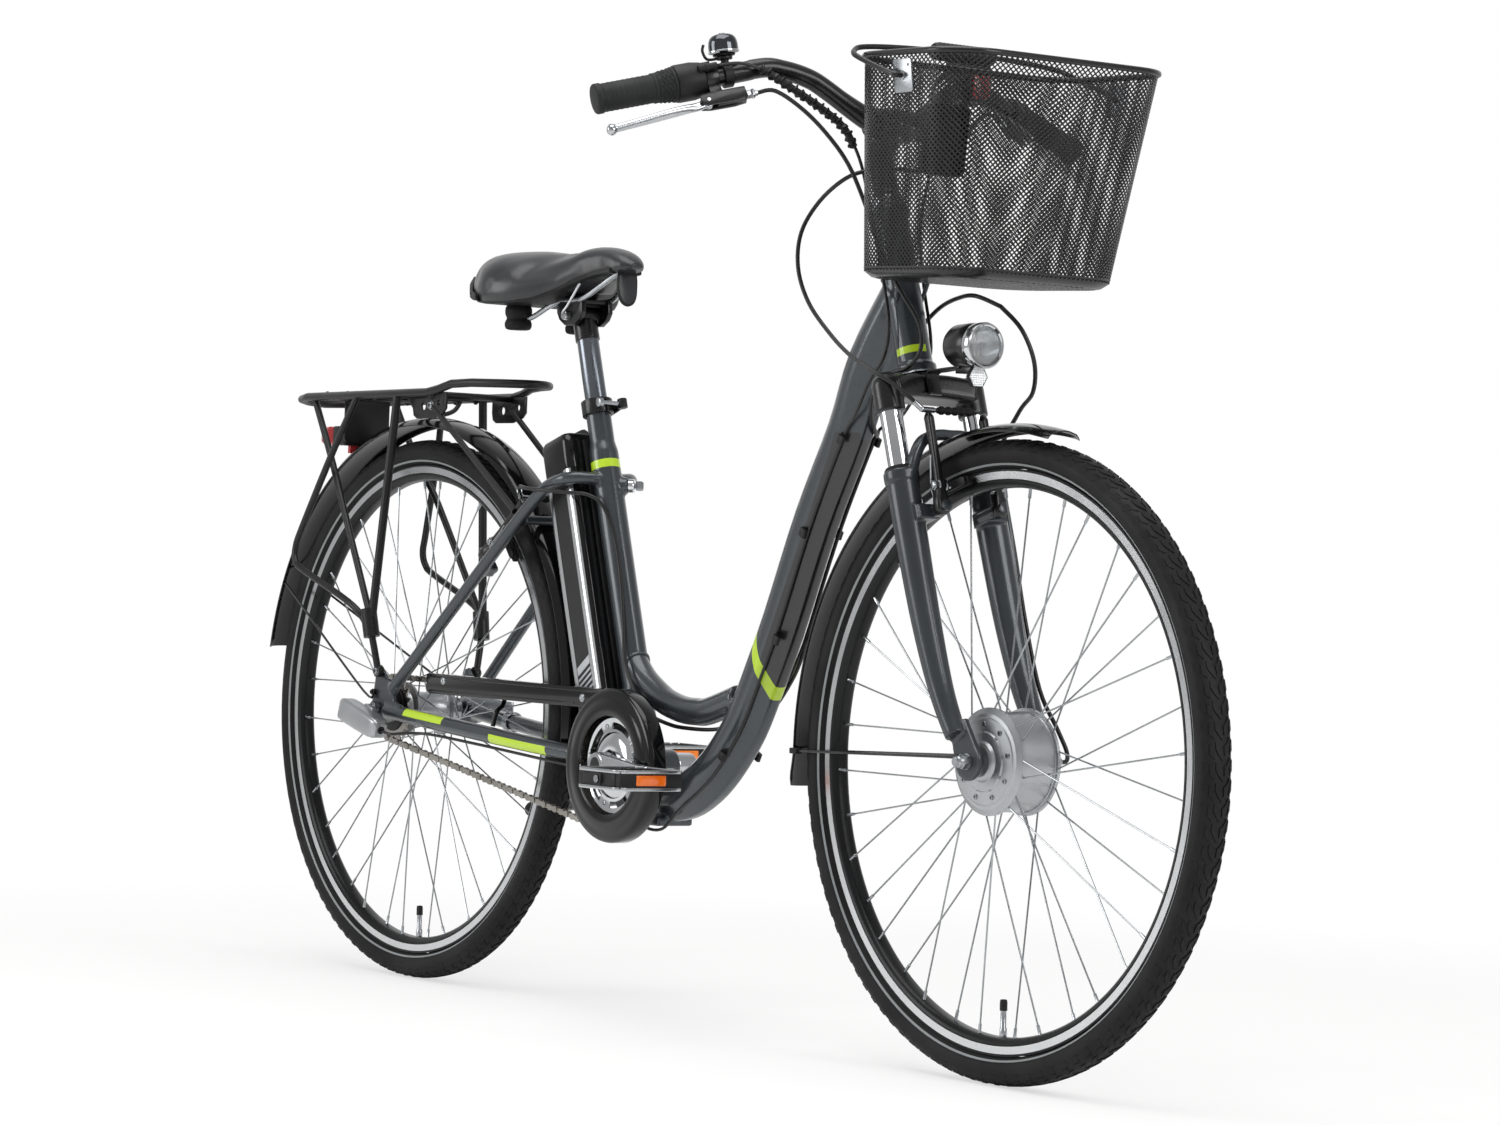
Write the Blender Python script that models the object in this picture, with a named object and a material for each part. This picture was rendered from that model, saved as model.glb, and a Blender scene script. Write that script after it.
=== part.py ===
"""Electric city bike: low step frame, suspension fork, rear battery, rack and wire basket.

Metres, +Z up, +X forward, +Y to the bike's left. The origin is on the ground under the middle.
Places are given from the ground under the rear axle and moved to the origin by at().
"""
import math

import bmesh
import bpy
from mathutils import Matrix, Vector

# Driving dimensions, in metres and degrees
WHEEL_RADIUS = 0.349
WHEELBASE = 1.204
DRAWN_WHEELBASE = 1.204
TYRE_HALF_WIDTH = 0.0198
RIM_OUTER = 0.3165
RIM_INNER = 0.296
RIM_HALF_WIDTH = 0.012
HEAD_ANGLE = 71.5
SEAT_ANGLE = 72.0
HEAD_TUBE_LENGTH = 0.178
HEAD_TUBE_RADIUS = 0.020
FORK_LENGTH = 0.467
FORK_OFFSET = 0.0427
FORK_TRAVEL = 0.030
LEG_SPACING = 0.058
STANCHION_RADIUS = 0.0127
STEERER_RADIUS = 0.0127
BRACKET_X = 0.520
BRACKET_Z = 0.305
BRACKET_RADIUS = 0.0205
BRACKET_HALF_WIDTH = 0.034
SPINDLE_RADIUS = 0.0085
SEAT_TUBE_RADIUS = 0.018
SEAT_TUBE_TOP = 0.462
POST_RADIUS = 0.0136
POST_TOP = 0.565
CRANK_LENGTH = 0.170
CHAIN_LINE = 0.0455
CHAINRING_PITCH = 0.0809
SPROCKET_PITCH = 0.0406
REAR_HALF_SPACE = 0.0635
DROPOUT_THICKNESS = 0.006
FRONT_HALF_SPACE = 0.050
AXLE_RADIUS = 0.005
BAR_RADIUS = 0.0111
GRIP_RADIUS = 0.0158
BATTERY_WIDTH = 0.076
BATTERY_DEPTH = 0.060
BATTERY_LOW = 0.064
BATTERY_HIGH = 0.430
DOCK_THICKNESS = 0.0036
BASKET_HEIGHT = 0.238
BASKET_WALL = 0.0016
RACK_HEIGHT = 0.752
GAP = 0.0003

X = Vector((1.0, 0.0, 0.0))
Y = Vector((0.0, 1.0, 0.0))
Z = Vector((0.0, 0.0, 1.0))

# The rear fender reaches furthest back and the front tyre furthest forward
REAR_FENDER_RADIUS = 0.378
REAR_FENDER_END = 169.6
REAR_REACH = -REAR_FENDER_RADIUS * math.cos(math.radians(REAR_FENDER_END))
REAR_AXLE_X = (REAR_REACH - WHEELBASE - WHEEL_RADIUS) / 2.0


def at(x, y, z):
    """A point given from the ground under the rear axle; ahead of the bracket it follows the front wheel."""
    share = min(1.0, max(0.0, (x - 0.62) / 0.26))
    return Vector((x + share * (WHEELBASE - DRAWN_WHEELBASE) + REAR_AXLE_X, y, z))


REAR_AXLE = at(0.0, 0.0, WHEEL_RADIUS)
FRONT_AXLE = at(DRAWN_WHEELBASE, 0.0, WHEEL_RADIUS)
BRACKET = at(BRACKET_X, 0.0, BRACKET_Z)
STEER_UP = Vector((-math.cos(math.radians(HEAD_ANGLE)), 0.0, math.sin(math.radians(HEAD_ANGLE))))
STEER_FRONT = Vector((STEER_UP.z, 0.0, -STEER_UP.x))
HEAD_BOTTOM = FRONT_AXLE + STEER_UP * FORK_LENGTH - STEER_FRONT * FORK_OFFSET
SEAT_UP = Vector((-math.cos(math.radians(SEAT_ANGLE)), 0.0, math.sin(math.radians(SEAT_ANGLE))))
SEAT_BACK = Vector((-SEAT_UP.z, 0.0, SEAT_UP.x))


def steer(up, front, y=0.0):
    """A point in the steering frame: up the axis from the head tube's foot, and to the front."""
    return HEAD_BOTTOM + STEER_UP * up + STEER_FRONT * front + Y * y


def seat(up, back=0.0, y=0.0):
    """A point along the seat tube from the bottom bracket, and behind it."""
    return BRACKET + SEAT_UP * up + SEAT_BACK * back + Y * y


def clear_scene():
    for item in list(bpy.data.objects):
        bpy.data.objects.remove(item, do_unlink=True)


def finish(name, colour, roughness, metallic=0.0):
    """A plain material with the part's colour, roughness and metallic value."""
    material = bpy.data.materials.new(name)
    material.use_nodes = True
    shader = material.node_tree.nodes["Principled BSDF"]
    shader.inputs["Base Color"].default_value = (*colour, 1.0)
    shader.inputs["Roughness"].default_value = roughness
    shader.inputs["Metallic"].default_value = metallic
    return material


def mesh_of(bm):
    bmesh.ops.recalc_face_normals(bm, faces=bm.faces)
    mesh = bpy.data.meshes.new("work")
    bm.to_mesh(mesh)
    bm.free()
    return mesh


def skin(rings, closed=False):
    """A body through rings of points, capped at both ends or closed on itself."""
    bm = bmesh.new()
    loops = [[bm.verts.new(point) for point in ring] for ring in rings]
    count = len(loops[0])
    pairs = list(zip(loops, loops[1:]))
    if closed:
        pairs.append((loops[-1], loops[0]))
    for low, high in pairs:
        for i in range(count):
            j = (i + 1) % count
            bm.faces.new((low[i], low[j], high[j], high[i]))
    if not closed:
        bm.faces.new(loops[0])
        bm.faces.new(loops[-1])
    return mesh_of(bm)


def smooth(values, steps=4):
    """A smooth run through the values, with the given steps between each two."""
    run = []
    last = len(values) - 1
    for i in range(last):
        a = values[max(i - 1, 0)]
        b = values[i]
        c = values[i + 1]
        d = values[min(i + 2, last)]
        for k in range(steps):
            t = k / steps
            line = (c - a) * t
            bend = (2.0 * a - 5.0 * b + 4.0 * c - d) * t ** 2
            twist = (3.0 * b - a - 3.0 * c + d) * t ** 3
            run.append(0.5 * (2.0 * b + line + bend + twist))
    run.append(values[-1])
    return run


def frames(points, closed=False, hint=Z):
    """The tangent, side and up directions along a run of points."""
    result = []
    count = len(points)
    up = None
    for i, point in enumerate(points):
        before = points[i - 1] if i or closed else point
        after = points[(i + 1) % count] if i < count - 1 or closed else point
        tangent = (after - before).normalized()
        if up is None:
            up = hint - tangent * hint.dot(tangent)
            if up.length < 0.1:
                up = tangent.orthogonal()
        up = (up - tangent * up.dot(tangent)).normalized()
        result.append((tangent, tangent.cross(up), up))
    return result


def oval(width, height, count, turn=0.0):
    """Points round an oval with the given half width and half height."""
    angles = [turn + math.tau * k / count for k in range(count)]
    return [(width * math.cos(a), height * math.sin(a)) for a in angles]


def tube(points, radii, sides=10, closed=False, hint=Z):
    """A round tube along points, with one radius or one for each point."""
    if isinstance(radii, float):
        radii = [radii] * len(points)
    rings = []
    for point, radius, (_, side, up) in zip(points, radii, frames(points, closed, hint)):
        rings.append([point + side * u + up * v for u, v in oval(radius, radius, sides)])
    return skin(rings, closed)


def section_tube(points, outlines, hint=Z):
    """A tube along points with its own outline, as (side, up) pairs, at each point."""
    rings = []
    for point, outline, (_, side, up) in zip(points, outlines, frames(points, False, hint)):
        rings.append([point + side * u + up * v for u, v in outline])
    return skin(rings)


def turned(profile, origin, axis, count=24, hole=False, side=None):
    """A turned body from (along, radius) pairs; hole when the profile closes on itself."""
    axis = axis.normalized()
    side = side or axis.orthogonal().normalized()
    up = axis.cross(side)
    rings = []
    for along, radius in profile:
        center = origin + axis * along
        rings.append([center + side * u + up * v for u, v in oval(radius, radius, count)])
    return skin(rings, closed=hole)


def collar(origin, axis, low, high, inner, outer, count=20, side=None):
    """A plain ring with a square section."""
    profile = [(low, inner), (low, outer), (high, outer), (high, inner)]
    return turned(profile, origin, axis, count, hole=True, side=side)


def rod(start, end, radius, sides=12):
    """A straight round bar."""
    axis = end - start
    return turned([(0.0, radius), (axis.length, radius)], start, axis, sides)


def block(center, size, x=X, y=Y, z=Z):
    """A box with its own axes."""
    half_x = x * (size[0] / 2.0)
    half_y = y * (size[1] / 2.0)
    half_z = z * (size[2] / 2.0)
    corners = [(-1, -1), (1, -1), (1, 1), (-1, 1)]
    low = [center - half_z + half_x * i + half_y * j for i, j in corners]
    high = [center + half_z + half_x * i + half_y * j for i, j in corners]
    return skin([low, high])


def plate(outline, low, high, side=X, up=Z, out=Y, origin=None):
    """A flat plate: an outline of (side, up) pairs from low to high along out."""
    origin = origin or Vector()
    bottom = [origin + side * u + up * v + out * low for u, v in outline]
    top = [origin + side * u + up * v + out * high for u, v in outline]
    return skin([bottom, top])


def rounded(half_width, half_height, corner, steps=3):
    """The outline of a box with round corners."""
    points = []
    for k, (i, j) in enumerate(((1, 1), (-1, 1), (-1, -1), (1, -1))):
        for n in range(steps + 1):
            angle = math.radians(90.0 * (k + n / steps))
            u = i * (half_width - corner) + corner * math.cos(angle)
            v = j * (half_height - corner) + corner * math.sin(angle)
            points.append((u, v))
    return points


def gather(meshes):
    """Several separate bodies in one mesh."""
    bm = bmesh.new()
    for mesh in meshes:
        bm.from_mesh(mesh)
    return mesh_of(bm)


def combine(mesh, other, operation):
    """The result of one Boolean step, as a new mesh."""
    base = bpy.data.objects.new("base", mesh)
    tool = bpy.data.objects.new("tool", other)
    bpy.context.scene.collection.objects.link(base)
    bpy.context.scene.collection.objects.link(tool)
    step = base.modifiers.new("step", "BOOLEAN")
    step.operation = operation
    step.solver = "EXACT"
    step.object = tool
    graph = bpy.context.evaluated_depsgraph_get()
    result = bpy.data.meshes.new_from_object(base.evaluated_get(graph))
    bpy.data.objects.remove(base, do_unlink=True)
    bpy.data.objects.remove(tool, do_unlink=True)
    return result


def union(*meshes):
    result = meshes[0]
    for mesh in meshes[1:]:
        result = combine(result, mesh, "UNION")
    return result


def cut(mesh, *tools):
    for tool in tools:
        mesh = combine(mesh, tool, "DIFFERENCE")
    return mesh


def part(name, mesh, material, pivot=None):
    """One named sub-part; a moving piece has its origin on its joint's axis."""
    origin = pivot or Vector()
    mesh = mesh.copy()
    mesh.name = name
    mesh.transform(Matrix.Translation(-origin))
    mesh.materials.clear()
    mesh.materials.append(material)
    mesh.shade_smooth()
    mesh.set_sharp_from_angle(angle=math.radians(35.0))
    item = bpy.data.objects.new(name, mesh)
    item.location = origin
    bpy.context.scene.collection.objects.link(item)
    return item


def cable(name, points, radius, material, steps=3):
    """A cable as a bevelled curve along a smooth run through hand-chosen points."""
    curve = bpy.data.curves.new(name, "CURVE")
    curve.dimensions = "3D"
    curve.bevel_depth = radius
    curve.bevel_resolution = 2
    curve.use_fill_caps = True
    run = smooth(points, steps)
    spline = curve.splines.new("POLY")
    spline.points.add(len(run) - 1)
    for slot, point in zip(spline.points, run):
        slot.co = (point.x, point.y, point.z, 1.0)
    curve.materials.append(material)
    item = bpy.data.objects.new(name, curve)
    bpy.context.scene.collection.objects.link(item)
    return item


clear_scene()

PAINT = finish("graphite_paint", (0.045, 0.046, 0.05), 0.45, 0.3)
BLACK_METAL = finish("black_metal", (0.02, 0.02, 0.021), 0.4, 0.4)
BLACK_GLOSS = finish("black_gloss", (0.01, 0.01, 0.011), 0.15)
BLACK_PLASTIC = finish("black_plastic", (0.022, 0.022, 0.023), 0.5)
SILVER = finish("silver_alloy", (0.62, 0.62, 0.63), 0.3, 1.0)
CHROME = finish("chrome", (0.8, 0.8, 0.81), 0.1, 1.0)
STEEL = finish("zinc_steel", (0.5, 0.5, 0.5), 0.35, 1.0)
RUBBER = finish("rubber", (0.025, 0.025, 0.025), 0.8)
CABLE_BLACK = finish("cable_black", (0.015, 0.015, 0.015), 0.4)
SADDLE_BLACK = finish("saddle_cover", (0.02, 0.02, 0.021), 0.7)
RED = finish("red_plastic", (0.5, 0.02, 0.015), 0.3)


# Wheels: tyre, rim, and a hub with its spokes fused to its flanges
TYRE_BEAD = RIM_OUTER + GAP
TYRE_PROFILE = [
    (-0.0110, TYRE_BEAD), (0.0110, TYRE_BEAD), (TYRE_HALF_WIDTH, WHEEL_RADIUS - 0.0160),
    (0.0100, WHEEL_RADIUS), (-0.0100, WHEEL_RADIUS), (-TYRE_HALF_WIDTH, WHEEL_RADIUS - 0.0160),
]
RIM_PROFILE = [
    (-0.0060, RIM_INNER), (0.0060, RIM_INNER), (RIM_HALF_WIDTH, 0.3030),
    (RIM_HALF_WIDTH, RIM_OUTER), (-RIM_HALF_WIDTH, RIM_OUTER), (-RIM_HALF_WIDTH, 0.3030),
]
WHEEL_SIDES = 36
SPOKE_END = RIM_INNER * math.cos(math.pi / WHEEL_SIDES) - GAP
SPOKE_RADIUS = 0.0010


def tyre(axle):
    return turned(TYRE_PROFILE, axle, Y, WHEEL_SIDES, hole=True, side=-Z)


def rim(axle):
    return turned(RIM_PROFILE, axle, Y, WHEEL_SIDES, hole=True, side=-Z)


def spokes(axle, hole_radius, flange_in, flange_out, lead):
    """Thirty-six spokes that leave the flange holes by a lead angle on either side."""
    bars = []
    for k in range(36):
        face = 1.0 if k % 2 else -1.0
        turn = 1.0 if (k // 2) % 2 else -1.0
        rim_angle = math.tau * (k + 0.5) / 36.0
        hub_angle = rim_angle + turn * math.radians(lead)
        level = flange_out if turn > 0.0 else flange_in
        start = axle + Y * (face * level)
        start += (X * math.cos(hub_angle) + Z * math.sin(hub_angle)) * hole_radius
        end = axle + Y * (face * 0.0035)
        end += (X * math.cos(rim_angle) + Z * math.sin(rim_angle)) * SPOKE_END
        bars.append(tube([start, end], SPOKE_RADIUS, 3, hint=Y))
    return gather(bars)


REAR_HUB_HALF = 0.0505
REAR_HUB_PROFILE = [
    (-REAR_HUB_HALF, AXLE_RADIUS + 0.0005), (-REAR_HUB_HALF, 0.0140), (-0.0430, 0.0150),
    (-0.0295, 0.0230), (-0.0290, 0.0340), (-0.0255, 0.0340), (-0.0250, 0.0260),
    (0.0250, 0.0260), (0.0255, 0.0340), (0.0290, 0.0340), (0.0295, 0.0230),
    (REAR_HUB_HALF, 0.0160), (REAR_HUB_HALF, AXLE_RADIUS + 0.0005),
]
MOTOR_HALF = 0.0400
MOTOR_PROFILE = [
    (-MOTOR_HALF, AXLE_RADIUS + 0.0014), (-MOTOR_HALF, 0.0170), (-0.0350, 0.0220),
    (-0.0310, 0.0500), (-0.0265, 0.0585), (-0.0225, 0.0585), (-0.0220, 0.0540), (0.0220, 0.0540),
    (0.0225, 0.0585), (0.0265, 0.0585), (0.0310, 0.0500), (0.0350, 0.0220), (MOTOR_HALF, 0.0170),
    (MOTOR_HALF, AXLE_RADIUS + 0.0014),
]


def build_wheels():
    part("rear_tyre", tyre(REAR_AXLE), RUBBER, REAR_AXLE)
    part("rear_rim", rim(REAR_AXLE), BLACK_METAL, REAR_AXLE)
    hub = turned(REAR_HUB_PROFILE, REAR_AXLE, Y, 12, hole=True)
    hub = union(hub, spokes(REAR_AXLE, 0.0310, 0.0262, 0.0283, 58.0))
    part("rear_hub", hub, SILVER, REAR_AXLE)
    part("front_tyre", tyre(FRONT_AXLE), RUBBER, FRONT_AXLE)
    part("front_rim", rim(FRONT_AXLE), BLACK_METAL, FRONT_AXLE)
    motor = turned(MOTOR_PROFILE, FRONT_AXLE, Y, 16, hole=True)
    motor = union(motor, spokes(FRONT_AXLE, 0.0560, 0.0234, 0.0256, 20.0))
    part("hub_motor", motor, SILVER, FRONT_AXLE)


build_wheels()


# Frame: welded tubes, bored for the steerer, the seatpost, the spindle, the stand and the lock
DOWN_TUBE_HALF_WIDTH = 0.026
DOWN_TUBE_HALF_DEPTH = 0.030
STEP_TUBE_RADIUS = 0.0165
STAY_RADIUS = 0.008
STEERER_BORE = STEERER_RADIUS / math.cos(math.pi / 16) + GAP
SPINDLE_BORE = SPINDLE_RADIUS / math.cos(math.pi / 14) + GAP
SEAT_SLEEVE_RADIUS = POST_RADIUS + 0.0019
REAR_BRAKE_RADIUS = 0.283
REAR_BRAKE_DIRECTION = math.radians(40.05)
REAR_RADIAL = Vector((math.cos(REAR_BRAKE_DIRECTION), 0.0, math.sin(REAR_BRAKE_DIRECTION)))
REAR_BEHIND = Vector((-REAR_RADIAL.z, 0.0, REAR_RADIAL.x))
BRAKE_PIVOT_Y = 0.040
BRAKE_PIN_RADIUS = 0.0040
ARM_THICKNESS = 0.012
STAND_PIVOT = at(0.436, 0.050, 0.262)
STAND_FOLDED = Vector((-0.296, 0.033, -0.035))
STAND_LOWERED = Vector((0.030, 0.160, -0.250))
STAND_AXIS = STAND_LOWERED.cross(STAND_FOLDED).normalized()
STAND_ACROSS = X.cross(STAND_AXIS).normalized()
STAND_PIN_RADIUS = 0.005
LOCK_AXIS = Vector((0.70, 0.714, 0.0)).normalized()
LOCK_ORIGIN = seat(0.3545) + LOCK_AXIS * (SEAT_TUBE_RADIUS + 0.0070)
BRIDGE_RADIUS = 0.006
BRIDGE_REACH = REAR_FENDER_RADIUS + GAP + BRIDGE_RADIUS


def down_tube_outline(share):
    """Rounded on the inner side, with a flat keel between two flanks outside."""
    w = DOWN_TUBE_HALF_WIDTH * share
    h = DOWN_TUBE_HALF_DEPTH * share
    inner = [(w * math.cos(math.radians(a)), 0.13 * h + 0.87 * h * math.sin(math.radians(a)))
             for a in range(0, 181, 30)]
    outer = [(-0.94 * w, -0.25 * h), (-0.29 * w, -h), (0.29 * w, -h), (0.94 * w, -0.25 * h)]
    return inner + outer


def down_tube():
    path = [at(0.988, 0, 0.862), at(0.936, 0, 0.785), at(0.902, 0, 0.707), at(0.8455, 0, 0.607),
            at(0.791, 0, 0.489), at(0.759, 0, 0.428), at(0.730, 0, 0.376), at(0.706, 0, 0.345),
            at(0.676, 0, 0.315), at(0.646, 0, 0.293), at(0.612, 0, 0.276), at(0.575, 0, 0.269),
            at(0.545, 0, 0.275), BRACKET + Vector((-0.004, 0, -0.004))]
    share = [0.86, 1.0, 1.0, 1.0, 1.0, 1.0, 1.0, 1.0, 1.0, 0.99, 0.95, 0.88, 0.72, 0.5]
    outlines = [down_tube_outline(k) for k in share]
    return section_tube(path, outlines, hint=Vector((-0.9, 0.0, 0.4)))


def step_tube():
    path = [seat(0.146, 0.0), at(0.4806, 0, 0.4307), at(0.5058, 0, 0.4076), at(0.5433, 0, 0.3876),
            at(0.567, 0, 0.3800), at(0.5924, 0, 0.3755), at(0.618, 0, 0.3748), at(0.644, 0, 0.3769),
            at(0.705, 0, 0.395)]
    return tube(path, STEP_TUBE_RADIUS, 12)


def seat_tube():
    profile = [(0.0, SEAT_TUBE_RADIUS), (0.396, SEAT_TUBE_RADIUS), (0.408, SEAT_SLEEVE_RADIUS),
               (SEAT_TUBE_TOP, SEAT_SLEEVE_RADIUS)]
    return turned(profile, BRACKET, SEAT_UP, 16)


def seat_stay(y):
    path = [at(0.413, 0.009 * y, 0.648), at(0.409, 0.024 * y, 0.649), at(0.402, 0.036 * y, 0.650),
            at(0.394, 0.044 * y, 0.649), at(0.384, 0.0495 * y, 0.647), at(0.366, 0.0522 * y, 0.642),
            at(0.345, 0.0530 * y, 0.632), at(0.300, 0.0545 * y, 0.600), at(0.165, 0.0600 * y, 0.4875),
            at(0.030, 0.0665 * y, 0.374)]
    return tube(path, STAY_RADIUS, 7)


def chain_stay(y):
    path = [at(0.018, 0.0665 * y, 0.346), at(0.120, 0.0610 * y, 0.3375), at(0.300, 0.0500 * y, 0.3225),
            at(0.380, 0.0395 * y, 0.316), at(0.440, 0.0300 * y, 0.311), at(0.500, 0.0220 * y, 0.306)]
    return tube(path, [0.0095, 0.0105, 0.0105, 0.0105, 0.0105, 0.0105], 8)


DROPOUT_OUTLINE = [
    (-0.020, -0.006), (-0.012, -0.018), (0.004, -0.021), (0.034, -0.016), (0.052, -0.010),
    (0.052, 0.006), (0.034, 0.012), (0.046, 0.026), (0.040, 0.036), (0.018, 0.040),
    (0.002, 0.054), (-0.008, 0.052), (-0.012, 0.030),
]


def dropout(y):
    low = REAR_HALF_SPACE if y > 0 else -REAR_HALF_SPACE - DROPOUT_THICKNESS
    body = plate(DROPOUT_OUTLINE, low, low + DROPOUT_THICKNESS, origin=REAR_AXLE)
    return body


def brake_post(origin, radial, outward, y, from_depth, boss_depth):
    """A brake boss and its pin, with a head that keeps the arm on."""
    base = origin + Y * (BRAKE_PIVOT_Y * y)
    pin_end = boss_depth + GAP + ARM_THICKNESS + GAP
    profile = [(from_depth, 0.0075), (boss_depth, 0.0075), (boss_depth, BRAKE_PIN_RADIUS),
               (pin_end, BRAKE_PIN_RADIUS), (pin_end, 0.0065), (pin_end + 0.003, 0.0065)]
    return turned(profile, base, outward, 8)


REAR_BOSS_DEPTH = 0.0200


def rear_brake_mount(y):
    pivot = REAR_AXLE + REAR_RADIAL * REAR_BRAKE_RADIUS
    middle = pivot + Y * (0.0475 * y) + REAR_BEHIND * 0.004
    lug = block(middle, (0.018, 0.023, 0.014), REAR_RADIAL, Y, REAR_BEHIND)
    return [lug, brake_post(pivot, REAR_RADIAL, REAR_BEHIND, y, 0.0, REAR_BOSS_DEPTH)]


def build_frame():
    head = turned([(-0.012, 0.0230), (0.0, 0.0235), (0.0, HEAD_TUBE_RADIUS),
                   (HEAD_TUBE_LENGTH, HEAD_TUBE_RADIUS), (HEAD_TUBE_LENGTH, 0.0235),
                   (HEAD_TUBE_LENGTH + 0.010, 0.0225)], HEAD_BOTTOM, STEER_UP, 16)
    shell = rod(BRACKET - Y * BRACKET_HALF_WIDTH, BRACKET + Y * BRACKET_HALF_WIDTH, BRACKET_RADIUS, 16)
    gusset = plate([(0.992, 0.823), (0.9975, 0.786), (0.962, 0.742), (0.938, 0.728),
                    (0.925, 0.745), (0.955, 0.815)], -0.006, 0.006, origin=at(0.960, 0, 0) - X * 0.960)
    high = REAR_AXLE + REAR_RADIAL * BRIDGE_REACH
    high_bridge = rod(high - Y * 0.0545, high + Y * 0.0545, BRIDGE_RADIUS, 8)
    low = REAR_AXLE + Vector((math.cos(math.radians(5.3)), 0, -math.sin(math.radians(5.3)))) * BRIDGE_REACH
    low_bridge = rod(low - Y * 0.039, low + Y * 0.039, BRIDGE_RADIUS, 8)
    stand_plate = block(at(0.428, 0.016, 0.2965), (0.046, 0.060, 0.012))
    lug_middle = STAND_PIVOT - STAND_AXIS * 0.0240 + STAND_ACROSS * 0.0160
    stand_lug = block(lug_middle, (0.032, 0.0120, 0.066),
                      STAND_AXIS.cross(STAND_ACROSS), STAND_AXIS, STAND_ACROSS)
    guide = block(at(0.566, 0.0, 0.2420), (0.030, 0.052, 0.012))
    lock_boss = rod(LOCK_ORIGIN - LOCK_AXIS * 0.012, LOCK_ORIGIN, 0.0105, 10)
    body = union(head, down_tube(), seat_tube(), step_tube(), shell, gusset)
    body = union(body, seat_stay(1), seat_stay(-1), chain_stay(1), chain_stay(-1))
    body = union(body, dropout(1), dropout(-1), high_bridge, low_bridge, stand_plate, stand_lug)
    for y in (1, -1):
        body = union(body, *rear_brake_mount(y))
    body = union(body, guide, lock_boss)
    steerer_bore = rod(steer(-0.02, 0), steer(HEAD_TUBE_LENGTH + 0.02, 0), STEERER_BORE, 16)
    post_bore = rod(seat(0.215), seat(SEAT_TUBE_TOP + 0.01), POST_RADIUS + GAP, 16)
    spindle_bore = rod(BRACKET - Y * 0.05, BRACKET + Y * 0.05, SPINDLE_BORE, 14)
    axle_bore = rod(REAR_AXLE - Y * 0.09, REAR_AXLE + Y * 0.09, AXLE_RADIUS + GAP, 12)
    slit = block(seat(SEAT_TUBE_TOP - 0.010, -0.014), (0.010, 0.003, 0.024), SEAT_BACK, Y, SEAT_UP)
    stand_bore = rod(STAND_PIVOT - STAND_AXIS * 0.05, STAND_PIVOT + STAND_AXIS * 0.01,
                     STAND_PIN_RADIUS / math.cos(math.pi / 10) + GAP, 10)
    body = cut(body, steerer_bore, post_bore, spindle_bore, axle_bore, slit, stand_bore)
    part("frame", body, PAINT)


build_frame()


# Suspension fork: crown with steerer and stanchions, and the lowers that slide on them
LEG_FRONT = 0.015
HEADSET_TOP = HEAD_TUBE_LENGTH + 0.010
STEERER_TOP = HEADSET_TOP + 0.013
QUILL_RADIUS = 0.0102
STANCHION_END = -0.225
LOWERS_TOP = -0.130
ARCH_FRONT = 0.039
FRONT_FENDER_RADIUS = 0.366
FRONT_BOSS_DEPTH = 0.0475
FRONT_BRAKE_UP = -0.183
DROPOUT_LOW = FRONT_HALF_SPACE
DROPOUT_HIGH = FRONT_HALF_SPACE + 0.006
PAD_TRACK = 0.309
PAD_FRONT = 0.0150
PAD_GAP = 0.0025


def build_fork_crown():
    path = [steer(-0.036, LEG_FRONT, -LEG_SPACING), steer(-0.030, 0.008, -0.030), steer(-0.028, 0.004),
            steer(-0.030, 0.008, 0.030), steer(-0.036, LEG_FRONT, LEG_SPACING)]
    bridge = section_tube(path, [rounded(0.019, 0.014, 0.007, 2)] * 5, hint=STEER_UP)
    race = turned([(-0.024, 0.023), (-0.012 - GAP, 0.0215)], HEAD_BOTTOM, STEER_UP, 16)
    steerer = rod(steer(-0.030, 0), steer(STEERER_TOP, 0), STEERER_RADIUS, 16)
    nut = turned([(HEADSET_TOP + GAP, 0.0195), (STEERER_TOP, 0.0175)], HEAD_BOTTOM, STEER_UP, 8)
    body = union(bridge, race, steerer, nut)
    for y in (LEG_SPACING, -LEG_SPACING):
        cover = turned([(-0.062, 0.0168), (-0.030, 0.0168), (-0.020, 0.0120)],
                       steer(0, LEG_FRONT, y), STEER_UP, 14)
        stanchion = rod(steer(STANCHION_END, LEG_FRONT, y), steer(-0.040, LEG_FRONT, y), STANCHION_RADIUS, 14)
        body = union(body, cover, stanchion)
    quill_bore = rod(steer(0.128, 0), steer(STEERER_TOP + 0.01, 0), QUILL_RADIUS + GAP, 12)
    part("fork_crown", cut(body, quill_bore), BLACK_METAL, HEAD_BOTTOM)


def front_dropout(y):
    outline = [(0.021 * math.cos(math.radians(a)), 0.021 * math.sin(math.radians(a)))
               for a in range(180, 391, 30)]
    outline += [(0.008, 0.046), (-0.020, 0.050)]
    low = DROPOUT_LOW if y > 0 else -DROPOUT_HIGH
    return plate(outline, low, low + DROPOUT_HIGH - DROPOUT_LOW, STEER_FRONT, STEER_UP, Y, FRONT_AXLE)


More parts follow.
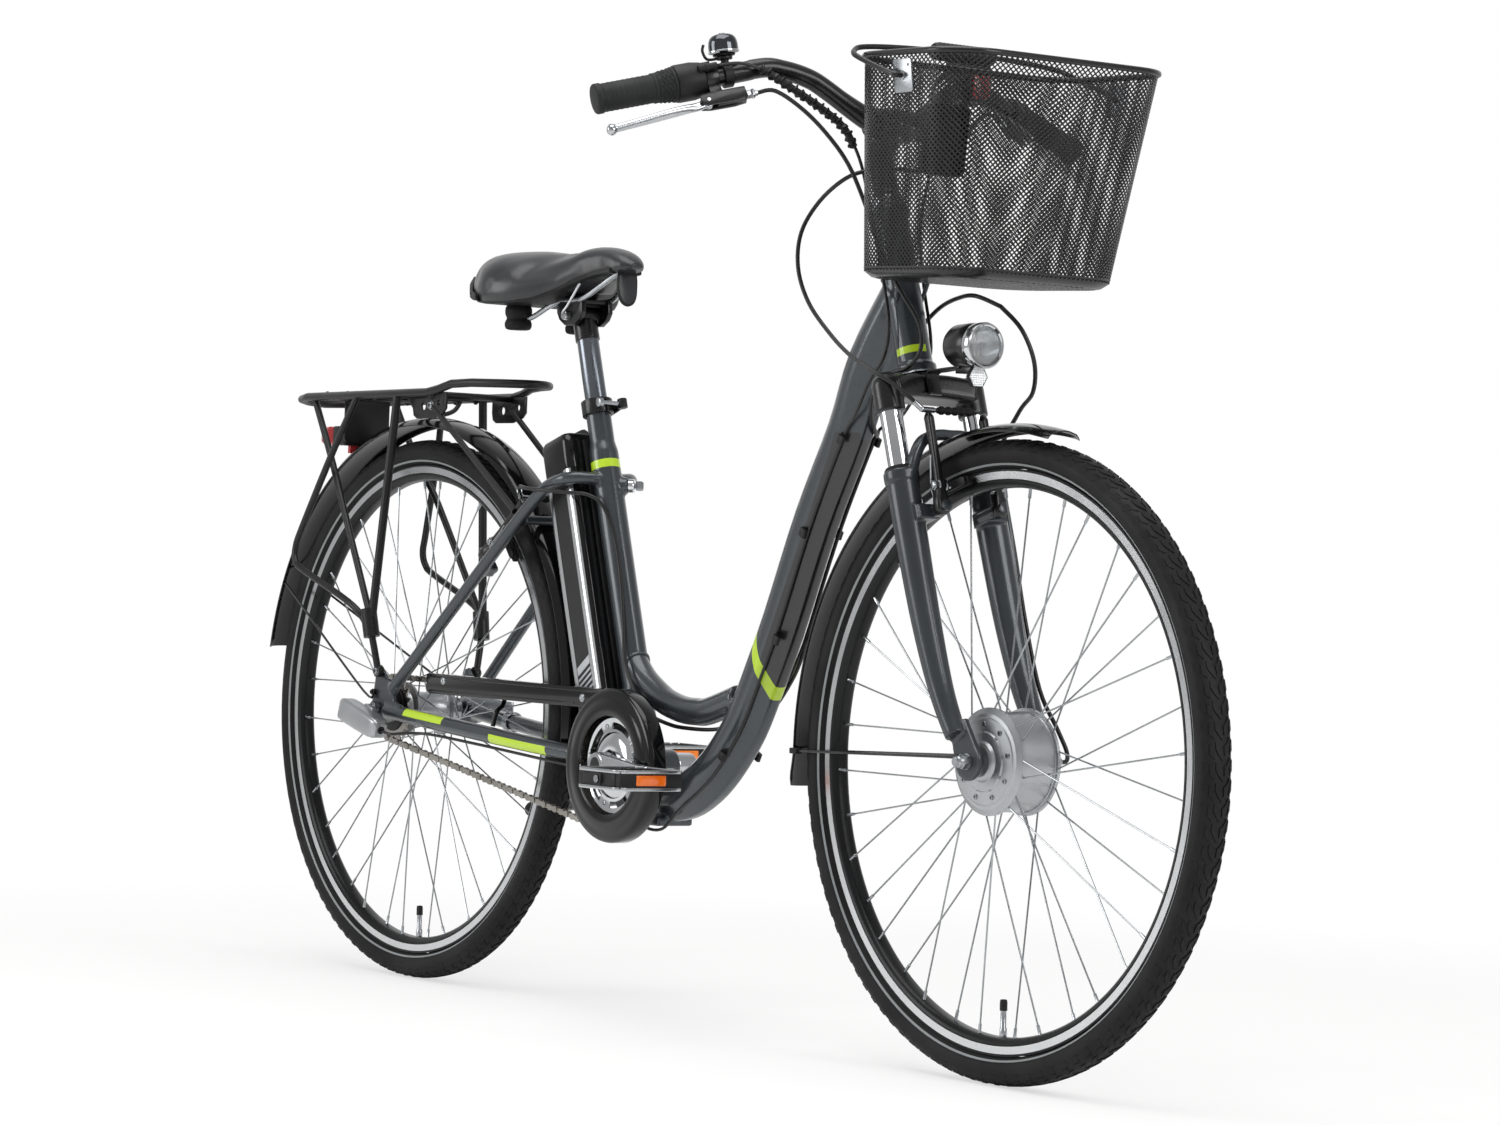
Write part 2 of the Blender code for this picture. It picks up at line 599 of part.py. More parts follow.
def lower_leg(y):
    stops = [(-0.130, LEG_FRONT), (-0.200, LEG_FRONT), (-0.300, 0.016), (-0.380, 0.022), (-0.436, 0.034)]
    radii = [0.0182, 0.0182, 0.0165, 0.0140, 0.0120]
    leg = tube([steer(s, f, y * LEG_SPACING) for s, f in stops], radii, 10)
    lip = turned([(LOWERS_TOP - 0.014, 0.0198), (LOWERS_TOP, 0.0198), (LOWERS_TOP + 0.004, 0.0165)],
                 steer(0, LEG_FRONT, y * LEG_SPACING), STEER_UP, 10)
    lug = block(steer(FRONT_BRAKE_UP, 0.025, y * 0.0485), (0.030, 0.026, 0.017), STEER_FRONT, Y, STEER_UP)
    post = brake_post(steer(FRONT_BRAKE_UP, 0), STEER_UP, STEER_FRONT, y, 0.022, FRONT_BOSS_DEPTH)
    return [leg, lip, lug, post, front_dropout(y)]


def build_fork_lowers():
    arch_path = [steer(-0.152, 0.022, -0.056), steer(-0.122, 0.034, -0.052), steer(-0.102, 0.0385, -0.040),
                 steer(-0.0945, ARCH_FRONT, -0.020), steer(-0.0940, ARCH_FRONT, 0.0)]
    arch_path += [Vector((p.x, -p.y, p.z)) for p in reversed(arch_path[:-1])]
    arch = section_tube(arch_path, [rounded(0.0060, 0.0062, 0.003, 2)] * len(arch_path), hint=STEER_FRONT)
    body = union(*lower_leg(1), arch, *lower_leg(-1))
    for y in (LEG_SPACING, -LEG_SPACING):
        bore = rod(steer(STANCHION_END - FORK_TRAVEL - 0.006, LEG_FRONT, y), steer(-0.1, LEG_FRONT, y),
                   STANCHION_RADIUS + GAP, 14)
        body = cut(body, bore)
    axle_bore = rod(FRONT_AXLE - Y * 0.09, FRONT_AXLE + Y * 0.09, AXLE_RADIUS + GAP, 12)
    part("fork_lowers", cut(body, axle_bore), BLACK_METAL, steer(LOWERS_TOP, LEG_FRONT))


def fender(axle, first, last, steps, edge, crown, flap=0.0):
    """A thin curved strip round a wheel; edge and crown are (half width, radius) of its section."""
    sheet = 0.0014
    rings = []
    for k in range(steps + 1):
        share = k / steps
        angle = math.radians(first + (last - first) * share)
        radial = X * math.cos(angle) + Z * math.sin(angle)
        flare = flap * max(0.0, k - steps + 1.0)
        mid = (edge[0] * 0.76, edge[1] + 0.68 * (crown - edge[1]))
        outer = [(-edge[0], edge[1]), (-mid[0], mid[1]), (0.0, crown), mid, edge]
        inner = [(edge[0] - sheet, edge[1]), (mid[0] - 0.6 * sheet, mid[1] - sheet), (0.0, crown - sheet),
                 (-mid[0] + 0.6 * sheet, mid[1] - sheet), (-edge[0] + sheet, edge[1])]
        rings.append([axle + Y * y + radial * (r + flare) for y, r in outer + inner])
    return skin(rings)


def stay_wire(start, end, y, eye_low):
    """A fender wire from the fender's edge to a flat eye on the dropout's outer face."""
    before = end - X * 0.024
    wire = tube([start, start + (before - start) * 0.25, before, end], 0.0016, 5)
    eye = rod(Vector((end.x, eye_low * y, end.z)), Vector((end.x, (eye_low + 0.0034) * y, end.z)), 0.0042, 8)
    return [wire, eye]


def build_front_fender():
    body = fender(FRONT_AXLE, 78.0, 187.5, 15, (0.0260, 0.3555), FRONT_FENDER_RADIUS, 0.010)
    for y in (1, -1):
        eye_low = DROPOUT_HIGH + GAP
        start = FRONT_AXLE + Vector((-0.3592, 0.0222 * y, -0.008))
        end = FRONT_AXLE + Vector((-0.0130, (eye_low + 0.0018) * y, 0.003))
        body = union(body, *stay_wire(start, end, y, eye_low))
    part("front_fender", body, BLACK_GLOSS, FRONT_AXLE)


def build_front_axle():
    inner = [(0.0, 0.0058), (MOTOR_HALF + GAP, 0.0058), (MOTOR_HALF + GAP, 0.0095),
             (DROPOUT_LOW - GAP, 0.0095), (DROPOUT_LOW - GAP, AXLE_RADIUS),
             (DROPOUT_HIGH + GAP, AXLE_RADIUS), (DROPOUT_HIGH + GAP, 0.0085), (0.0650, 0.0085),
             (0.0650, AXLE_RADIUS), (0.0740, AXLE_RADIUS)]
    profile = [(-along, radius) for along, radius in reversed(inner[1:])] + inner[1:]
    part("front_axle", turned(profile, FRONT_AXLE, Y, 8), STEEL, FRONT_AXLE)


def brake_arm(origin, radial, outward, y, pivot_up, depth):
    """A brake arm on its pin, with the pad that meets the rim and its threaded post."""
    low = depth + GAP
    outline = [(0.0485, -0.004), (0.0490, 0.006), (0.0450, 0.030), (0.0430, 0.070), (0.0425, 0.104),
               (0.0400, 0.1095), (0.0365, 0.1095), (0.0335, 0.104), (0.0335, 0.070), (0.0335, 0.030),
               (0.0325, 0.010), (0.0325, -0.004), (0.0365, -0.0085), (0.0445, -0.0085)]
    pivot = origin + radial * pivot_up
    arm = plate([(u * y, v) for u, v in outline], low, low + ARM_THICKNESS, Y, radial, outward, pivot)
    middle = low + ARM_THICKNESS / 2.0
    rise = math.sqrt(PAD_TRACK ** 2 - PAD_FRONT ** 2)
    center = origin + radial * rise + outward * middle
    post = rod(center + Y * (0.0350 * y), center + Y * (0.0230 * y), 0.0035, 8)
    nut = rod(center + Y * (0.0440 * y), center + Y * (0.0495 * y), 0.0055, 6)
    pad_center = center + Y * ((RIM_HALF_WIDTH + PAD_GAP + 0.005) * y)
    pad = block(pad_center, (0.054, 0.010, 0.0105), outward, Y, radial)
    bore = rod(pivot + Y * (BRAKE_PIVOT_Y * y), pivot + Y * (BRAKE_PIVOT_Y * y) + outward * 0.09,
               BRAKE_PIN_RADIUS / math.cos(math.pi / 8) + GAP, 8)
    return cut(union(arm, post, nut, pad), bore), pivot + Y * (BRAKE_PIVOT_Y * y)


def build_front_brake():
    origin = FRONT_AXLE - STEER_FRONT * FORK_OFFSET
    for y, side in ((1, "left"), (-1, "right")):
        pivot_up = FORK_LENGTH + FRONT_BRAKE_UP
        arm, pivot = brake_arm(origin, STEER_UP, STEER_FRONT, y, pivot_up, FRONT_BOSS_DEPTH)
        part("front_brake_arm_" + side, arm, BLACK_METAL, pivot)


def build_rear_brake():
    for y, side in ((1, "left"), (-1, "right")):
        arm, pivot = brake_arm(REAR_AXLE, REAR_RADIAL, REAR_BEHIND, y,
                               REAR_BRAKE_RADIUS, REAR_BOSS_DEPTH)
        part("rear_brake_arm_" + side, arm, BLACK_METAL, pivot)


build_fork_crown()
build_fork_lowers()
build_front_fender()
build_front_axle()
build_front_brake()
build_rear_brake()


# Handlebar, with everything that is clamped on it set out along its straight ends
BAR_BULGE = 0.0127
BAR_CENTER = steer(0.275, 0.034)
BAR_BENDS = [(0.957, 0.026, 1.0515), (0.947, 0.052, 1.0660), (0.935, 0.085, 1.0880),
             (0.931, 0.100, 1.0955), (0.926, 0.116, 1.1005), (0.923, 0.131, 1.1030),
             (0.9195, 0.148, 1.1045), (0.915, 0.167, 1.1010), (0.9096, 0.187, 1.0950)]
BAR_SWEEP = Vector((-0.0415, 0.128, -0.0335)).normalized()
LEVER_CLAMP = (0.0232, 0.0382)
HOUSING = (LEVER_CLAMP[1] + 2 * GAP, 0.0718)
TWIST = (HOUSING[1] + GAP, 0.0934)
GRIP_LENGTH = 0.072
GRIP_START = TWIST[1] + GAP
BAR_STRAIGHT = GRIP_START + GRIP_LENGTH - 0.004
BELL_CLAMP = (0.0050, 0.0150)
PULL = Vector((-0.022, 0.0, 0.0325)).normalized()
LEVER_DEPTH = 0.031
LEVER_PIVOT = (0.043, 0.033)


def mirrored(point, y):
    return Vector((point.x, point.y * y, point.z))


def bar_point(along, y):
    start = at(*BAR_BENDS[-1])
    return mirrored(start + BAR_SWEEP * along, y)


def bar_direction(y):
    return mirrored(BAR_SWEEP, y)


def bar_path():
    half = [at(*point) for point in BAR_BENDS] + [bar_point(BAR_STRAIGHT, 1)]
    right = [mirrored(point, -1) for point in reversed(half)]
    return right + [BAR_CENTER] + half


def bar_tube(extra=0.0):
    """The handlebar, or a thicker copy of it that cuts its seat in what it carries."""
    path = bar_path()
    path[0] = path[0] + bar_direction(-1) * extra
    path[-1] = path[-1] + bar_direction(1) * extra
    radii = []
    for point in path:
        share = min(1.0, max(0.0, (abs(point.y) - 0.035) / 0.03))
        radii.append(BAR_BULGE + (BAR_RADIUS - BAR_BULGE) * share + extra)
    return tube(path, radii, 10)


def bar_collar(low, high, radius, y, count=14):
    return rod(bar_point(low, y), bar_point(high, y), radius, count)


def lever_axes(y):
    """Outward along the bar, from the lever to the bar, and the lever's pivot axis."""
    out = bar_direction(y)
    pull = (PULL - out * PULL.dot(out)).normalized()
    return out, pull, out.cross(pull)


def lever_point(along, depth, y):
    out, pull, _ = lever_axes(y)
    return bar_point(along, y) - pull * depth


def build_lever(y, side):
    out, pull, axis = lever_axes(y)
    collar_body = bar_collar(*LEVER_CLAMP, 0.0160, y)
    middle = (LEVER_CLAMP[0] + LEVER_CLAMP[1]) / 2.0
    neck = block(lever_point(middle, 0.019, y), (0.014, 0.013, 0.018), out, axis, pull)
    bracket = block(lever_point(0.0240, LEVER_DEPTH, y), (0.052, 0.0150, 0.0150), out, axis, pull)
    barrel = rod(lever_point(-0.001, LEVER_DEPTH, y), lever_point(-0.016, LEVER_DEPTH, y), 0.0046, 10)
    pivot = lever_point(*LEVER_PIVOT, y)
    slot = block(lever_point(0.050, LEVER_DEPTH + 0.004, y), (0.034, 0.0072, 0.0320), out, axis, pull)
    pin = rod(pivot - axis * 0.0070, pivot + axis * 0.0070, 0.0022, 10)
    mount = cut(union(collar_body, neck, bracket, barrel), slot)
    mount = union(mount, pin)
    part(side + "_lever_mount", cut(mount, bar_tube(GAP)), BLACK_METAL)
    path = [lever_point(a, d, y) for a, d in ((0.0430, 0.0330), (0.0560, 0.0350), (0.0700, 0.0355),
                                              (0.0900, 0.0370), (0.1150, 0.0395), (0.1570, 0.0432))]
    outlines = [oval(w, h, 8) for w, h in ((0.0032, 0.0050), (0.0032, 0.0060), (0.0055, 0.0050),
                                           (0.0065, 0.0042), (0.0060, 0.0040), (0.0050, 0.0040))]
    blade = section_tube(path, outlines, hint=pull)
    boss = rod(pivot - axis * 0.0033, pivot + axis * 0.0033, 0.0062, 12)
    tip = turned([(-0.004, 0.0040), (0.0, 0.0066), (0.004, 0.0040)], lever_point(0.1590, 0.0434, y), out, 8)
    lever = cut(union(blade, boss, tip), rod(pivot - axis * 0.01, pivot + axis * 0.01, 0.0027, 10))
    part(side + "_brake_lever", lever, SILVER, pivot)


def build_handlebar():
    part("handlebar", bar_tube(), BLACK_METAL)
    quill = rod(steer(0.131, 0), steer(0.220, 0), QUILL_RADIUS, 12)
    column = turned([(STEERER_TOP + GAP, 0.0160), (STEERER_TOP + 0.004, 0.0145), (0.256, 0.0145),
                     (0.268, 0.0125)], HEAD_BOTTOM, STEER_UP, 16)
    reach = section_tube([steer(0.252, 0.0), BAR_CENTER],
                         [oval(0.0125, 0.0120, 12), oval(0.0150, 0.0120, 12)])
    clamp = rod(BAR_CENTER - Y * 0.018, BAR_CENTER + Y * 0.018, 0.0190, 14)
    stem = cut(union(quill, column, reach, clamp), bar_tube(GAP))
    part("stem", stem, BLACK_METAL)


def build_grips():
    end = BAR_STRAIGHT + 0.004
    right = turned([(GRIP_START, 0.0172), (GRIP_START + 0.004, 0.0172), (GRIP_START + 0.0045, 0.0160),
                    (end - 0.009, GRIP_RADIUS), (end - 0.008, 0.0170), (end - 0.002, 0.0170),
                    (end, 0.0140)], bar_point(0.0, -1), bar_direction(-1), 14)
    part("right_grip", cut(right, bar_tube(GAP)), RUBBER)
    left = turned([(HOUSING[0], 0.0195), (HOUSING[0] + 0.004, 0.0195), (HOUSING[0] + 0.006, 0.0160),
                   (end - 0.009, GRIP_RADIUS), (end - 0.008, 0.0170), (end - 0.002, 0.0170),
                   (end, 0.0140)], bar_point(0.0, 1), bar_direction(1), 14)
    part("left_grip", cut(left, bar_tube(GAP)), RUBBER)
    twist_bore = rod(bar_point(TWIST[0] - 0.01, -1), bar_point(TWIST[1] + 0.01, -1), BAR_RADIUS + 0.0008, 16)
    twist = turned([(TWIST[0], 0.0200), (TWIST[0] + 0.003, 0.0200), (TWIST[1], 0.0172)],
                   bar_point(0.0, -1), bar_direction(-1), 18)
    part("twist_shifter", cut(twist, twist_bore), RUBBER, bar_point((TWIST[0] + TWIST[1]) / 2.0, -1))
    housing = turned([(HOUSING[0], 0.0190), (HOUSING[0] + 0.012, 0.0212), (HOUSING[1] - 0.002, 0.0212),
                      (HOUSING[1], 0.0205)], bar_point(0.0, -1), bar_direction(-1), 18)
    _, pull, axis = lever_axes(-1)
    outlet = rod(bar_point(HOUSING[0] + 0.008, -1) + axis * (-0.0215),
                 bar_point(HOUSING[0] - 0.014, -1) + axis * (-0.0215), 0.0042, 10)
    part("shifter_housing", cut(union(housing, outlet), bar_tube(GAP)), BLACK_PLASTIC)


def build_bell():
    middle = (BELL_CLAMP[0] + BELL_CLAMP[1]) / 2.0
    base = bar_point(middle, -1)
    up = Vector((-0.10, -0.12, 0.99)).normalized()
    clamp = bar_collar(*BELL_CLAMP, 0.0145, -1)
    neck = rod(base + up * 0.010, base + up * 0.030, 0.0045, 10)
    dome = turned([(0.0250, 0.0150), (0.0270, 0.0172), (0.0370, 0.0172), (0.0440, 0.0150),
                   (0.0465, 0.0085)], base, up, 16)
    part("bell", cut(union(clamp, neck, dome), bar_tube(GAP)), CHROME)
    out = (bar_direction(-1) - up * bar_direction(-1).dot(up)).normalized()
    ring = collar(base, up, 0.0170, 0.0205, 0.0051, 0.0090, 12)
    arm = tube([base + up * 0.0187 + out * 0.0070, base + up * 0.0187 + out * 0.0200,
                base + up * 0.0280 + out * 0.0245, base + up * 0.0350 + out * 0.0225], 0.0016, 6)
    part("bell_lever", union(ring, arm), BLACK_PLASTIC, base + up * 0.0187)


def build_control():
    center = at(0.9228, 0.131, 1.1025)
    clamp = rod(center - Y * 0.007, center + Y * 0.007, 0.0165, 16)
    body = section_tube([center + Vector((0.0, -0.021, 0.022)), center + Vector((0.0, 0.021, 0.022))],
                        [rounded(0.018, 0.013, 0.005, 2)] * 2)
    face = block(center + Vector((0.019, 0.0, 0.004)), (0.012, 0.030, 0.034))
    pocket = block(center + Vector((0.0245, 0.0, 0.004)), (0.006, 0.0246, 0.0286))
    unit = cut(union(body, clamp, face), bar_tube(GAP), pocket)
    part("control_unit", unit, BLACK_PLASTIC)
    button = block(center + Vector((0.0254, 0.0, 0.004)), (0.0040, 0.0240, 0.0280))
    part("control_button", button, RED, center + Vector((0.0254, 0.0, 0.004)))


build_handlebar()
build_grips()
for bar_side, bar_side_name in ((-1, "right"), (1, "left")):
    build_lever(bar_side, bar_side_name)
build_bell()
build_control()


# Basket: a closed solid with its true outside, its thin wall and its open top, hung on the bar
BASKET_PITCH = 0.027
BASKET_FRONT = Vector((math.cos(BASKET_PITCH), 0.0, -math.sin(BASKET_PITCH)))
BASKET_UP = Vector((math.sin(BASKET_PITCH), 0.0, math.cos(BASKET_PITCH)))
BASKET_BASE = at(1.135, 0.0, 0.867)
BASKET_LEAN = 0.025
BASKET_LOW = (0.0965, 0.120, 0.050)
BASKET_HIGH = (0.1025, 0.152, 0.055)
HANDLE_PIVOT = at(1.168, 0.0, 1.079)


def basket_level(height):
    """The middle of the basket at a height, with its half length, half width and corner there."""
    share = height / BASKET_HEIGHT
    middle = BASKET_BASE + BASKET_UP * height + BASKET_FRONT * (BASKET_LEAN * share)
    return middle, [low + (high - low) * share for low, high in zip(BASKET_LOW, BASKET_HIGH)]


def basket_ring(height, inset):
    middle, (length, width, corner) = basket_level(height)
    outline = rounded(length - inset, width - inset, corner - inset, 3)
    return [middle + BASKET_FRONT * u + Y * v for u, v in outline]


def build_basket():
    levels = [(0.0, 0.010), (0.010, 0.0), (BASKET_HEIGHT / 2.0, 0.0), (BASKET_HEIGHT, 0.0),
              (BASKET_HEIGHT, BASKET_WALL), (BASKET_HEIGHT / 2.0, BASKET_WALL), (0.011, BASKET_WALL),
              (0.0018, 0.011)]
    shell = skin([basket_ring(height, inset) for height, inset in levels])
    rim_wire = tube(basket_ring(BASKET_HEIGHT, BASKET_WALL / 2.0), 0.0035, 5, closed=True)
    body = union(shell, rim_wire)
    slope = (BASKET_HIGH[1] - BASKET_LOW[1]) / BASKET_HEIGHT
    for y in (1, -1):
        out = Vector((0.0, y, -slope)).normalized()
        up = X.cross(out)
        body = union(body, block(HANDLE_PIVOT + Y * (0.1492 * y), (0.032, 0.0036, 0.036), X, out, up))
    bore = rod(HANDLE_PIVOT - Y * 0.2, HANDLE_PIVOT + Y * 0.2, 0.0034, 10)
    part("basket", cut(body, bore), BLACK_METAL)


def build_basket_handle():
    half = [at(1.168, 0.144, 1.079), at(1.168, 0.1575, 1.079), at(1.164, 0.161, 1.0803),
            at(1.130, 0.162, 1.0920), at(1.095, 0.160, 1.1050), at(1.083, 0.152, 1.1120),
            at(1.078, 0.138, 1.1170), at(1.078, 0.100, 1.1205), at(1.080, 0.040, 1.1225)]
    path = half + [mirrored(point, -1) for point in reversed(half)]
    grip = turned([(0.0, 0.0080), (0.003, 0.0100), (0.080, 0.0100), (0.083, 0.0080)],
                  at(1.0796, -0.065, 1.1222), Y, 10)
    part("basket_handle", union(tube(path, 0.0030, 6), grip), BLACK_METAL, HANDLE_PIVOT)


def build_basket_holder():
    middle, (length, _, _) = basket_level(0.160)
    lean = BASKET_LEAN - (BASKET_HIGH[0] - BASKET_LOW[0])
    up = (BASKET_UP * BASKET_HEIGHT + BASKET_FRONT * lean).normalized()
    back = up.cross(Y)
    face = middle - BASKET_FRONT * length
    body = block(face + back * (GAP + 0.0025), (0.005, 0.060, 0.080), back, Y, up)
    for y in (1, -1):
        collar_middle = at(0.957, 0.0265 * y, 1.0515)
        clamp = rod(collar_middle - Y * 0.006, collar_middle + Y * 0.006, 0.0175, 12)
        end = face + Y * (0.0265 * y) + back * 0.003
        arm = section_tube([collar_middle + X * 0.008, end], [rounded(0.004, 0.006, 0.002, 1)] * 2)
        body = union(body, clamp, arm)
    part("basket_holder", cut(body, bar_tube(GAP)), BLACK_METAL)


def build_headlight():
    axis_height = 0.800
    lamp = turned([(0.0, 0.0170), (0.010, 0.0240), (0.030, 0.0255), (0.052, 0.0255), (0.055, 0.0235)],
                  at(1.085, 0.0, axis_height), X, 16)
    strap_path = [steer(-0.042, 0.0266), steer(-0.018, 0.0266),
                  at(1.066, 0.0, 0.7740), at(1.104, 0.0, 0.7765)]
    strap = section_tube(strap_path, [rounded(0.009, 0.0016, 0.001, 1)] * 4)
    reflector = section_tube([at(1.1225, 0, 0.7660), at(1.1285, 0, 0.7660)], [oval(0.0165, 0.0135, 12)] * 2)
    neck = block(at(1.110, 0.0, 0.7735), (0.028, 0.014, 0.008))
    part("headlight", union(lamp, strap, neck, reflector), BLACK_PLASTIC)


build_basket()
build_basket_handle()
build_basket_holder()
build_headlight()


# Drive: chain round the chainring and the sprocket, cranks with pedals, guard over the upper run
CHAIN_HALF_HEIGHT = 0.0035
CHAIN_HALF_WIDTH = 0.0040
RING_INSET = 0.0045


def chain_path():
    """The chain's centre line: an arc round each wheel, joined by the straight runs."""
    rear = REAR_AXLE - Y * CHAIN_LINE
    front = BRACKET - Y * CHAIN_LINE
    run = front - rear
    lean = math.atan2(run.z, run.x)
    spread = math.acos((CHAINRING_PITCH - SPROCKET_PITCH) / run.length)
    points = []
    for center, pitch, start, end, steps in (
            (front, CHAINRING_PITCH, lean + math.pi - spread, lean - math.pi + spread, 16),
            (rear, SPROCKET_PITCH, lean - math.pi + spread, lean - math.pi - spread, 10)):
        for k in range(steps + 1):
            angle = start + (end - start) * k / steps
            points.append(center + (X * math.cos(angle) + Z * math.sin(angle)) * pitch)
    return points


def build_chain():
    path = chain_path()
    outline = [(CHAIN_HALF_WIDTH, CHAIN_HALF_HEIGHT), (-CHAIN_HALF_WIDTH, CHAIN_HALF_HEIGHT),
               (-CHAIN_HALF_WIDTH, -CHAIN_HALF_HEIGHT), (CHAIN_HALF_WIDTH, -CHAIN_HALF_HEIGHT)]
    rings = []
    for point, (tangent, _, _) in zip(path, frames(path, True)):
        out = Y.cross(tangent)
        rings.append([point + Y * u + out * v for u, v in outline])
    part("chain", skin(rings, closed=True), STEEL)


def toothed_disc(name, center, pitch, bore, count, material):
    profile = [(-0.0015, bore), (-0.0015, pitch - RING_INSET), (0.0015, pitch - RING_INSET), (0.0015, bore)]
    part(name, turned(profile, center - Y * CHAIN_LINE, Y, count, hole=True, side=X), material, center)


def crank_arm(y, angle, start_y, end_y):
    along = X * math.cos(angle) + Z * math.sin(angle)
    path = [BRACKET + Y * start_y, BRACKET + along * 0.060 + Y * (start_y + 0.25 * (end_y - start_y)),
            BRACKET + along * CRANK_LENGTH + Y * end_y]
    outlines = [oval(w, h, 8) for w, h in ((0.0062, 0.0150), (0.0062, 0.0130), (0.0060, 0.0110))]
    arm = section_tube(path, outlines, hint=along.cross(Y))
    eye = BRACKET + along * CRANK_LENGTH
    boss = rod(eye + Y * (end_y - 0.006), eye + Y * (end_y + 0.006), 0.0125, 12)
    axle = rod(eye + Y * end_y, eye + Y * (0.190 * y), 0.0045, 10)
    return [arm, boss, axle], eye


def build_cranks():
    right_angle = math.radians(-2.0)
    arm, right_eye = crank_arm(-1, right_angle, -0.0705, -0.0860)
    hub = rod(BRACKET - Y * 0.0473, BRACKET - Y * 0.0780, 0.0160, 14)
    bore = rod(BRACKET - Y * 0.0400, BRACKET - Y * 0.0758, SPINDLE_RADIUS + GAP, 14)
    part("right_crank", cut(union(hub, *arm), bore), SILVER, BRACKET)
    arm, left_eye = crank_arm(1, right_angle + math.pi, 0.0560, 0.0860)
    hub = rod(BRACKET + Y * (BRACKET_HALF_WIDTH + GAP), BRACKET + Y * 0.0620, 0.0160, 14)
    spindle = rod(BRACKET - Y * 0.0755, BRACKET + Y * 0.0400, SPINDLE_RADIUS, 14)
    part("left_crank", union(hub, spindle, *arm), SILVER, BRACKET)
    return right_eye, left_eye


def build_pedal(name, y, eye):
    body = rod(eye + Y * (0.0945 * y), eye + Y * (0.1885 * y), 0.0095, 12)
    for place in (0.0975, 0.1855):
        body = union(body, block(eye + Y * (place * y), (0.090, 0.006, 0.024)))
    for ahead in (0.032, -0.032):
        body = union(body, block(eye + Y * (0.1415 * y) + X * ahead, (0.020, 0.088, 0.020)))
    bore = rod(eye + Y * (0.08 * y), eye + Y * (0.20 * y), 0.0045 / math.cos(math.pi / 10) + GAP, 10)
    part(name, cut(body, bore), BLACK_PLASTIC, eye)


def chain_line_height(x):
    """The height of the upper run's centre line at a place behind the bracket."""
    rear_top = WHEEL_RADIUS + SPROCKET_PITCH
    front_top = BRACKET_Z + CHAINRING_PITCH
    return rear_top + (front_top - rear_top) * x / BRACKET_X


def build_chainguard():
    profile = [(0.0380, 0.0905), (0.0380, 0.0930), (0.0560, 0.0930), (0.0600, 0.0900), (0.0620, 0.0640),
               (0.0600, 0.0590), (0.0590, 0.0640), (0.0575, 0.0890), (0.0555, 0.0905)]
    ring = turned(profile, BRACKET, -Y, 24, hole=True, side=X)
    ring = cut(ring, block(at(BRACKET_X - 0.055, -0.0418, 0.3025), (0.130, 0.0235, 0.205)))
    low = 0.3725
    side_outline = [(0.098, low + 0.008), (0.106, low), (0.500, low - 0.001), (0.520, low + 0.010),
                    (0.520, chain_line_height(0.520) + 0.0095), (0.104, chain_line_height(0.104) + 0.0095),
                    (0.098, chain_line_height(0.098) + 0.0050)]
    side_plate = plate(side_outline, -0.0580, -0.0555, origin=at(0, 0, 0))
    first, last = 0.1045, 0.5190
    top_outline = [(first, chain_line_height(first) + 0.0073), (last, chain_line_height(last) + 0.0073),
                   (last, chain_line_height(last) + 0.0091), (first, chain_line_height(first) + 0.0091)]
    top_plate = plate(top_outline, -0.0570, -0.0383, origin=at(0, 0, 0))
    tab = tube([at(0.250, -0.0365, 0.3965), at(0.250, -0.0365, 0.3680), at(0.250, -0.0470, 0.3560),
                at(0.250, -0.0520, 0.3378)], 0.0030, 6, hint=X)
    part("chainguard", union(ring, side_plate, top_plate, tab), BLACK_PLASTIC)


def build_rear_axle():
    outer_face = REAR_HALF_SPACE + DROPOUT_THICKNESS + GAP
    inner = [(REAR_HUB_HALF + GAP, AXLE_RADIUS), (REAR_HUB_HALF + GAP, 0.0095),
             (REAR_HALF_SPACE - GAP, 0.0095), (REAR_HALF_SPACE - GAP, AXLE_RADIUS), (outer_face, AXLE_RADIUS),
             (outer_face, 0.0085), (0.0785, 0.0085), (0.0785, AXLE_RADIUS)]
    right = [(-along, radius) for along, radius in reversed(inner)]
    profile = [(-0.0860, AXLE_RADIUS)] + right + inner + [(0.0800, AXLE_RADIUS)]
    body = turned(profile, REAR_AXLE, Y, 8)
    lean = math.radians(15.0)
    click_front = Vector((math.cos(lean), 0, -math.sin(lean)))
    click_up = Vector((math.sin(lean), 0, math.cos(lean)))
    click_path = [at(-0.035, -0.096, 0.3462), at(-0.028, -0.096, 0.3443), at(0.040, -0.096, 0.3260),
                  at(0.054, -0.096, 0.3223)]
    click_outlines = [rounded(0.009, 0.011, 0.004, 2), rounded(0.012, 0.015, 0.005, 2),
                      rounded(0.012, 0.014, 0.005, 2), rounded(0.008, 0.008, 0.004, 2)]
    click_box = section_tube(click_path, click_outlines, hint=click_up)
    neck = block(REAR_AXLE + Vector((0.006, -0.086, -0.010)), (0.020, 0.006, 0.026), click_front, Y, click_up)
    arm_outline = [(-0.010, -0.008), (0.008, -0.010), (0.022, 0.0065), (0.128, 0.0002), (0.128, 0.0145),
                   (0.020, 0.0195), (-0.006, 0.012), (-0.012, 0.002)]
    arm = plate(arm_outline, 0.0535, 0.0563, origin=REAR_AXLE)
    stay_axis = (at(0.300, 0.0500, 0.3225) - at(0.120, 0.0610, 0.3375)).normalized()
    strap = collar(at(0.120, 0.0610, 0.3375), stay_axis, -0.008, 0.004, 0.0115, 0.0136, 10)
    part("rear_axle", union(body, click_box, neck, arm, strap), STEEL, REAR_AXLE)


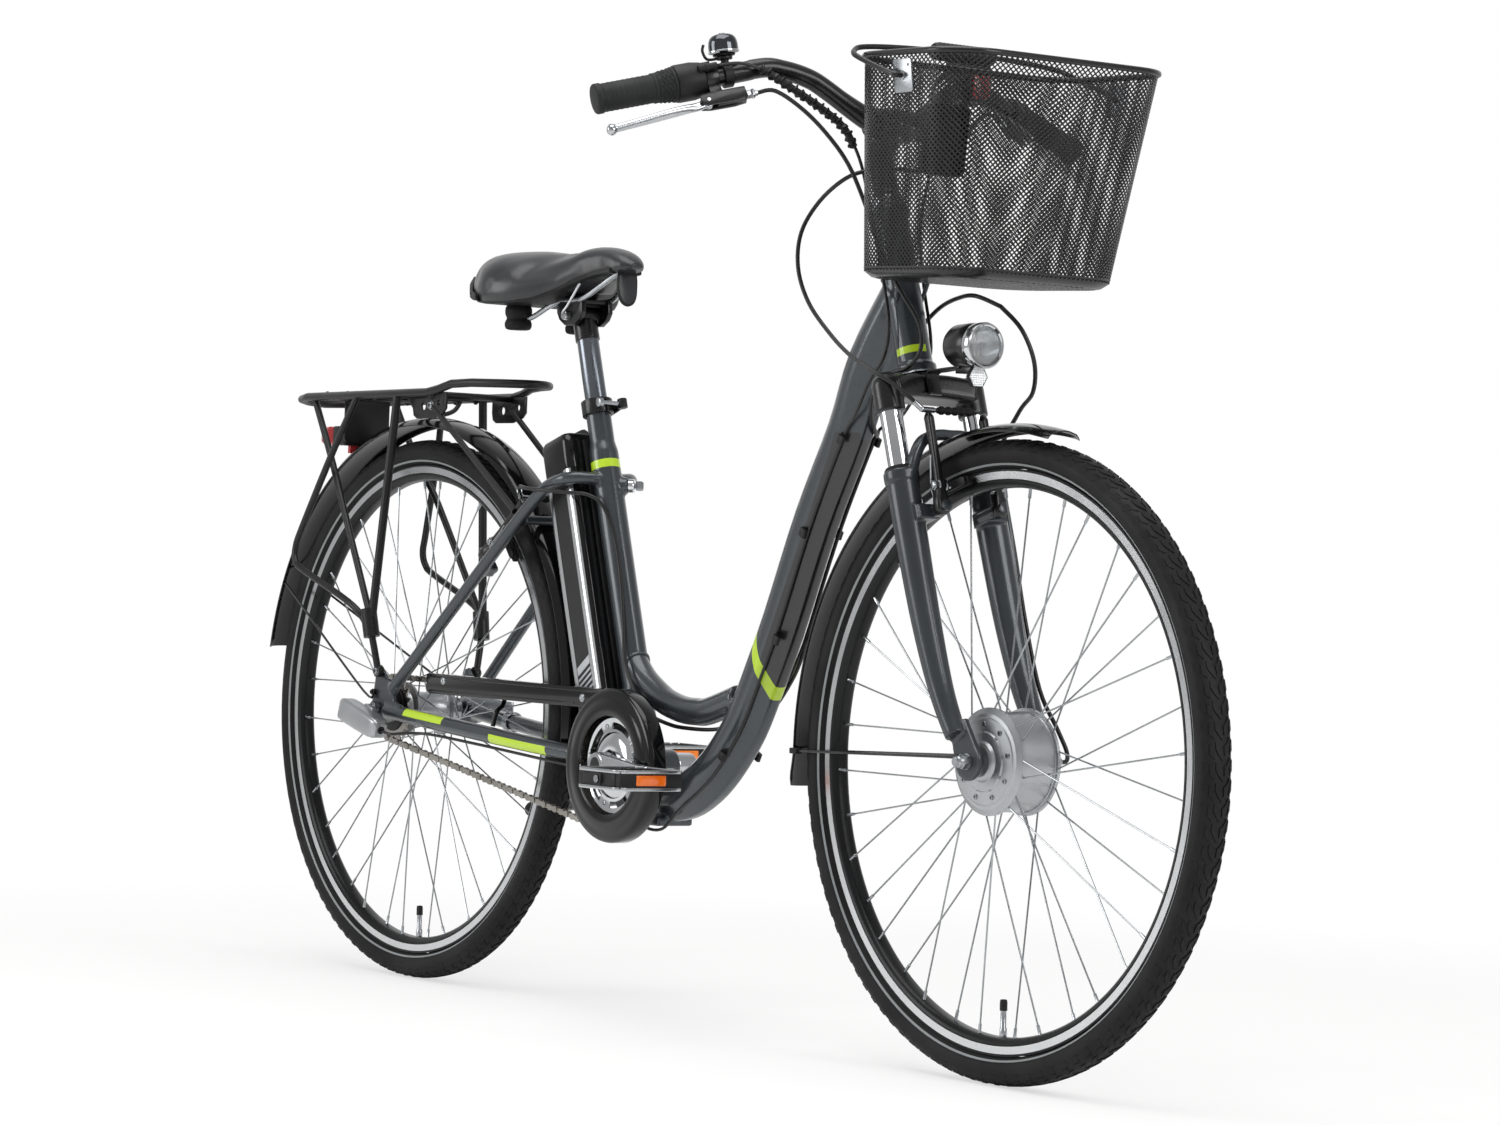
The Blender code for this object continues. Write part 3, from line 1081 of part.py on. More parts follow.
def build_kickstand():
    foot = STAND_PIVOT + STAND_FOLDED
    head = rod(STAND_PIVOT - STAND_AXIS * (0.0180 - GAP), STAND_PIVOT + STAND_AXIS * 0.0060, 0.0120, 14)
    pin = rod(STAND_PIVOT - STAND_AXIS * 0.0290, STAND_PIVOT, STAND_PIN_RADIUS, 10)
    leg = tube([STAND_PIVOT, STAND_PIVOT + STAND_FOLDED * 0.12, foot], [0.0095, 0.0075, 0.0070], 10)
    direction = STAND_FOLDED.normalized()
    cap = turned([(-0.020, 0.0080), (-0.017, 0.0100), (0.002, 0.0100), (0.006, 0.0075)], foot, direction, 10)
    part("kickstand", union(head, pin, leg, cap), BLACK_METAL, STAND_PIVOT)


build_chain()
toothed_disc("chainring", BRACKET, CHAINRING_PITCH, SPINDLE_RADIUS + GAP, 24, STEEL)
toothed_disc("sprocket", REAR_AXLE, SPROCKET_PITCH, 0.0158, 16, STEEL)
right_pedal_eye, left_pedal_eye = build_cranks()
build_pedal("right_pedal", -1, right_pedal_eye)
build_pedal("left_pedal", 1, left_pedal_eye)
build_chainguard()
build_rear_axle()
build_kickstand()


# Rear fender, rack and light
RACK_RAIL_RADIUS = 0.0055
RACK_WIRE_RADIUS = 0.0045
RACK_TOP = Z * RACK_HEIGHT


def build_rear_fender():
    body = fender(REAR_AXLE, -7.0, REAR_FENDER_END, 20, (0.0270, 0.366), REAR_FENDER_RADIUS)
    start_direction = math.radians(155.0)
    for y in (1, -1):
        eye_low = REAR_HALF_SPACE + DROPOUT_THICKNESS + GAP
        start = REAR_AXLE + (X * math.cos(start_direction) + Z * math.sin(start_direction)) * 0.3695
        end = REAR_AXLE + Vector((-0.0090, (eye_low + 0.0018) * y, 0.020))
        body = union(body, *stay_wire(start + Y * (0.0233 * y), end, y, eye_low))
    part("rear_fender", body, BLACK_GLOSS, REAR_AXLE)


def on_rack(x, y, rise):
    """A point given from the height of the rack's carrying rails."""
    return at(x, y, 0.0) + RACK_TOP + Z * rise


def rack_leg(points, y, radius):
    return tube([at(x, across * y, z) for x, across, z in points], radius, 6)


def build_rear_rack():
    half = [(-0.283, 0.0, -0.0054), (-0.272, 0.032, -0.0040), (-0.250, 0.055, -0.0022), (-0.217, 0.065, 0.0),
            (0.085, 0.065, 0.0035), (0.110, 0.0635, 0.0075), (0.135, 0.060, 0.0140), (0.170, 0.052, 0.0155),
            (0.215, 0.035, 0.0150), (0.236, 0.015, 0.0150)]
    loop = [on_rack(x, y, rise) for x, y, rise in half] + [on_rack(0.241, 0.0, 0.0150)]
    loop += [Vector((p.x, -p.y, p.z)) for p in reversed(loop[1:-1])]
    body = tube(loop, RACK_RAIL_RADIUS, 6, closed=True)
    for x in (-0.172, -0.120, -0.050, 0.000, 0.090):
        body = union(body, rod(on_rack(x, -0.065, 0.001), on_rack(x, 0.065, 0.001), RACK_WIRE_RADIUS, 5))
    hoop_path = [(0.040, 0.001), (0.030, -0.014), (0.012, -0.0208), (-0.012, -0.0208), (-0.030, -0.014),
                 (-0.040, 0.001)]
    hoop = tube([on_rack(0, y, rise) for y, rise in hoop_path], 0.0030, 5)
    lamp_plate = block(at(-0.1720, 0.0, 0.7240), (0.003, 0.068, 0.062))
    body = union(body, hoop, lamp_plate)
    side_outline = [(0.045, 0.7525), (0.125, 0.7560), (0.125, 0.7350), (0.095, 0.722), (0.055, 0.722),
                    (0.045, 0.735)]
    for y in (1, -1):
        low = 0.0585 if y > 0 else -0.0615
        side = plate(side_outline, low, low + 0.0030, origin=at(0, 0, 0))
        stay = rack_leg([(0.090, 0.0600, 0.7390), (0.288, 0.0560, 0.6065)], y, 0.0040)
        front_leg = rack_leg([(0.012, 0.065, 0.752), (0.001, 0.085, 0.450)], y, RACK_RAIL_RADIUS)
        guard = rack_leg([(-0.088, 0.065, 0.753), (-0.120, 0.080, 0.680), (-0.166, 0.095, 0.580),
                          (-0.177, 0.098, 0.552), (-0.172, 0.100, 0.534), (-0.150, 0.100, 0.522),
                          (-0.040, 0.096, 0.484), (-0.012, 0.088, 0.462), (0.001, 0.084, 0.440)], y,
                         RACK_WIRE_RADIUS)
        middle_leg = rack_leg([(-0.205, 0.062, 0.752), (-0.150, 0.066, 0.674), (-0.1045, 0.074, 0.617),
                               (0.001, 0.085, 0.462)], y, RACK_WIRE_RADIUS)
        foot = rack_leg([(0.0, 0.085, 0.452), (0.0035, 0.0800, 0.425), (0.0060, 0.0750, 0.398)], y, 0.0045)
        eye = rod(at(0.006, 0.0698 * y, 0.3965), at(0.006, 0.0775 * y, 0.3965), 0.0080, 10)
        sleeve = rack_leg([(-0.006, 0.0855, 0.476), (0.002, 0.0835, 0.440)], y, 0.0110)
        body = union(body, side, stay, front_leg, guard, middle_leg, sleeve, foot, eye)
    part("rear_rack", body, BLACK_METAL)


def build_rear_light():
    front = -0.1735 - GAP
    path = [at(front, 0, 0.7025), at(-0.232, 0, 0.7025), at(-0.241, 0, 0.7025), at(-0.245, 0, 0.7025)]
    outlines = [rounded(w, h, c, 2) for w, h, c in ((0.032, 0.0125, 0.004), (0.032, 0.0125, 0.006),
                                                    (0.029, 0.0100, 0.006), (0.022, 0.0060, 0.004))]
    reflector = block(at(-0.190, 0.0, 0.6870), (0.008, 0.030, 0.016))
    part("rear_light", union(section_tube(path, outlines), reflector), RED)


build_rear_fender()
build_rear_rack()
build_rear_light()


# Battery on its rail behind the seat tube, and the lock at the seat tube's side
RAIL_BACK = SEAT_TUBE_RADIUS + GAP
BATTERY_CORNER = 0.010


def build_battery():
    rail_middle = (BATTERY_LOW + BATTERY_HIGH) / 2.0 - 0.006
    rail_length = BATTERY_HIGH - BATTERY_LOW - 0.010
    rail = block(seat(rail_middle, RAIL_BACK + DOCK_THICKNESS / 2.0), (DOCK_THICKNESS, 0.030, rail_length),
                 SEAT_BACK, Y, SEAT_UP)
    tray = block(seat(BATTERY_LOW - 0.0048, RAIL_BACK + 0.034), (0.068, 0.072, 0.009), SEAT_BACK, Y, SEAT_UP)
    part("battery_dock", union(rail, tray), BLACK_PLASTIC)
    back = RAIL_BACK + DOCK_THICKNESS + GAP + BATTERY_DEPTH / 2.0
    half_depth = BATTERY_DEPTH / 2.0
    half_width = BATTERY_WIDTH / 2.0
    low = rounded(half_depth - 0.004, half_width - 0.004, BATTERY_CORNER, 2)
    full = rounded(half_depth, half_width, BATTERY_CORNER, 2)
    rings = []
    for up, outline in ((BATTERY_LOW, low), (BATTERY_LOW + 0.006, full), (BATTERY_HIGH - 0.008, full),
                        (BATTERY_HIGH, low)):
        rings.append([seat(up, back + u, v) for u, v in outline])
    part("battery", skin(rings), BLACK_METAL, seat(BATTERY_LOW, back))


def build_battery_lock():
    turn = Vector((-LOCK_AXIS.y, LOCK_AXIS.x, 0.0))
    barrel = rod(LOCK_ORIGIN + LOCK_AXIS * GAP, LOCK_ORIGIN + LOCK_AXIS * 0.008, 0.0085, 14)
    wing = block(LOCK_ORIGIN + LOCK_AXIS * 0.013, (0.0025, 0.012, 0.012), turn, Z, LOCK_AXIS)
    part("battery_lock", union(barrel, wing), STEEL, LOCK_ORIGIN)


build_battery()
build_battery_lock()


# Seat: clamp with its lever, seatpost, and the saddle with its rails and springs
CLAMP_UP = SEAT_TUBE_TOP - 0.0085
SKEWER_BACK = -0.0225
SKEWER_END = 0.0160
SADDLE_PIVOT = seat(POST_TOP + 0.008)
SADDLE_LEVER_PIVOT = SADDLE_PIVOT - Y * 0.0233


def build_seat_clamp():
    band = collar(seat(CLAMP_UP), SEAT_UP, -0.0095, 0.0095, SEAT_SLEEVE_RADIUS + GAP,
                  SEAT_SLEEVE_RADIUS + 0.0040, 16)
    ears = block(seat(CLAMP_UP, -0.0215), (0.012, 0.016, 0.014), SEAT_BACK, Y, SEAT_UP)
    slit = block(seat(CLAMP_UP, -0.0230), (0.018, 0.0024, 0.030), SEAT_BACK, Y, SEAT_UP)
    skewer = rod(seat(CLAMP_UP, SKEWER_BACK, -0.0120), seat(CLAMP_UP, SKEWER_BACK, SKEWER_END), 0.0025, 8)
    nut = rod(seat(CLAMP_UP, SKEWER_BACK, -0.0140), seat(CLAMP_UP, SKEWER_BACK, -0.0078), 0.0055, 10)
    part("seat_clamp", union(cut(union(band, ears), slit), skewer, nut), BLACK_METAL)
    head_middle = seat(CLAMP_UP, SKEWER_BACK, SKEWER_END + GAP + 0.0060)
    head = rod(head_middle - SEAT_UP * 0.006, head_middle + SEAT_UP * 0.006, 0.0060, 12)
    path = [head_middle, seat(CLAMP_UP, -0.012, 0.0236), seat(CLAMP_UP, 0.004, 0.0240),
            seat(CLAMP_UP - 0.001, 0.0195, 0.0236)]
    blade = section_tube(path, [rounded(0.0020, h, 0.0015, 1) for h in (0.0050, 0.0055, 0.0060, 0.0050)],
                         hint=SEAT_UP)
    part("clamp_lever", union(head, blade), BLACK_METAL, head_middle)


def build_seatpost():
    post = turned([(0.325, POST_RADIUS), (POST_TOP - 0.022, POST_RADIUS)], BRACKET, SEAT_UP, 16)
    sleeve = turned([(POST_TOP - 0.024, POST_RADIUS + 0.0016), (POST_TOP, POST_RADIUS + 0.0016)],
                    BRACKET, SEAT_UP, 16)
    head = rod(SADDLE_PIVOT - Y * 0.0160, SADDLE_PIVOT + Y * 0.0160, 0.0120, 16)
    bore = rod(SADDLE_PIVOT - Y * 0.03, SADDLE_PIVOT + Y * 0.03, 0.0040 / math.cos(math.pi / 10) + GAP, 10)
    part("seatpost", cut(union(post, sleeve, head), bore), SILVER, seat(POST_TOP))


def on_post(ahead, y, up):
    """A point of the saddle, given from the top of the post."""
    return seat(POST_TOP) + Vector((ahead, y, up))


def saddle_outline(width, top, edge):
    """Half round above, with a skirt and a hollow underside; pairs are across and up."""
    rise = top - edge
    hollow = edge + min(0.012, 0.35 * rise)
    side = [(0.78, hollow), (0.88, edge), (0.97, edge + 0.03 * rise), (1.0, edge + 0.30 * rise),
            (0.93, edge + 0.62 * rise), (0.72, edge + 0.86 * rise), (0.38, edge + 0.975 * rise)]
    right = [(width * share, up) for share, up in side]
    return right + [(0.0, top)] + [(-u, v) for u, v in reversed(right)]


def build_saddle():
    stations = [(-0.196, 0.026, 0.064, 0.047), (-0.180, 0.050, 0.077, 0.038),
                (-0.160, 0.066, 0.0855, 0.031),
                (-0.130, 0.086, 0.092, 0.025), (-0.095, 0.097, 0.091, 0.022), (-0.060, 0.090, 0.087, 0.022),
                (-0.030, 0.073, 0.084, 0.025), (0.000, 0.054, 0.086, 0.036), (0.030, 0.041, 0.093, 0.048),
                (0.060, 0.032, 0.0935, 0.056), (0.085, 0.026, 0.087, 0.060), (0.107, 0.018, 0.074, 0.061),
                (0.115, 0.009, 0.067, 0.0625)]
    run = smooth([Vector((a, w, t)) for a, w, t, _ in stations], 2)
    edges = smooth([Vector((e, 0.0, 0.0)) for _, _, _, e in stations], 2)
    rings = []
    for (ahead, width, top), edge in zip(run, edges):
        rings.append([on_post(ahead, u, v) for u, v in saddle_outline(width, top, edge.x)])
    part("saddle", skin(rings), SADDLE_BLACK)


def build_saddle_clamp():
    body = rod(SADDLE_PIVOT - Y * 0.0230, SADDLE_PIVOT + Y * 0.0230, 0.0040, 10)
    top_plate = block(on_post(-0.002, 0.0, 0.0252), (0.050, 0.046, 0.0050))
    cheek_outline = [(-0.030, 0.012), (-0.012, -0.004), (0.008, -0.004), (0.026, 0.012), (0.023, 0.0277),
                     (-0.027, 0.0277)]
    body = union(body, top_plate)
    for y in (1, -1):
        low = 0.0163 if y > 0 else -0.0230
        cheek = plate(cheek_outline, low, low + 0.0067, origin=on_post(0, 0, 0))
        rail = tube([on_post(a, b * y, c) for a, b, c in (
            (-0.083, 0.045, 0.002), (-0.066, 0.036, 0.006), (-0.048, 0.026, 0.018), (-0.028, 0.022, 0.0255),
            (0.022, 0.022, 0.0275), (0.052, 0.017, 0.041), (0.084, 0.009, 0.0600))], 0.0034, 5)
        spring = turned([(-0.010, 0.0170), (0.002, 0.0170), (0.005, 0.0150), (0.008, 0.0150),
                         (0.011, 0.0170), (0.0335, 0.0170)], on_post(-0.083, 0.045 * y, 0), Z, 12)
        body = union(body, cheek, rail, spring)
    nose_bar = rod(on_post(0.0835, -0.010, 0.0600), on_post(0.0835, 0.010, 0.0600), 0.0034, 8)
    flap_outline = [(-0.0125, 0.058), (0.0125, 0.058), (0.0145, 0.036), (0.0110, 0.022), (0.0040, 0.0160),
                    (-0.0040, 0.0160), (-0.0110, 0.022), (-0.0145, 0.036)]
    flap_out = Vector((0.99, 0.0, 0.12)).normalized()
    flap_up = Vector((-0.12, 0.0, 0.99)).normalized()
    flap = plate(flap_outline, 0.0, 0.003, Y, flap_up, flap_out, on_post(0.0925, 0, 0.0025))
    part("saddle_clamp", union(body, nose_bar, flap), BLACK_METAL)


def build_saddle_lever():
    head = rod(SADDLE_LEVER_PIVOT, SADDLE_LEVER_PIVOT - Y * 0.0080, 0.0060, 12)
    start = SADDLE_LEVER_PIVOT - Y * 0.0100
    bar = tube([start + Y * 0.004, start - Y * 0.0015 + Vector((0.004, 0, 0.0035)),
                start + Vector((0.012, 0.0, 0.012)), start + Vector((0.031, 0.0045, 0.0390))], 0.0018, 6)
    part("saddle_lever", union(head, bar), SILVER, SADDLE_LEVER_PIVOT)


build_seat_clamp()
build_seatpost()
build_saddle()
build_saddle_clamp()
build_saddle_lever()


# Cables, each along its own hand-chosen route
BRAKE_CABLE_RADIUS = 0.0024
THIN_CABLE_RADIUS = 0.0019
MOTOR_CABLE_RADIUS = 0.0025
CABLE_START = lever_point(-0.0160 - GAP, LEVER_DEPTH, 1)
ARM_TOP = 0.1095 + BRAKE_CABLE_RADIUS + GAP
ARM_MIDDLE = GAP + ARM_THICKNESS / 2.0


def route(points):
    return [at(*point) for point in points]


def build_rear_brake_cable():
    points = [mirrored(CABLE_START, -1)]
    points += route([(0.9385, -0.1520, 1.0770), (0.9510, -0.1250, 1.0600), (0.9720, -0.1050, 1.0330),
                     (0.9900, -0.0850, 0.9980), (1.0034, -0.0680, 0.9510), (1.0150, -0.0560, 0.9050),
                     (1.0350, -0.0400, 0.8600), (1.0500, -0.0250, 0.8255), (1.0520, -0.0220, 0.7970),
                     (1.0400, -0.0290, 0.7765), (1.0150, -0.0330, 0.7700), (0.9850, -0.0320, 0.7560),
                     (0.9600, -0.0180, 0.7280), (0.9420, 0.0020, 0.7080), (0.9320, 0.0130, 0.7020),
                     (0.9162, 0.0219, 0.6990), (0.8600, 0.0219, 0.5996), (0.8057, 0.0222, 0.4819),
                     (0.7830, 0.0270, 0.4400), (0.7560, 0.0300, 0.4090), (0.7270, 0.0300, 0.3820),
                     (0.7000, 0.0255, 0.3680), (0.6760, 0.0150, 0.3620), (0.6450, 0.0060, 0.3550),
                     (0.6036, 0.0000, 0.3540), (0.5700, -0.0060, 0.3570), (0.5380, -0.0190, 0.3700),
                     (0.5180, -0.0225, 0.3930), (0.4950, -0.0225, 0.4280), (0.4800, -0.0170, 0.4720),
                     (0.4670, -0.0135, 0.5200), (0.4500, -0.0135, 0.5760), (0.4330, -0.0210, 0.6150),
                     (0.4180, -0.0340, 0.6290), (0.3950, -0.0490, 0.6310), (0.3650, -0.0650, 0.6330),
                     (0.3300, -0.0680, 0.6350), (0.3050, -0.0610, 0.6370)])
    across = REAR_AXLE + REAR_RADIAL * (REAR_BRAKE_RADIUS + ARM_TOP)
    across += REAR_BEHIND * (REAR_BOSS_DEPTH + ARM_MIDDLE)
    points += [across + Vector((0.002, -0.0480, 0.0030)), across - Y * 0.0380, across + Y * 0.0300]
    cable("rear_brake_cable", points, BRAKE_CABLE_RADIUS, CABLE_BLACK, 1)


def build_front_brake_cable():
    points = [CABLE_START]
    points += route([(0.9400, 0.1480, 1.0780), (0.9600, 0.1150, 1.0640), (0.9800, 0.0850, 1.0400),
                     (0.9950, 0.0500, 1.0100), (0.9980, 0.0150, 0.9990), (0.9930, -0.0200, 0.9980),
                     (0.9830, -0.0500, 0.9950), (0.9650, -0.0700, 0.9850), (0.9359, -0.0830, 0.9600),
                     (0.9200, -0.0950, 0.9250), (0.9220, -0.0990, 0.8850), (0.9400, -0.0960, 0.8460),
                     (0.9700, -0.0880, 0.8120), (1.0000, -0.0820, 0.7880), (1.0250, -0.0790, 0.7760),
                     (1.0460, -0.0740, 0.7650), (1.0637, -0.0650, 0.7541)])
    across = steer(FRONT_BRAKE_UP + ARM_TOP, FRONT_BOSS_DEPTH + ARM_MIDDLE)
    points += [across + Vector((-0.008, -0.0560, 0.0120)), across + Vector((-0.001, -0.0470, 0.0020)),
               across - Y * 0.0380, across + Y * 0.0300]
    cable("front_brake_cable", points, BRAKE_CABLE_RADIUS, CABLE_BLACK, 2)


def build_gear_cable():
    _, _, axis = lever_axes(-1)
    points = [bar_point(HOUSING[0] - 0.014 - GAP, -1) - axis * 0.0215]
    points += route([(0.9285, -0.1900, 1.1045), (0.9370, -0.1600, 1.0960), (0.9440, -0.1300, 1.0800),
                     (0.9500, -0.1000, 1.0640), (0.9560, -0.0700, 1.0440), (0.9600, -0.0480, 1.0100),
                     (0.9650, -0.0350, 0.9600), (0.9800, -0.0300, 0.9000), (1.0000, -0.0285, 0.8300),
                     (0.9950, -0.0290, 0.7900), (0.9700, -0.0300, 0.7600), (0.9480, -0.0300, 0.7250),
                     (0.9162, -0.0220, 0.6990), (0.8600, -0.0217, 0.5996), (0.8057, -0.0217, 0.4819),
                     (0.7731, -0.0217, 0.4204), (0.7435, -0.0217, 0.3674), (0.7180, -0.0217, 0.3344),
                     (0.6865, -0.0217, 0.3029), (0.6543, -0.0217, 0.2793), (0.6170, -0.0210, 0.2570),
                     (0.5840, -0.0205, 0.2334), (0.5480, -0.0215, 0.2334),
                     (0.5250, -0.0245, 0.2500), (0.4900, -0.0290, 0.2800),
                     (0.4400, -0.0345, 0.2955), (0.3800, -0.0430, 0.3010), (0.3000, -0.0510, 0.3080),
                     (0.2000, -0.0570, 0.3155), (0.1200, -0.0650, 0.3210), (0.0900, -0.0800, 0.3205),
                     (0.0720, -0.0930, 0.3185), (0.0545, -0.0960, 0.3220)])
    cable("gear_cable", points, THIN_CABLE_RADIUS, CABLE_BLACK, 1)


def build_control_cable():
    points = route([(0.9228, 0.1085, 1.1245), (0.9300, 0.0900, 1.1180), (0.9450, 0.0650, 1.1000),
                    (0.9700, 0.0420, 1.0750), (0.9850, 0.0380, 1.0400), (0.9800, 0.0350, 0.9900),
                    (0.9740, 0.0310, 0.9400), (0.9850, 0.0290, 0.8800), (1.0030, 0.0290, 0.8150),
                    (1.0000, 0.0300, 0.7850), (0.9800, 0.0290, 0.7500), (0.9500, 0.0280, 0.7200),
                    (0.9098, 0.0274, 0.7026), (0.8535, 0.0274, 0.6029), (0.7991, 0.0274, 0.4851),
                    (0.7780, 0.0290, 0.4480)])
    points += route([(0.7560, 0.0305, 0.4180), (0.7450, 0.0287, 0.4080)])
    cable("control_cable", points, THIN_CABLE_RADIUS, CABLE_BLACK, 1)


def build_motor_cable():
    points = route([(0.9420, 0.0270, 0.7880), (0.9520, 0.0340, 0.8000), (0.9750, 0.0375, 0.8260),
                    (1.0080, 0.0370, 0.8470), (1.0500, 0.0290, 0.8560), (1.0900, 0.0220, 0.8570),
                    (1.1250, 0.0300, 0.8450), (1.1480, 0.0420, 0.8200), (1.1560, 0.0550, 0.7850),
                    (1.1400, 0.0680, 0.7530), (1.1050, 0.0780, 0.7320)])
    points += [steer(-0.105, 0.020, 0.0810), steer(-0.140, 0.018, 0.0815), steer(-0.220, 0.018, 0.0815),
               steer(-0.300, 0.019, 0.0790), steer(-0.380, 0.025, 0.0775)]
    end = [(-0.0190, 0.0830, 0.0360), (-0.0060, 0.0870, 0.0120), (-0.0005, 0.0830, 0.0015),
           (0.0, 0.0743, 0.0)]
    points += [FRONT_AXLE + Vector(offset) for offset in end]
    cable("motor_cable", points, MOTOR_CABLE_RADIUS, CABLE_BLACK, 2)


build_rear_brake_cable()
build_front_brake_cable()
build_gear_cable()
build_control_cable()
build_motor_cable()
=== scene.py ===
"""The looks of a low entry electric city bike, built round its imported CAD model.

Metres, +X forward, +Y to the bike's left, +Z up. The sections follow the bike as it is put together.
"""
import math

import bmesh
import bpy
from mathutils import Matrix, Vector


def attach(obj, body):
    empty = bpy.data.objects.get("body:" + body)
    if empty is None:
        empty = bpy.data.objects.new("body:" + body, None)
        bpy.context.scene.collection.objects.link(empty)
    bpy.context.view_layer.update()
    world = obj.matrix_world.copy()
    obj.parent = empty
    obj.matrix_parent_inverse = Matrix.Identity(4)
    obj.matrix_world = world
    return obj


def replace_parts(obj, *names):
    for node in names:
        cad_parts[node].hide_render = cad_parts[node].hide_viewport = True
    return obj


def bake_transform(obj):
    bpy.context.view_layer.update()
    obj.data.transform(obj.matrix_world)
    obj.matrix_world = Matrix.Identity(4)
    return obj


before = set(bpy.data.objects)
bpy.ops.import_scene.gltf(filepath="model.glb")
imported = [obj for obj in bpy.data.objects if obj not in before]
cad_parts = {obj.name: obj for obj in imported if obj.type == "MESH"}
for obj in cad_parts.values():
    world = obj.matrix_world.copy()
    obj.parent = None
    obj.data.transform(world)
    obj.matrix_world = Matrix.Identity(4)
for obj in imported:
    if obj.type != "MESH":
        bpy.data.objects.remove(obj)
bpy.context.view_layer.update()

X = Vector((1.0, 0.0, 0.0))
Y = Vector((0.0, 1.0, 0.0))
Z = Vector((0.0, 0.0, 1.0))


# Studio: a white paper floor that runs out of sight, a white surround, three large soft lamps
# and the camera of the photograph, low in front of the bike and to its right. What glossy skins
# mirror is dimmer on the room's open side, from which the photograph was taken.
def tone(text):
    """An sRGB hex colour as linear red, green, blue and alpha."""
    parts = [int(text[k:k + 2], 16) / 255.0 for k in (1, 3, 5)]
    return tuple(v / 12.92 if v <= 0.04045 else ((v + 0.055) / 1.055) ** 2.4 for v in parts) + (1.0,)


def add(tree, kind, inputs=(), **settings):
    """One shader node with its settings and its inputs, each a value or another node's output."""
    item = tree.nodes.new("ShaderNode" + kind)
    for key, value in settings.items():
        setattr(item, key, value)
    for key, value in dict(inputs).items():
        if isinstance(value, bpy.types.NodeSocket):
            tree.links.new(value, item.inputs[key])
        else:
            item.inputs[key].default_value = value
    return item


def placed(name, data):
    """A new object of the scene that shows a mesh, a lamp or a camera."""
    item = bpy.data.objects.new(name, data)
    scene.collection.objects.link(item)
    return item


scene = bpy.context.scene
scene.view_settings.view_transform = "Standard"

surround = bpy.data.worlds.new("surround")
surround.use_nodes = True
tree = surround.node_tree
tree.nodes.clear()
rays = add(tree, "LightPath").outputs
OPEN_SIDE = (0.82, -0.57, 0.0)
seen = add(tree, "Math", {0: rays["Is Camera Ray"], 1: rays["Is Transmission Ray"]}, operation="MAXIMUM")
level = add(tree, "MapRange", {"Value": seen.outputs[0], "To Min": 0.5, "To Max": 1.0})
facing = add(tree, "VectorMath", {0: add(tree, "TexCoord").outputs["Generated"], 1: OPEN_SIDE},
             operation="DOT_PRODUCT").outputs["Value"]
mirror = add(tree, "MapRange",
             {"Value": facing, "From Min": -0.9, "From Max": -0.35, "To Min": 0.5, "To Max": -0.08})
strength = add(tree, "Math", {0: rays["Is Glossy Ray"], 1: mirror.outputs[0], 2: level.outputs[0]},
               operation="MULTIPLY_ADD")
sky = add(tree, "Background", {"Color": (1.0, 1.0, 1.0, 1.0), "Strength": strength.outputs[0]})
add(tree, "OutputWorld", {"Surface": sky.outputs[0]})
scene.world = surround

paper = bpy.data.materials.new("floor_paper")
paper.use_nodes = True
tree = paper.node_tree
tree.nodes.clear()
place = add(tree, "TexCoord").outputs["Object"]
reach = add(tree, "VectorMath", {0: place}, operation="LENGTH").outputs["Value"]
fade = add(tree, "MapRange", {"Value": reach, "From Min": 0.9, "From Max": 2.3, "To Min": 0.62},
           interpolation_type="SMOOTHSTEP")
seen = add(tree, "Math", {0: add(tree, "LightPath").outputs["Is Camera Ray"], 1: fade.outputs[0]},
           operation="MULTIPLY")
matt = add(tree, "BsdfDiffuse", {"Color": tone("#f7f7f6")})
glow = add(tree, "Emission", {"Color": (1.0, 1.0, 1.0, 1.0), "Strength": 1.0})
mix = add(tree, "MixShader", {0: seen.outputs[0], 1: matt.outputs[0], 2: glow.outputs[0]})
add(tree, "OutputMaterial", {"Surface": mix.outputs[0]})

sheet = bpy.data.meshes.new("floor")
sheet.from_pydata([(-30, -30, 0), (30, -30, 0), (30, 30, 0), (-30, 30, 0)], [], [(0, 1, 2, 3)])
sheet.materials.append(paper)
placed("floor", sheet)


def lamp(name, place, target, size, power):
    """A square soft lamp that faces a point."""
    data = bpy.data.lights.new(name, "AREA")
    data.size = size
    data.energy = power
    item = placed(name, data)
    item.location = place
    item.rotation_euler = (Vector(target) - Vector(place)).to_track_quat("-Z", "Y").to_euler()


lamp("lamp_over", (0.3, -0.6, 3.4), (0, 0, 0.4), 2.6, 62)
lamp("lamp_front", (3.6, 0.6, 2.0), (0, 0, 0.6), 1.8, 48)
lamp("lamp_side", (-1.6, -3.4, 1.6), (0, 0, 0.5), 1.8, 42)

CAMERA_PLACE = Vector((4.36, -3.0425, 0.5489))
CAMERA_AZIMUTH = math.radians(54.319)
CAMERA_TILT = math.radians(0.0545)
CAMERA_ROLL = math.radians(2.189)
CAMERA_LENS = 107.1
look = Vector((-math.sin(CAMERA_AZIMUTH) * math.cos(CAMERA_TILT),
               math.cos(CAMERA_AZIMUTH) * math.cos(CAMERA_TILT), math.sin(CAMERA_TILT)))
level = look.cross(Z).normalized()
top = level.cross(look)
right = level * math.cos(CAMERA_ROLL) + top * math.sin(CAMERA_ROLL)
up = right.cross(look)
camera_data = bpy.data.cameras.new("camera")
camera_data.sensor_width = 36.0
camera_data.lens = CAMERA_LENS
camera_data.clip_end = 100.0
scene.camera = placed("camera", camera_data)
camera_turn = Matrix((right, up, -look)).transposed()
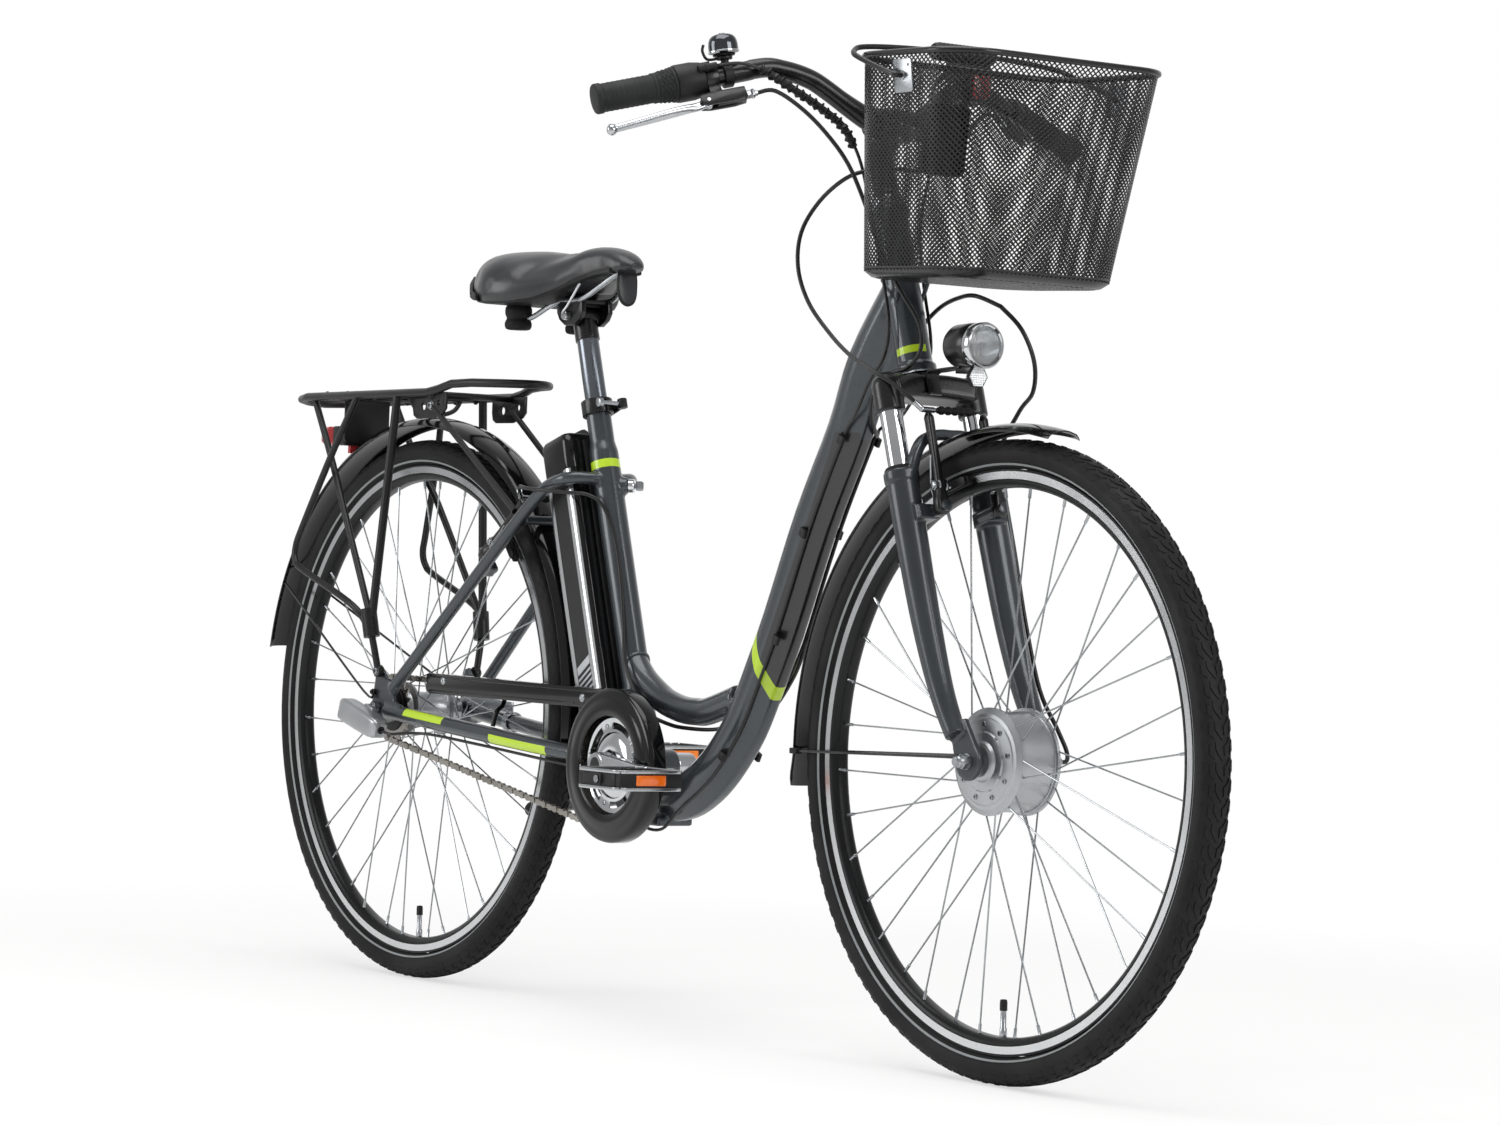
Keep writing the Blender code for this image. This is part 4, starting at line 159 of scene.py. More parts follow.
scene.camera.matrix_world = Matrix.Translation(CAMERA_PLACE) @ camera_turn.to_4x4()

# Frame: thin aluminium tubes, welded by hand with a rippled bead and powder coated in graphite.
# The lacquer is a satin metallic grey with lime bands; near black is painted on the down tube's keel as
# painted shade, the dark its underside mirrors.
REAR_AXLE_X = -0.590605
WHEELBASE = 1.204
WHEEL_RADIUS = 0.349
BRACKET_X = 0.52
BRACKET_Z = 0.305
HEAD_ANGLE = math.radians(71.5)
SEAT_ANGLE = math.radians(72.0)


def at(x, y, z):
    """A point given from the ground under the rear axle."""
    return Vector((x + REAR_AXLE_X, y, z))


def spoke_way(turn):
    """The direction at an angle up from forward, in the wheels' plane."""
    return X * math.cos(turn) + Z * math.sin(turn)


def quarter(way):
    """A direction of the wheels' plane turned a quarter back from forward over the top."""
    return Vector((-way.z, 0.0, way.x))


def mirrored(point, y):
    """The point, or its image on the bike's other side when y is -1."""
    return Vector((point.x, point.y * y, point.z))


REAR_AXLE = at(0.0, 0.0, WHEEL_RADIUS)
FRONT_AXLE = at(WHEELBASE, 0.0, WHEEL_RADIUS)
BRACKET = at(BRACKET_X, 0.0, BRACKET_Z)
STEER_UP = Vector((-math.cos(HEAD_ANGLE), 0.0, math.sin(HEAD_ANGLE)))
STEER_FRONT = -quarter(STEER_UP)
FORK_RAKE = 0.0427
HEAD_BOTTOM = FRONT_AXLE + STEER_UP * 0.467 - STEER_FRONT * FORK_RAKE
SEAT_UP = Vector((-math.cos(SEAT_ANGLE), 0.0, math.sin(SEAT_ANGLE)))
SEAT_BACK = quarter(SEAT_UP)


def steer(up, front, y=0.0):
    """A point up the steering axis from the head tube's foot, and to the front of it."""
    return HEAD_BOTTOM + STEER_UP * up + STEER_FRONT * front + Y * y


def seat(up, back=0.0, y=0.0):
    """A point up the seat tube from the bottom bracket, and behind it."""
    return BRACKET + SEAT_UP * up + SEAT_BACK * back + Y * y


def skin(rings, closed=False):
    """Points and faces through rings of points, capped at both ends or closed on itself."""
    count = len(rings[0])
    points = [point for ring in rings for point in ring]
    spans = len(rings) if closed else len(rings) - 1
    faces = []
    for k in range(spans):
        low = k * count
        high = ((k + 1) % len(rings)) * count
        for i in range(count):
            j = (i + 1) % count
            faces.append((low + i, low + j, high + j, high + i))
    if not closed:
        faces.append(tuple(reversed(range(count))))
        faces.append(tuple(range(len(points) - count, len(points))))
    return points, faces


def smooth(values, steps=4):
    """A smooth run through the values, with the given steps between each two."""
    run = []
    last = len(values) - 1
    for i in range(last):
        a = values[max(i - 1, 0)]
        b = values[i]
        c = values[i + 1]
        d = values[min(i + 2, last)]
        for k in range(steps):
            t = k / steps
            line = (c - a) * t
            bend = (2.0 * a - 5.0 * b + 4.0 * c - d) * t ** 2
            twist = (3.0 * b - a - 3.0 * c + d) * t ** 3
            run.append(0.5 * (2.0 * b + line + bend + twist))
    run.append(values[-1])
    return run


def frames(points, closed=False, hint=Z):
    """The tangent, side and up directions along a run of points."""
    result = []
    count = len(points)
    up = None
    for i, point in enumerate(points):
        before = points[i - 1] if i or closed else point
        after = points[(i + 1) % count] if i < count - 1 or closed else point
        tangent = (after - before).normalized()
        if up is None:
            up = hint - tangent * hint.dot(tangent)
            if up.length < 0.1:
                up = tangent.orthogonal()
        up = (up - tangent * up.dot(tangent)).normalized()
        result.append((tangent, tangent.cross(up), up))
    return result


def oval(width, height, count, turn=0.0):
    """Points round an oval with the given half width and half height."""
    angles = [turn + math.tau * k / count for k in range(count)]
    return [(width * math.cos(a), height * math.sin(a)) for a in angles]


def section_tube(points, outlines, hint=Z, closed=False):
    """A tube along points, with an outline of (side, up) pairs for each of them or one for all."""
    if isinstance(outlines[0], tuple):
        outlines = [outlines] * len(points)
    rings = []
    for point, outline, (_, side, up) in zip(points, outlines, frames(points, closed, hint)):
        rings.append([point + side * u + up * v for u, v in outline])
    return skin(rings, closed)


def tube(points, radii, sides=20, closed=False, hint=Z):
    """A round tube along points, with one radius or one for each point."""
    if isinstance(radii, float):
        radii = [radii] * len(points)
    return section_tube(points, [oval(r, r, sides) for r in radii], hint, closed)


def turned(profile, origin, axis, count=40, hole=False, side=None):
    """A turned body from (along, radius) pairs; hole when the profile closes on itself."""
    axis = axis.normalized()
    side = side or axis.orthogonal().normalized()
    up = axis.cross(side)
    rings = []
    for along, radius in profile:
        center = origin + axis * along
        rings.append([center + side * u + up * v for u, v in oval(radius, radius, count)])
    return skin(rings, hole)


def collar(origin, axis, low, high, inner, outer, count=36):
    """A ring with a square section and small round edges."""
    edge = min(0.0006, (outer - inner) / 4.0, (high - low) / 4.0)
    profile = [(low, inner), (low, outer - edge), (low + edge, outer), (high - edge, outer),
               (high, outer - edge), (high, inner)]
    return turned(profile, origin, axis, count, hole=True)


def rod(start, end, radius, sides=28, edge=0.0005):
    """A straight round bar with broken edges."""
    axis = end - start
    edge = min(edge, radius / 3.0, axis.length / 3.0)
    profile = [(0.0, radius - edge), (edge, radius), (axis.length - edge, radius),
               (axis.length, radius - edge)]
    return turned(profile, start, axis, sides)


def plate(outline, low, high, side=X, up=Z, out=Y, origin=None):
    """A flat plate: an outline of (side, up) pairs from low to high along out."""
    origin = origin or Vector()
    bottom = [origin + side * u + up * v + out * low for u, v in outline]
    roof = [origin + side * u + up * v + out * high for u, v in outline]
    return skin([bottom, roof])


def block(center, size, x=X, y=Y, z=Z):
    """A box with its own axes."""
    corners = [(-1, -1), (1, -1), (1, 1), (-1, 1)]
    outline = [(size[0] / 2.0 * i, size[1] / 2.0 * j) for i, j in corners]
    return plate(outline, -size[2] / 2.0, size[2] / 2.0, x, y, z, center)


def rounded(half_width, half_height, corner, steps=5):
    """The outline of a box with round corners."""
    points = []
    for k, (i, j) in enumerate(((1, 1), (-1, 1), (-1, -1), (1, -1))):
        for n in range(steps + 1):
            angle = math.radians(90.0 * (k + n / steps))
            u = i * (half_width - corner) + corner * math.cos(angle)
            v = j * (half_height - corner) + corner * math.sin(angle)
            points.append((u, v))
    return points


def join(shells):
    """Several shells as one list of points and one of faces."""
    points = []
    faces = []
    for some_points, some_faces in shells:
        start = len(points)
        points.extend(some_points)
        faces.extend(tuple(start + k for k in face) for face in some_faces)
    return points, faces


def mesh_from(name, shells):
    """A mesh of closed shells with their normals outward."""
    points, faces = join(shells)
    mesh = bpy.data.meshes.new(name)
    mesh.from_pydata([tuple(point) for point in points], [], faces)
    work = bmesh.new()
    work.from_mesh(mesh)
    bmesh.ops.recalc_face_normals(work, faces=work.faces)
    work.to_mesh(mesh)
    work.free()
    return mesh


def settle(item):
    """The object's mesh with its modifiers worked in."""
    graph = bpy.context.evaluated_depsgraph_get()
    mesh = bpy.data.meshes.new_from_object(item.evaluated_get(graph))
    item.modifiers.clear()
    item.data = mesh


def freed(item):
    """The object's mesh with its modifiers worked in; the object itself goes."""
    settle(item)
    mesh = item.data
    bpy.data.objects.remove(item, do_unlink=True)
    return mesh


def drilled(mesh, tools):
    """A mesh with the closed shells of the tools cut out of it."""
    item = placed("drilled", mesh)
    tool = placed("drill", mesh_from("drill", tools))
    drill = item.modifiers.new("drill", "BOOLEAN")
    drill.operation = "DIFFERENCE"
    drill.solver = "EXACT"
    drill.object = tool
    mesh = freed(item)
    bpy.data.objects.remove(tool, do_unlink=True)
    return mesh


def put(name, mesh, finish, body, stands_for=(), bevel=0.0, smooth_angle=40.0):
    """One visible piece, on the body that carries it, in the finish it is made in."""
    item = placed(name, mesh)
    mesh.materials.clear()
    mesh.materials.append(finish)
    if bevel:
        edge = item.modifiers.new("edge", "BEVEL")
        edge.width = bevel
        edge.segments = 2
        edge.limit_method = "ANGLE"
        edge.angle_limit = math.radians(35.0)
        settle(item)
    item.data.shade_smooth()
    item.data.set_sharp_from_angle(angle=math.radians(smooth_angle))
    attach(item, body)
    if stands_for:
        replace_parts(item, *stands_for)
    return item


def piece(name, shells, finish, body, stands_for=(), bevel=0.0, smooth_angle=40.0):
    """One visible piece made of closed shells."""
    return put(name, mesh_from(name, shells), finish, body, stands_for, bevel, smooth_angle)


def welded(name, shells, grain, rounds=4, bores=()):
    """One skin over shells that run into each other, with its joints blended and its bores cut."""
    item = placed(name, mesh_from(name, shells))
    cast = item.modifiers.new("cast", "REMESH")
    cast.mode = "VOXEL"
    cast.voxel_size = grain
    soften = item.modifiers.new("soften", "SMOOTH")
    soften.iterations = rounds
    soften.factor = 0.5
    mesh = freed(item)
    for bore in bores:
        mesh = drilled(mesh, [bore])
    return mesh


def gathered(name, meshes):
    """Several meshes as one."""
    work = bmesh.new()
    for mesh in meshes:
        work.from_mesh(mesh)
    mesh = bpy.data.meshes.new(name)
    work.to_mesh(mesh)
    work.free()
    return mesh


def material(name):
    """An empty node material, its tree, and the place of each point in metres."""
    item = bpy.data.materials.new(name)
    item.use_nodes = True
    item.node_tree.nodes.clear()
    return item, item.node_tree, add(item.node_tree, "TexCoord").outputs["Object"]


def around(tree, place, center, spans):
    """One inside a box round a point: each span is a direction and how far the box reaches along it."""
    offset = add(tree, "VectorMath", {0: place, 1: center}, operation="SUBTRACT").outputs[0]
    mask = None
    for direction, reach in spans:
        along = add(tree, "VectorMath", {0: offset, 1: direction}, operation="DOT_PRODUCT").outputs["Value"]
        along = add(tree, "Math", {0: along}, operation="ABSOLUTE").outputs[0]
        inside = add(tree, "Math", {0: along, 1: reach}, operation="LESS_THAN").outputs[0]
        if mask is None:
            mask = inside
        else:
            mask = add(tree, "Math", {0: mask, 1: inside}, operation="MULTIPLY").outputs[0]
    return mask


def blended(tree, share, first, second):
    """Two colours or values mixed by a share."""
    item = add(tree, "Mix", data_type="RGBA")
    for socket, value in ((item.inputs[0], share), (item.inputs[6], first), (item.inputs[7], second)):
        if isinstance(value, bpy.types.NodeSocket):
            tree.links.new(value, socket)
        else:
            socket.default_value = value
    return item.outputs[2]


def surface(tree, place, colour, rough, grain, height, spread=0.25, **settings):
    """A shader whose roughness and surface carry a fine grain, given in millimetres."""
    fine = add(tree, "TexNoise", {"Vector": place, "Scale": 1000.0 / grain, "Detail": 3.0}).outputs["Fac"]
    broad = add(tree, "TexNoise", {"Vector": place, "Scale": 14.0, "Detail": 4.0}).outputs["Fac"]
    both = add(tree, "Math", {0: fine, 1: broad}, operation="ADD").outputs[0]
    gloss = add(tree, "MapRange",
                {"Value": both, "From Min": 0.6, "From Max": 1.4, "To Min": rough * (1.0 - spread),
                 "To Max": rough * (1.0 + spread)})
    bump = add(tree, "Bump", {"Height": fine, "Strength": 0.6, "Distance": height / 1000.0})
    inputs = {"Base Color": colour, "Roughness": gloss.outputs[0], "Normal": bump.outputs[0]}
    inputs.update(settings)
    shader = add(tree, "BsdfPrincipled", inputs)
    add(tree, "OutputMaterial", {"Surface": shader.outputs[0]})


def plain_finish(name, colour, worn, rough, grain, height, spread=0.25, drift=(9.0, 5.0, 0.65, 0.7),
                 **settings):
    """A finish of one colour that drifts slowly to a second, slightly worn one.

    The drift is the scale, detail and roughness of a noise, and the level at which all is worn.
    """
    item, tree, place = material(name)
    scale, detail, rugged, high = drift
    noise = add(tree, "TexNoise", {"Vector": place, "Scale": scale, "Detail": detail, "Roughness": rugged})
    level = {"Value": noise.outputs["Fac"], "From Min": 0.35, "From Max": high}
    share = add(tree, "MapRange", level).outputs[0]
    surface(tree, place, blended(tree, share, tone(colour), tone(worn)), rough, grain, height, spread,
            **settings)
    return item


# Powder coat with metal flake under a clear coat: satin, slightly blue, with a soft orange peel
# of about 1.5 mm. The lime fields are masked and sprayed before the clear coat; the black keel field is
# painted shade.
LIME = "#b9d91c"
GRAPHITE = "#40464b"
GRAPHITE_DEEP = "#363b40"
KEEL_SHADE = "#0b0b0c"
BAND_FOOT = at(0.759, 0.0, 0.428)
TUBE_UP = Vector((0.444, 0.0, 0.896))
TUBE_OUT = Vector((0.896, 0.0, -0.444))
frame_paint, tree, place = material("graphite_powder_coat")
drift = add(tree, "TexNoise", {"Vector": place, "Scale": 7.0, "Detail": 5.0}).outputs["Fac"]
flake = add(tree, "TexVoronoi", {"Vector": place, "Scale": 1000.0 / 0.8}).outputs["Color"]
flake = add(tree, "VectorMath", {0: flake, 1: (0.33, 0.33, 0.33)}, operation="DOT_PRODUCT").outputs["Value"]
share = add(tree, "Math", {0: drift, 1: flake}, operation="MULTIPLY").outputs[0]
share = add(tree, "MapRange", {"Value": share, "From Min": 0.1, "From Max": 0.42}).outputs[0]
colour = blended(tree, share, tone(GRAPHITE_DEEP), tone(GRAPHITE))

slant = TUBE_UP + TUBE_OUT * 1.06
rise = add(tree, "VectorMath", {0: place, 1: BAND_FOOT}, operation="SUBTRACT").outputs[0]
along = add(tree, "VectorMath", {0: rise, 1: slant}, operation="DOT_PRODUCT").outputs["Value"]
along = add(tree, "Math", {0: along, 1: 0.0181}, operation="SUBTRACT").outputs[0]
outward = add(tree, "VectorMath", {0: rise, 1: TUBE_OUT}, operation="DOT_PRODUCT").outputs["Value"]
# The keel field, above the lime band on the down tube's front face, is painted near black: painted shade for
# the dark the uniform paint mirrors there.
near_tube = around(tree, place, at(0.82, 0.0, 0.54), ((X, 0.11), (Z, 0.165)))
above = add(tree, "Math", {0: along, 1: 0.009}, operation="GREATER_THAN").outputs[0]
front = add(tree, "Math", {0: outward, 1: 0.0075}, operation="GREATER_THAN").outputs[0]
keel_shade = add(tree, "Math", {0: above, 1: front}, operation="MULTIPLY").outputs[0]
keel_shade = add(tree, "Math", {0: keel_shade, 1: near_tube}, operation="MULTIPLY").outputs[0]
colour = blended(tree, keel_shade, colour, tone(KEEL_SHADE))
belt = add(tree, "Math", {0: along}, operation="ABSOLUTE").outputs[0]
belt = add(tree, "Math", {0: belt, 1: 0.009}, operation="LESS_THAN").outputs[0]
lime = add(tree, "Math", {0: belt, 1: near_tube}, operation="MULTIPLY").outputs[0]

stay_run = Vector((0.0585, 0.0, 0.0485)).normalized()
stay_rise = quarter(stay_run)
chain_run = Vector((0.18, 0.0, -0.015)).normalized()
chain_rise = quarter(chain_run)
lime_fields = [(at(1.0199, -0.009, 0.7968), ((STEER_FRONT, 0.015), (STEER_UP, 0.0042), (Y, 0.012))),
               (at(0.427, 0.0, 0.6728), ((X, 0.04), (SEAT_UP, 0.0052), (Y, 0.03))),
               (at(0.456, -0.017, 0.6248), ((SEAT_BACK, 0.01), (SEAT_UP, 0.0086), (Y, 0.012))),
               *[(at(0.0605, y, 0.418), ((stay_run, 0.039), (stay_rise, 0.0042), (Y, 0.009)))
                 for y in (-0.066, 0.066)],
               (at(0.1115, -0.066, 0.343), ((chain_run, 0.043), (chain_rise, 0.0044), (Y, 0.009))),
               (at(0.313, -0.056, 0.3185), ((chain_run, 0.056), (chain_rise, 0.0056), (Y, 0.014)))]
for center, spans in lime_fields:
    lime = add(tree, "Math", {0: lime, 1: around(tree, place, center, spans)}, operation="MAXIMUM").outputs[0]
colour = blended(tree, lime, colour, tone(LIME))
paint_metal = add(tree, "Math", {0: lime, 1: keel_shade}, operation="MAXIMUM").outputs[0]
paint_metal = add(tree, "MapRange", {"Value": paint_metal, "To Min": 0.55, "To Max": 0.0}).outputs[0]
surface(tree, place, colour, 0.34, 1.5, 0.035,
        **{"Metallic": paint_metal, "Coat Weight": 0.7, "Coat Roughness": 0.12, "IOR": 1.5})


def down_tube_outline(share):
    """Rounded on the inner side, with a flat keel between two flanks outside."""
    w = 0.026 * share
    h = 0.03 * share
    inner = [(w * math.cos(math.radians(a)), 0.13 * h + 0.87 * h * math.sin(math.radians(a)))
             for a in range(0, 181, 12)]
    outer = [(-0.985 * w, -0.1 * h), (-0.94 * w, -0.25 * h), (-0.36 * w, -0.91 * h),
             (-0.29 * w, -0.975 * h), (-0.18 * w, -h), (0.18 * w, -h), (0.29 * w, -0.975 * h),
             (0.36 * w, -0.91 * h), (0.94 * w, -0.25 * h), (0.985 * w, -0.1 * h)]
    return inner + outer


BEAD_STEP = 0.0007
BEAD_SWELL = 0.0026


def bead(points, width):
    """A hand laid weld: a rounded ridge with a swell for each drop of filler."""
    run = smooth(points + [points[0]], 6)[:-1]
    spans = list(zip(run, run[1:] + run[:1]))
    length = sum((b - a).length for a, b in spans)
    count = max(24, int(length / BEAD_STEP))
    loop = []
    radii = []
    k = 0
    start = 0.0
    for n in range(count):
        want = length * n / count
        while start + (spans[k][1] - spans[k][0]).length < want:
            start += (spans[k][1] - spans[k][0]).length
            k += 1
        a, b = spans[k]
        loop.append(a.lerp(b, (want - start) / max((b - a).length, 1e-9)))
        radii.append(width * (0.86 + 0.2 * abs(math.sin(math.pi * want / BEAD_SWELL))))
    return tube(loop, radii, 8, closed=True, hint=Y)


def meeting(lines, origin, axis, radius):
    """Where straight lines reach a round tube: the points that lie on its skin."""
    found = []
    for start, end in lines:
        low, high = 0.0, 1.0
        for _ in range(40):
            middle = (low + high) / 2.0
            offset = start.lerp(end, middle) - origin
            if (offset - axis * offset.dot(axis)).length > radius:
                low = middle
            else:
                high = middle
        found.append(start.lerp(end, high))
    return found


HEAD_TUBE_RADIUS = 0.02
SEAT_TUBE_RADIUS = 0.018
SEAT_TUBE_TOP = 0.462
POST_RADIUS = 0.0136
SEAT_STAY_RADIUS = 0.008
DOWN_BEND = at(0.936, 0, 0.785)
STEP_BEND = at(0.5058, 0, 0.4076)
down_path = [at(0.988, 0, 0.862), DOWN_BEND, at(0.902, 0, 0.707), at(0.8455, 0, 0.607), at(0.791, 0, 0.489),
             at(0.759, 0, 0.428), at(0.73, 0, 0.376), at(0.706, 0, 0.345), at(0.676, 0, 0.315),
             at(0.646, 0, 0.293), at(0.612, 0, 0.276), at(0.575, 0, 0.269), at(0.545, 0, 0.275),
             BRACKET + Vector((-0.004, 0, -0.004))]
down_share = [0.86, 1.0, 1.0, 1.0, 1.0, 1.0, 1.0, 1.0, 1.0, 0.99, 0.95, 0.88, 0.72, 0.5]
down_rings = [down_tube_outline(share) for share in smooth(down_share, 4)]
down_tube = section_tube(smooth(down_path, 4), down_rings, hint=Vector((-0.9, 0.0, 0.4)))
STEP_RADIUS = 0.0165
step_path = [seat(0.146, 0.0), at(0.4806, 0, 0.4307), STEP_BEND, at(0.5433, 0, 0.3876), at(0.567, 0, 0.38),
             at(0.5924, 0, 0.3755), at(0.618, 0, 0.3748), at(0.644, 0, 0.3769), at(0.705, 0, 0.395)]
head_profile = [(-0.012, 0.0222), (-0.0115, 0.023), (0.0, 0.0235), (0.0005, HEAD_TUBE_RADIUS),
                (0.1775, HEAD_TUBE_RADIUS), (0.178, 0.0235), (0.1875, 0.0225), (0.188, 0.0215)]
seat_profile = [(0.0, SEAT_TUBE_RADIUS), (0.396, SEAT_TUBE_RADIUS), (0.408, 0.0155),
                (SEAT_TUBE_TOP, 0.0155)]
shells = [turned(head_profile, HEAD_BOTTOM, STEER_UP, 48), down_tube,
          tube(smooth(step_path, 4), STEP_RADIUS, 36), turned(seat_profile, BRACKET, SEAT_UP, 48),
          rod(BRACKET - Y * 0.034, BRACKET + Y * 0.034, 0.0205, 48),
          plate([(0.992, 0.823), (0.9975, 0.786), (0.962, 0.742), (0.938, 0.728), (0.925, 0.745),
                 (0.955, 0.815)], -0.006, 0.006, origin=at(0, 0, 0))]
dropout_outline = [(-0.02, -0.006), (-0.012, -0.018), (0.004, -0.021), (0.034, -0.016), (0.052, -0.01),
                   (0.052, 0.006), (0.034, 0.012), (0.046, 0.026), (0.04, 0.036), (0.018, 0.04),
                   (0.002, 0.054), (-0.008, 0.052), (-0.012, 0.03)]
for y in (1, -1):
    seat_stay = [(0.413, 0.009, 0.648), (0.409, 0.024, 0.649), (0.402, 0.036, 0.65), (0.394, 0.044, 0.649),
                 (0.384, 0.0495, 0.647), (0.366, 0.0522, 0.642), (0.345, 0.053, 0.632), (0.3, 0.0545, 0.6),
                 (0.165, 0.06, 0.4875), (0.03, 0.0665, 0.374)]
    shells.append(tube(smooth([at(a, b * y, c) for a, b, c in seat_stay], 4), SEAT_STAY_RADIUS, 24))
    chain_stay = [(0.018, 0.0665, 0.346), (0.12, 0.061, 0.3375), (0.3, 0.05, 0.3225), (0.38, 0.0395, 0.316),
                  (0.44, 0.03, 0.311), (0.5, 0.022, 0.306)]
    radii = smooth([0.0095] + [0.0105] * 5, 4)
    shells.append(tube(smooth([at(a, b * y, c) for a, b, c in chain_stay], 4), radii, 24))
    low = 0.0635 if y > 0 else -0.0695
    shells.append(plate(dropout_outline, low, low + 0.006, origin=REAR_AXLE))

REAR_BRAKE_DIRECTION = math.radians(40.05)
REAR_RADIAL = spoke_way(REAR_BRAKE_DIRECTION)
REAR_BEHIND = quarter(REAR_RADIAL)
STAND_PIVOT = at(0.436, 0.05, 0.262)
STAND_FOLDED = Vector((-0.296, 0.033, -0.035))
STAND_AXIS = Vector((0.03, 0.16, -0.25)).cross(STAND_FOLDED).normalized()
STAND_ACROSS = X.cross(STAND_AXIS).normalized()
BRIDGE_REACH = 0.3843
REAR_BRAKE_UP = 0.283
REAR_BOSS_DEPTH = 0.02
LOCK_AXIS = Vector((0.7, 0.714, 0.0)).normalized()
LOCK_ORIGIN = seat(0.3545) + LOCK_AXIS * 0.025
high = REAR_AXLE + REAR_RADIAL * BRIDGE_REACH
low = REAR_AXLE + spoke_way(math.radians(-5.3)) * BRIDGE_REACH
lug_middle = STAND_PIVOT - STAND_AXIS * 0.024 + STAND_ACROSS * 0.016
stand_ahead = STAND_AXIS.cross(STAND_ACROSS)
shells += [rod(high - Y * 0.0545, high + Y * 0.0545, 0.006), rod(low - Y * 0.039, low + Y * 0.039, 0.006),
           block(at(0.428, 0.016, 0.2965), (0.046, 0.06, 0.012)),
           block(lug_middle, (0.032, 0.012, 0.066), stand_ahead, STAND_AXIS, STAND_ACROSS),
           block(at(0.566, 0.0, 0.242), (0.03, 0.052, 0.012)),
           rod(LOCK_ORIGIN - LOCK_AXIS * 0.012, LOCK_ORIGIN, 0.0105)]


def brake_post(origin, outward, y, from_depth, boss_depth):
    """A brake boss and its pin, with a head that keeps the arm on."""
    base = origin + Y * (0.04 * y)
    pin_end = boss_depth + 0.0126
    profile = [(from_depth, 0.0075), (boss_depth, 0.0075), (boss_depth, 0.004), (pin_end, 0.004),
               (pin_end, 0.0065), (pin_end + 0.0026, 0.0065), (pin_end + 0.003, 0.0058)]
    return turned(profile, base, outward, 24)


posts = []
for y in (1, -1):
    pivot = REAR_AXLE + REAR_RADIAL * REAR_BRAKE_UP
    middle = pivot + Y * (0.0475 * y) + REAR_BEHIND * 0.004
    shells.append(block(middle, (0.018, 0.023, 0.014), REAR_RADIAL, Y, REAR_BEHIND))
    posts.append(brake_post(pivot, REAR_BEHIND, y, 0.0, REAR_BOSS_DEPTH))

down_lines = []
for u, v in down_tube_outline(0.95)[::2]:
    side = Y * -u
    lean = Vector((-0.829, 0.0, 0.559)) * v
    down_lines.append((DOWN_BEND + side + lean, at(0.999, 0, 0.878) + side + lean))
step_lines = []
for u, v in oval(STEP_RADIUS, STEP_RADIUS, 16):
    offset = Y * u + Vector((0.69, 0.0, 0.72)) * v
    step_lines.append((STEP_BEND + offset, at(0.46, 0, 0.4495) + offset))
beads = [bead(meeting(down_lines, HEAD_BOTTOM, STEER_UP, HEAD_TUBE_RADIUS), 0.0026),
         bead(meeting(step_lines, BRACKET, SEAT_UP, SEAT_TUBE_RADIUS), 0.0022)]
for y in (1, -1):
    stay_lines = []
    for u, v in oval(SEAT_STAY_RADIUS, SEAT_STAY_RADIUS, 12):
        offset = X * u + Z * v
        stay_lines.append((at(0.404, 0.036 * y, 0.65) + offset, at(0.4075, 0.0, 0.6488) + offset))
    beads.append(bead(meeting(stay_lines, BRACKET, SEAT_UP, SEAT_TUBE_RADIUS), 0.0018))

post_bore = rod(seat(0.215), seat(SEAT_TUBE_TOP + 0.01), POST_RADIUS + 0.0003, 48)
axle_bore = rod(REAR_AXLE - Y * 0.09, REAR_AXLE + Y * 0.09, 0.0053, 24)
slit = block(seat(SEAT_TUBE_TOP - 0.01, -0.014), (0.01, 0.003, 0.024), SEAT_BACK, Y, SEAT_UP)
frame_mesh = welded("frame_tubes", shells, 0.0019, 5, (post_bore, axle_bore, slit))
frame_mesh = gathered("frame_tubes", [frame_mesh, mesh_from("beads", beads + posts)])
put("frame_tubes", frame_mesh, frame_paint, "frame", ("frame",))

# Cable clips on the down tube: small black straps of glass filled nylon, riveted to the tube.
# They are moulded, so the skin is matt with a fine 0.3 mm grain, drawn at 0.6 mm.
moulded_black = plain_finish("moulded_nylon", "#0f0f10", "#181819", 0.48, 0.6, 0.03,
                             **{"IOR": 1.5, "Specular IOR Level": 0.35})
clips = []
for x, z in ((0.9161, 0.6961), (0.8062, 0.4661), (0.8505, 0.59), (0.708, 0.327)):
    middle = at(x, 0, z)
    for y in (1, -1):
        center = middle + Y * (0.0255 * y)
        clips.append(section_tube([center - TUBE_UP * 0.005, center + TUBE_UP * 0.005],
                                  [rounded(0.0028, 0.0058, 0.0024)] * 2, hint=TUBE_OUT))
piece("cable_clips", clips, moulded_black, "frame", bevel=0.0005)


# Suspension fork: a forged crown and two cast magnesium lowers under the frame's graphite lacquer,
# on hard chromed steel stanchions. The crown turns in the head tube's bearings, and the lowers slide.
LEG_FRONT = 0.015
LEG_SPACING = 0.058
STANCHION_RADIUS = 0.0127
HEADSET_TOP = 0.188
STEERER_TOP = 0.201
FRONT_BRAKE_UP = -0.183
FRONT_BOSS_DEPTH = 0.0475
# Lacquer over cast magnesium: the frame's graphite without its flake, so it mirrors a little softer.
fork_paint = plain_finish("fork_lacquer", "#3a3f43", "#31353a", 0.36, 1.2, 0.03,
                          **{"Metallic": 0.5, "Coat Weight": 0.5, "Coat Roughness": 0.15})
# Hard chrome over ground steel: mirror bright, with a trace of wear.
chrome = plain_finish("hard_chrome", "#d6d8da", "#c4c7ca", 0.09, 2.0, 0.004, 0.4, **{"Metallic": 1.0})
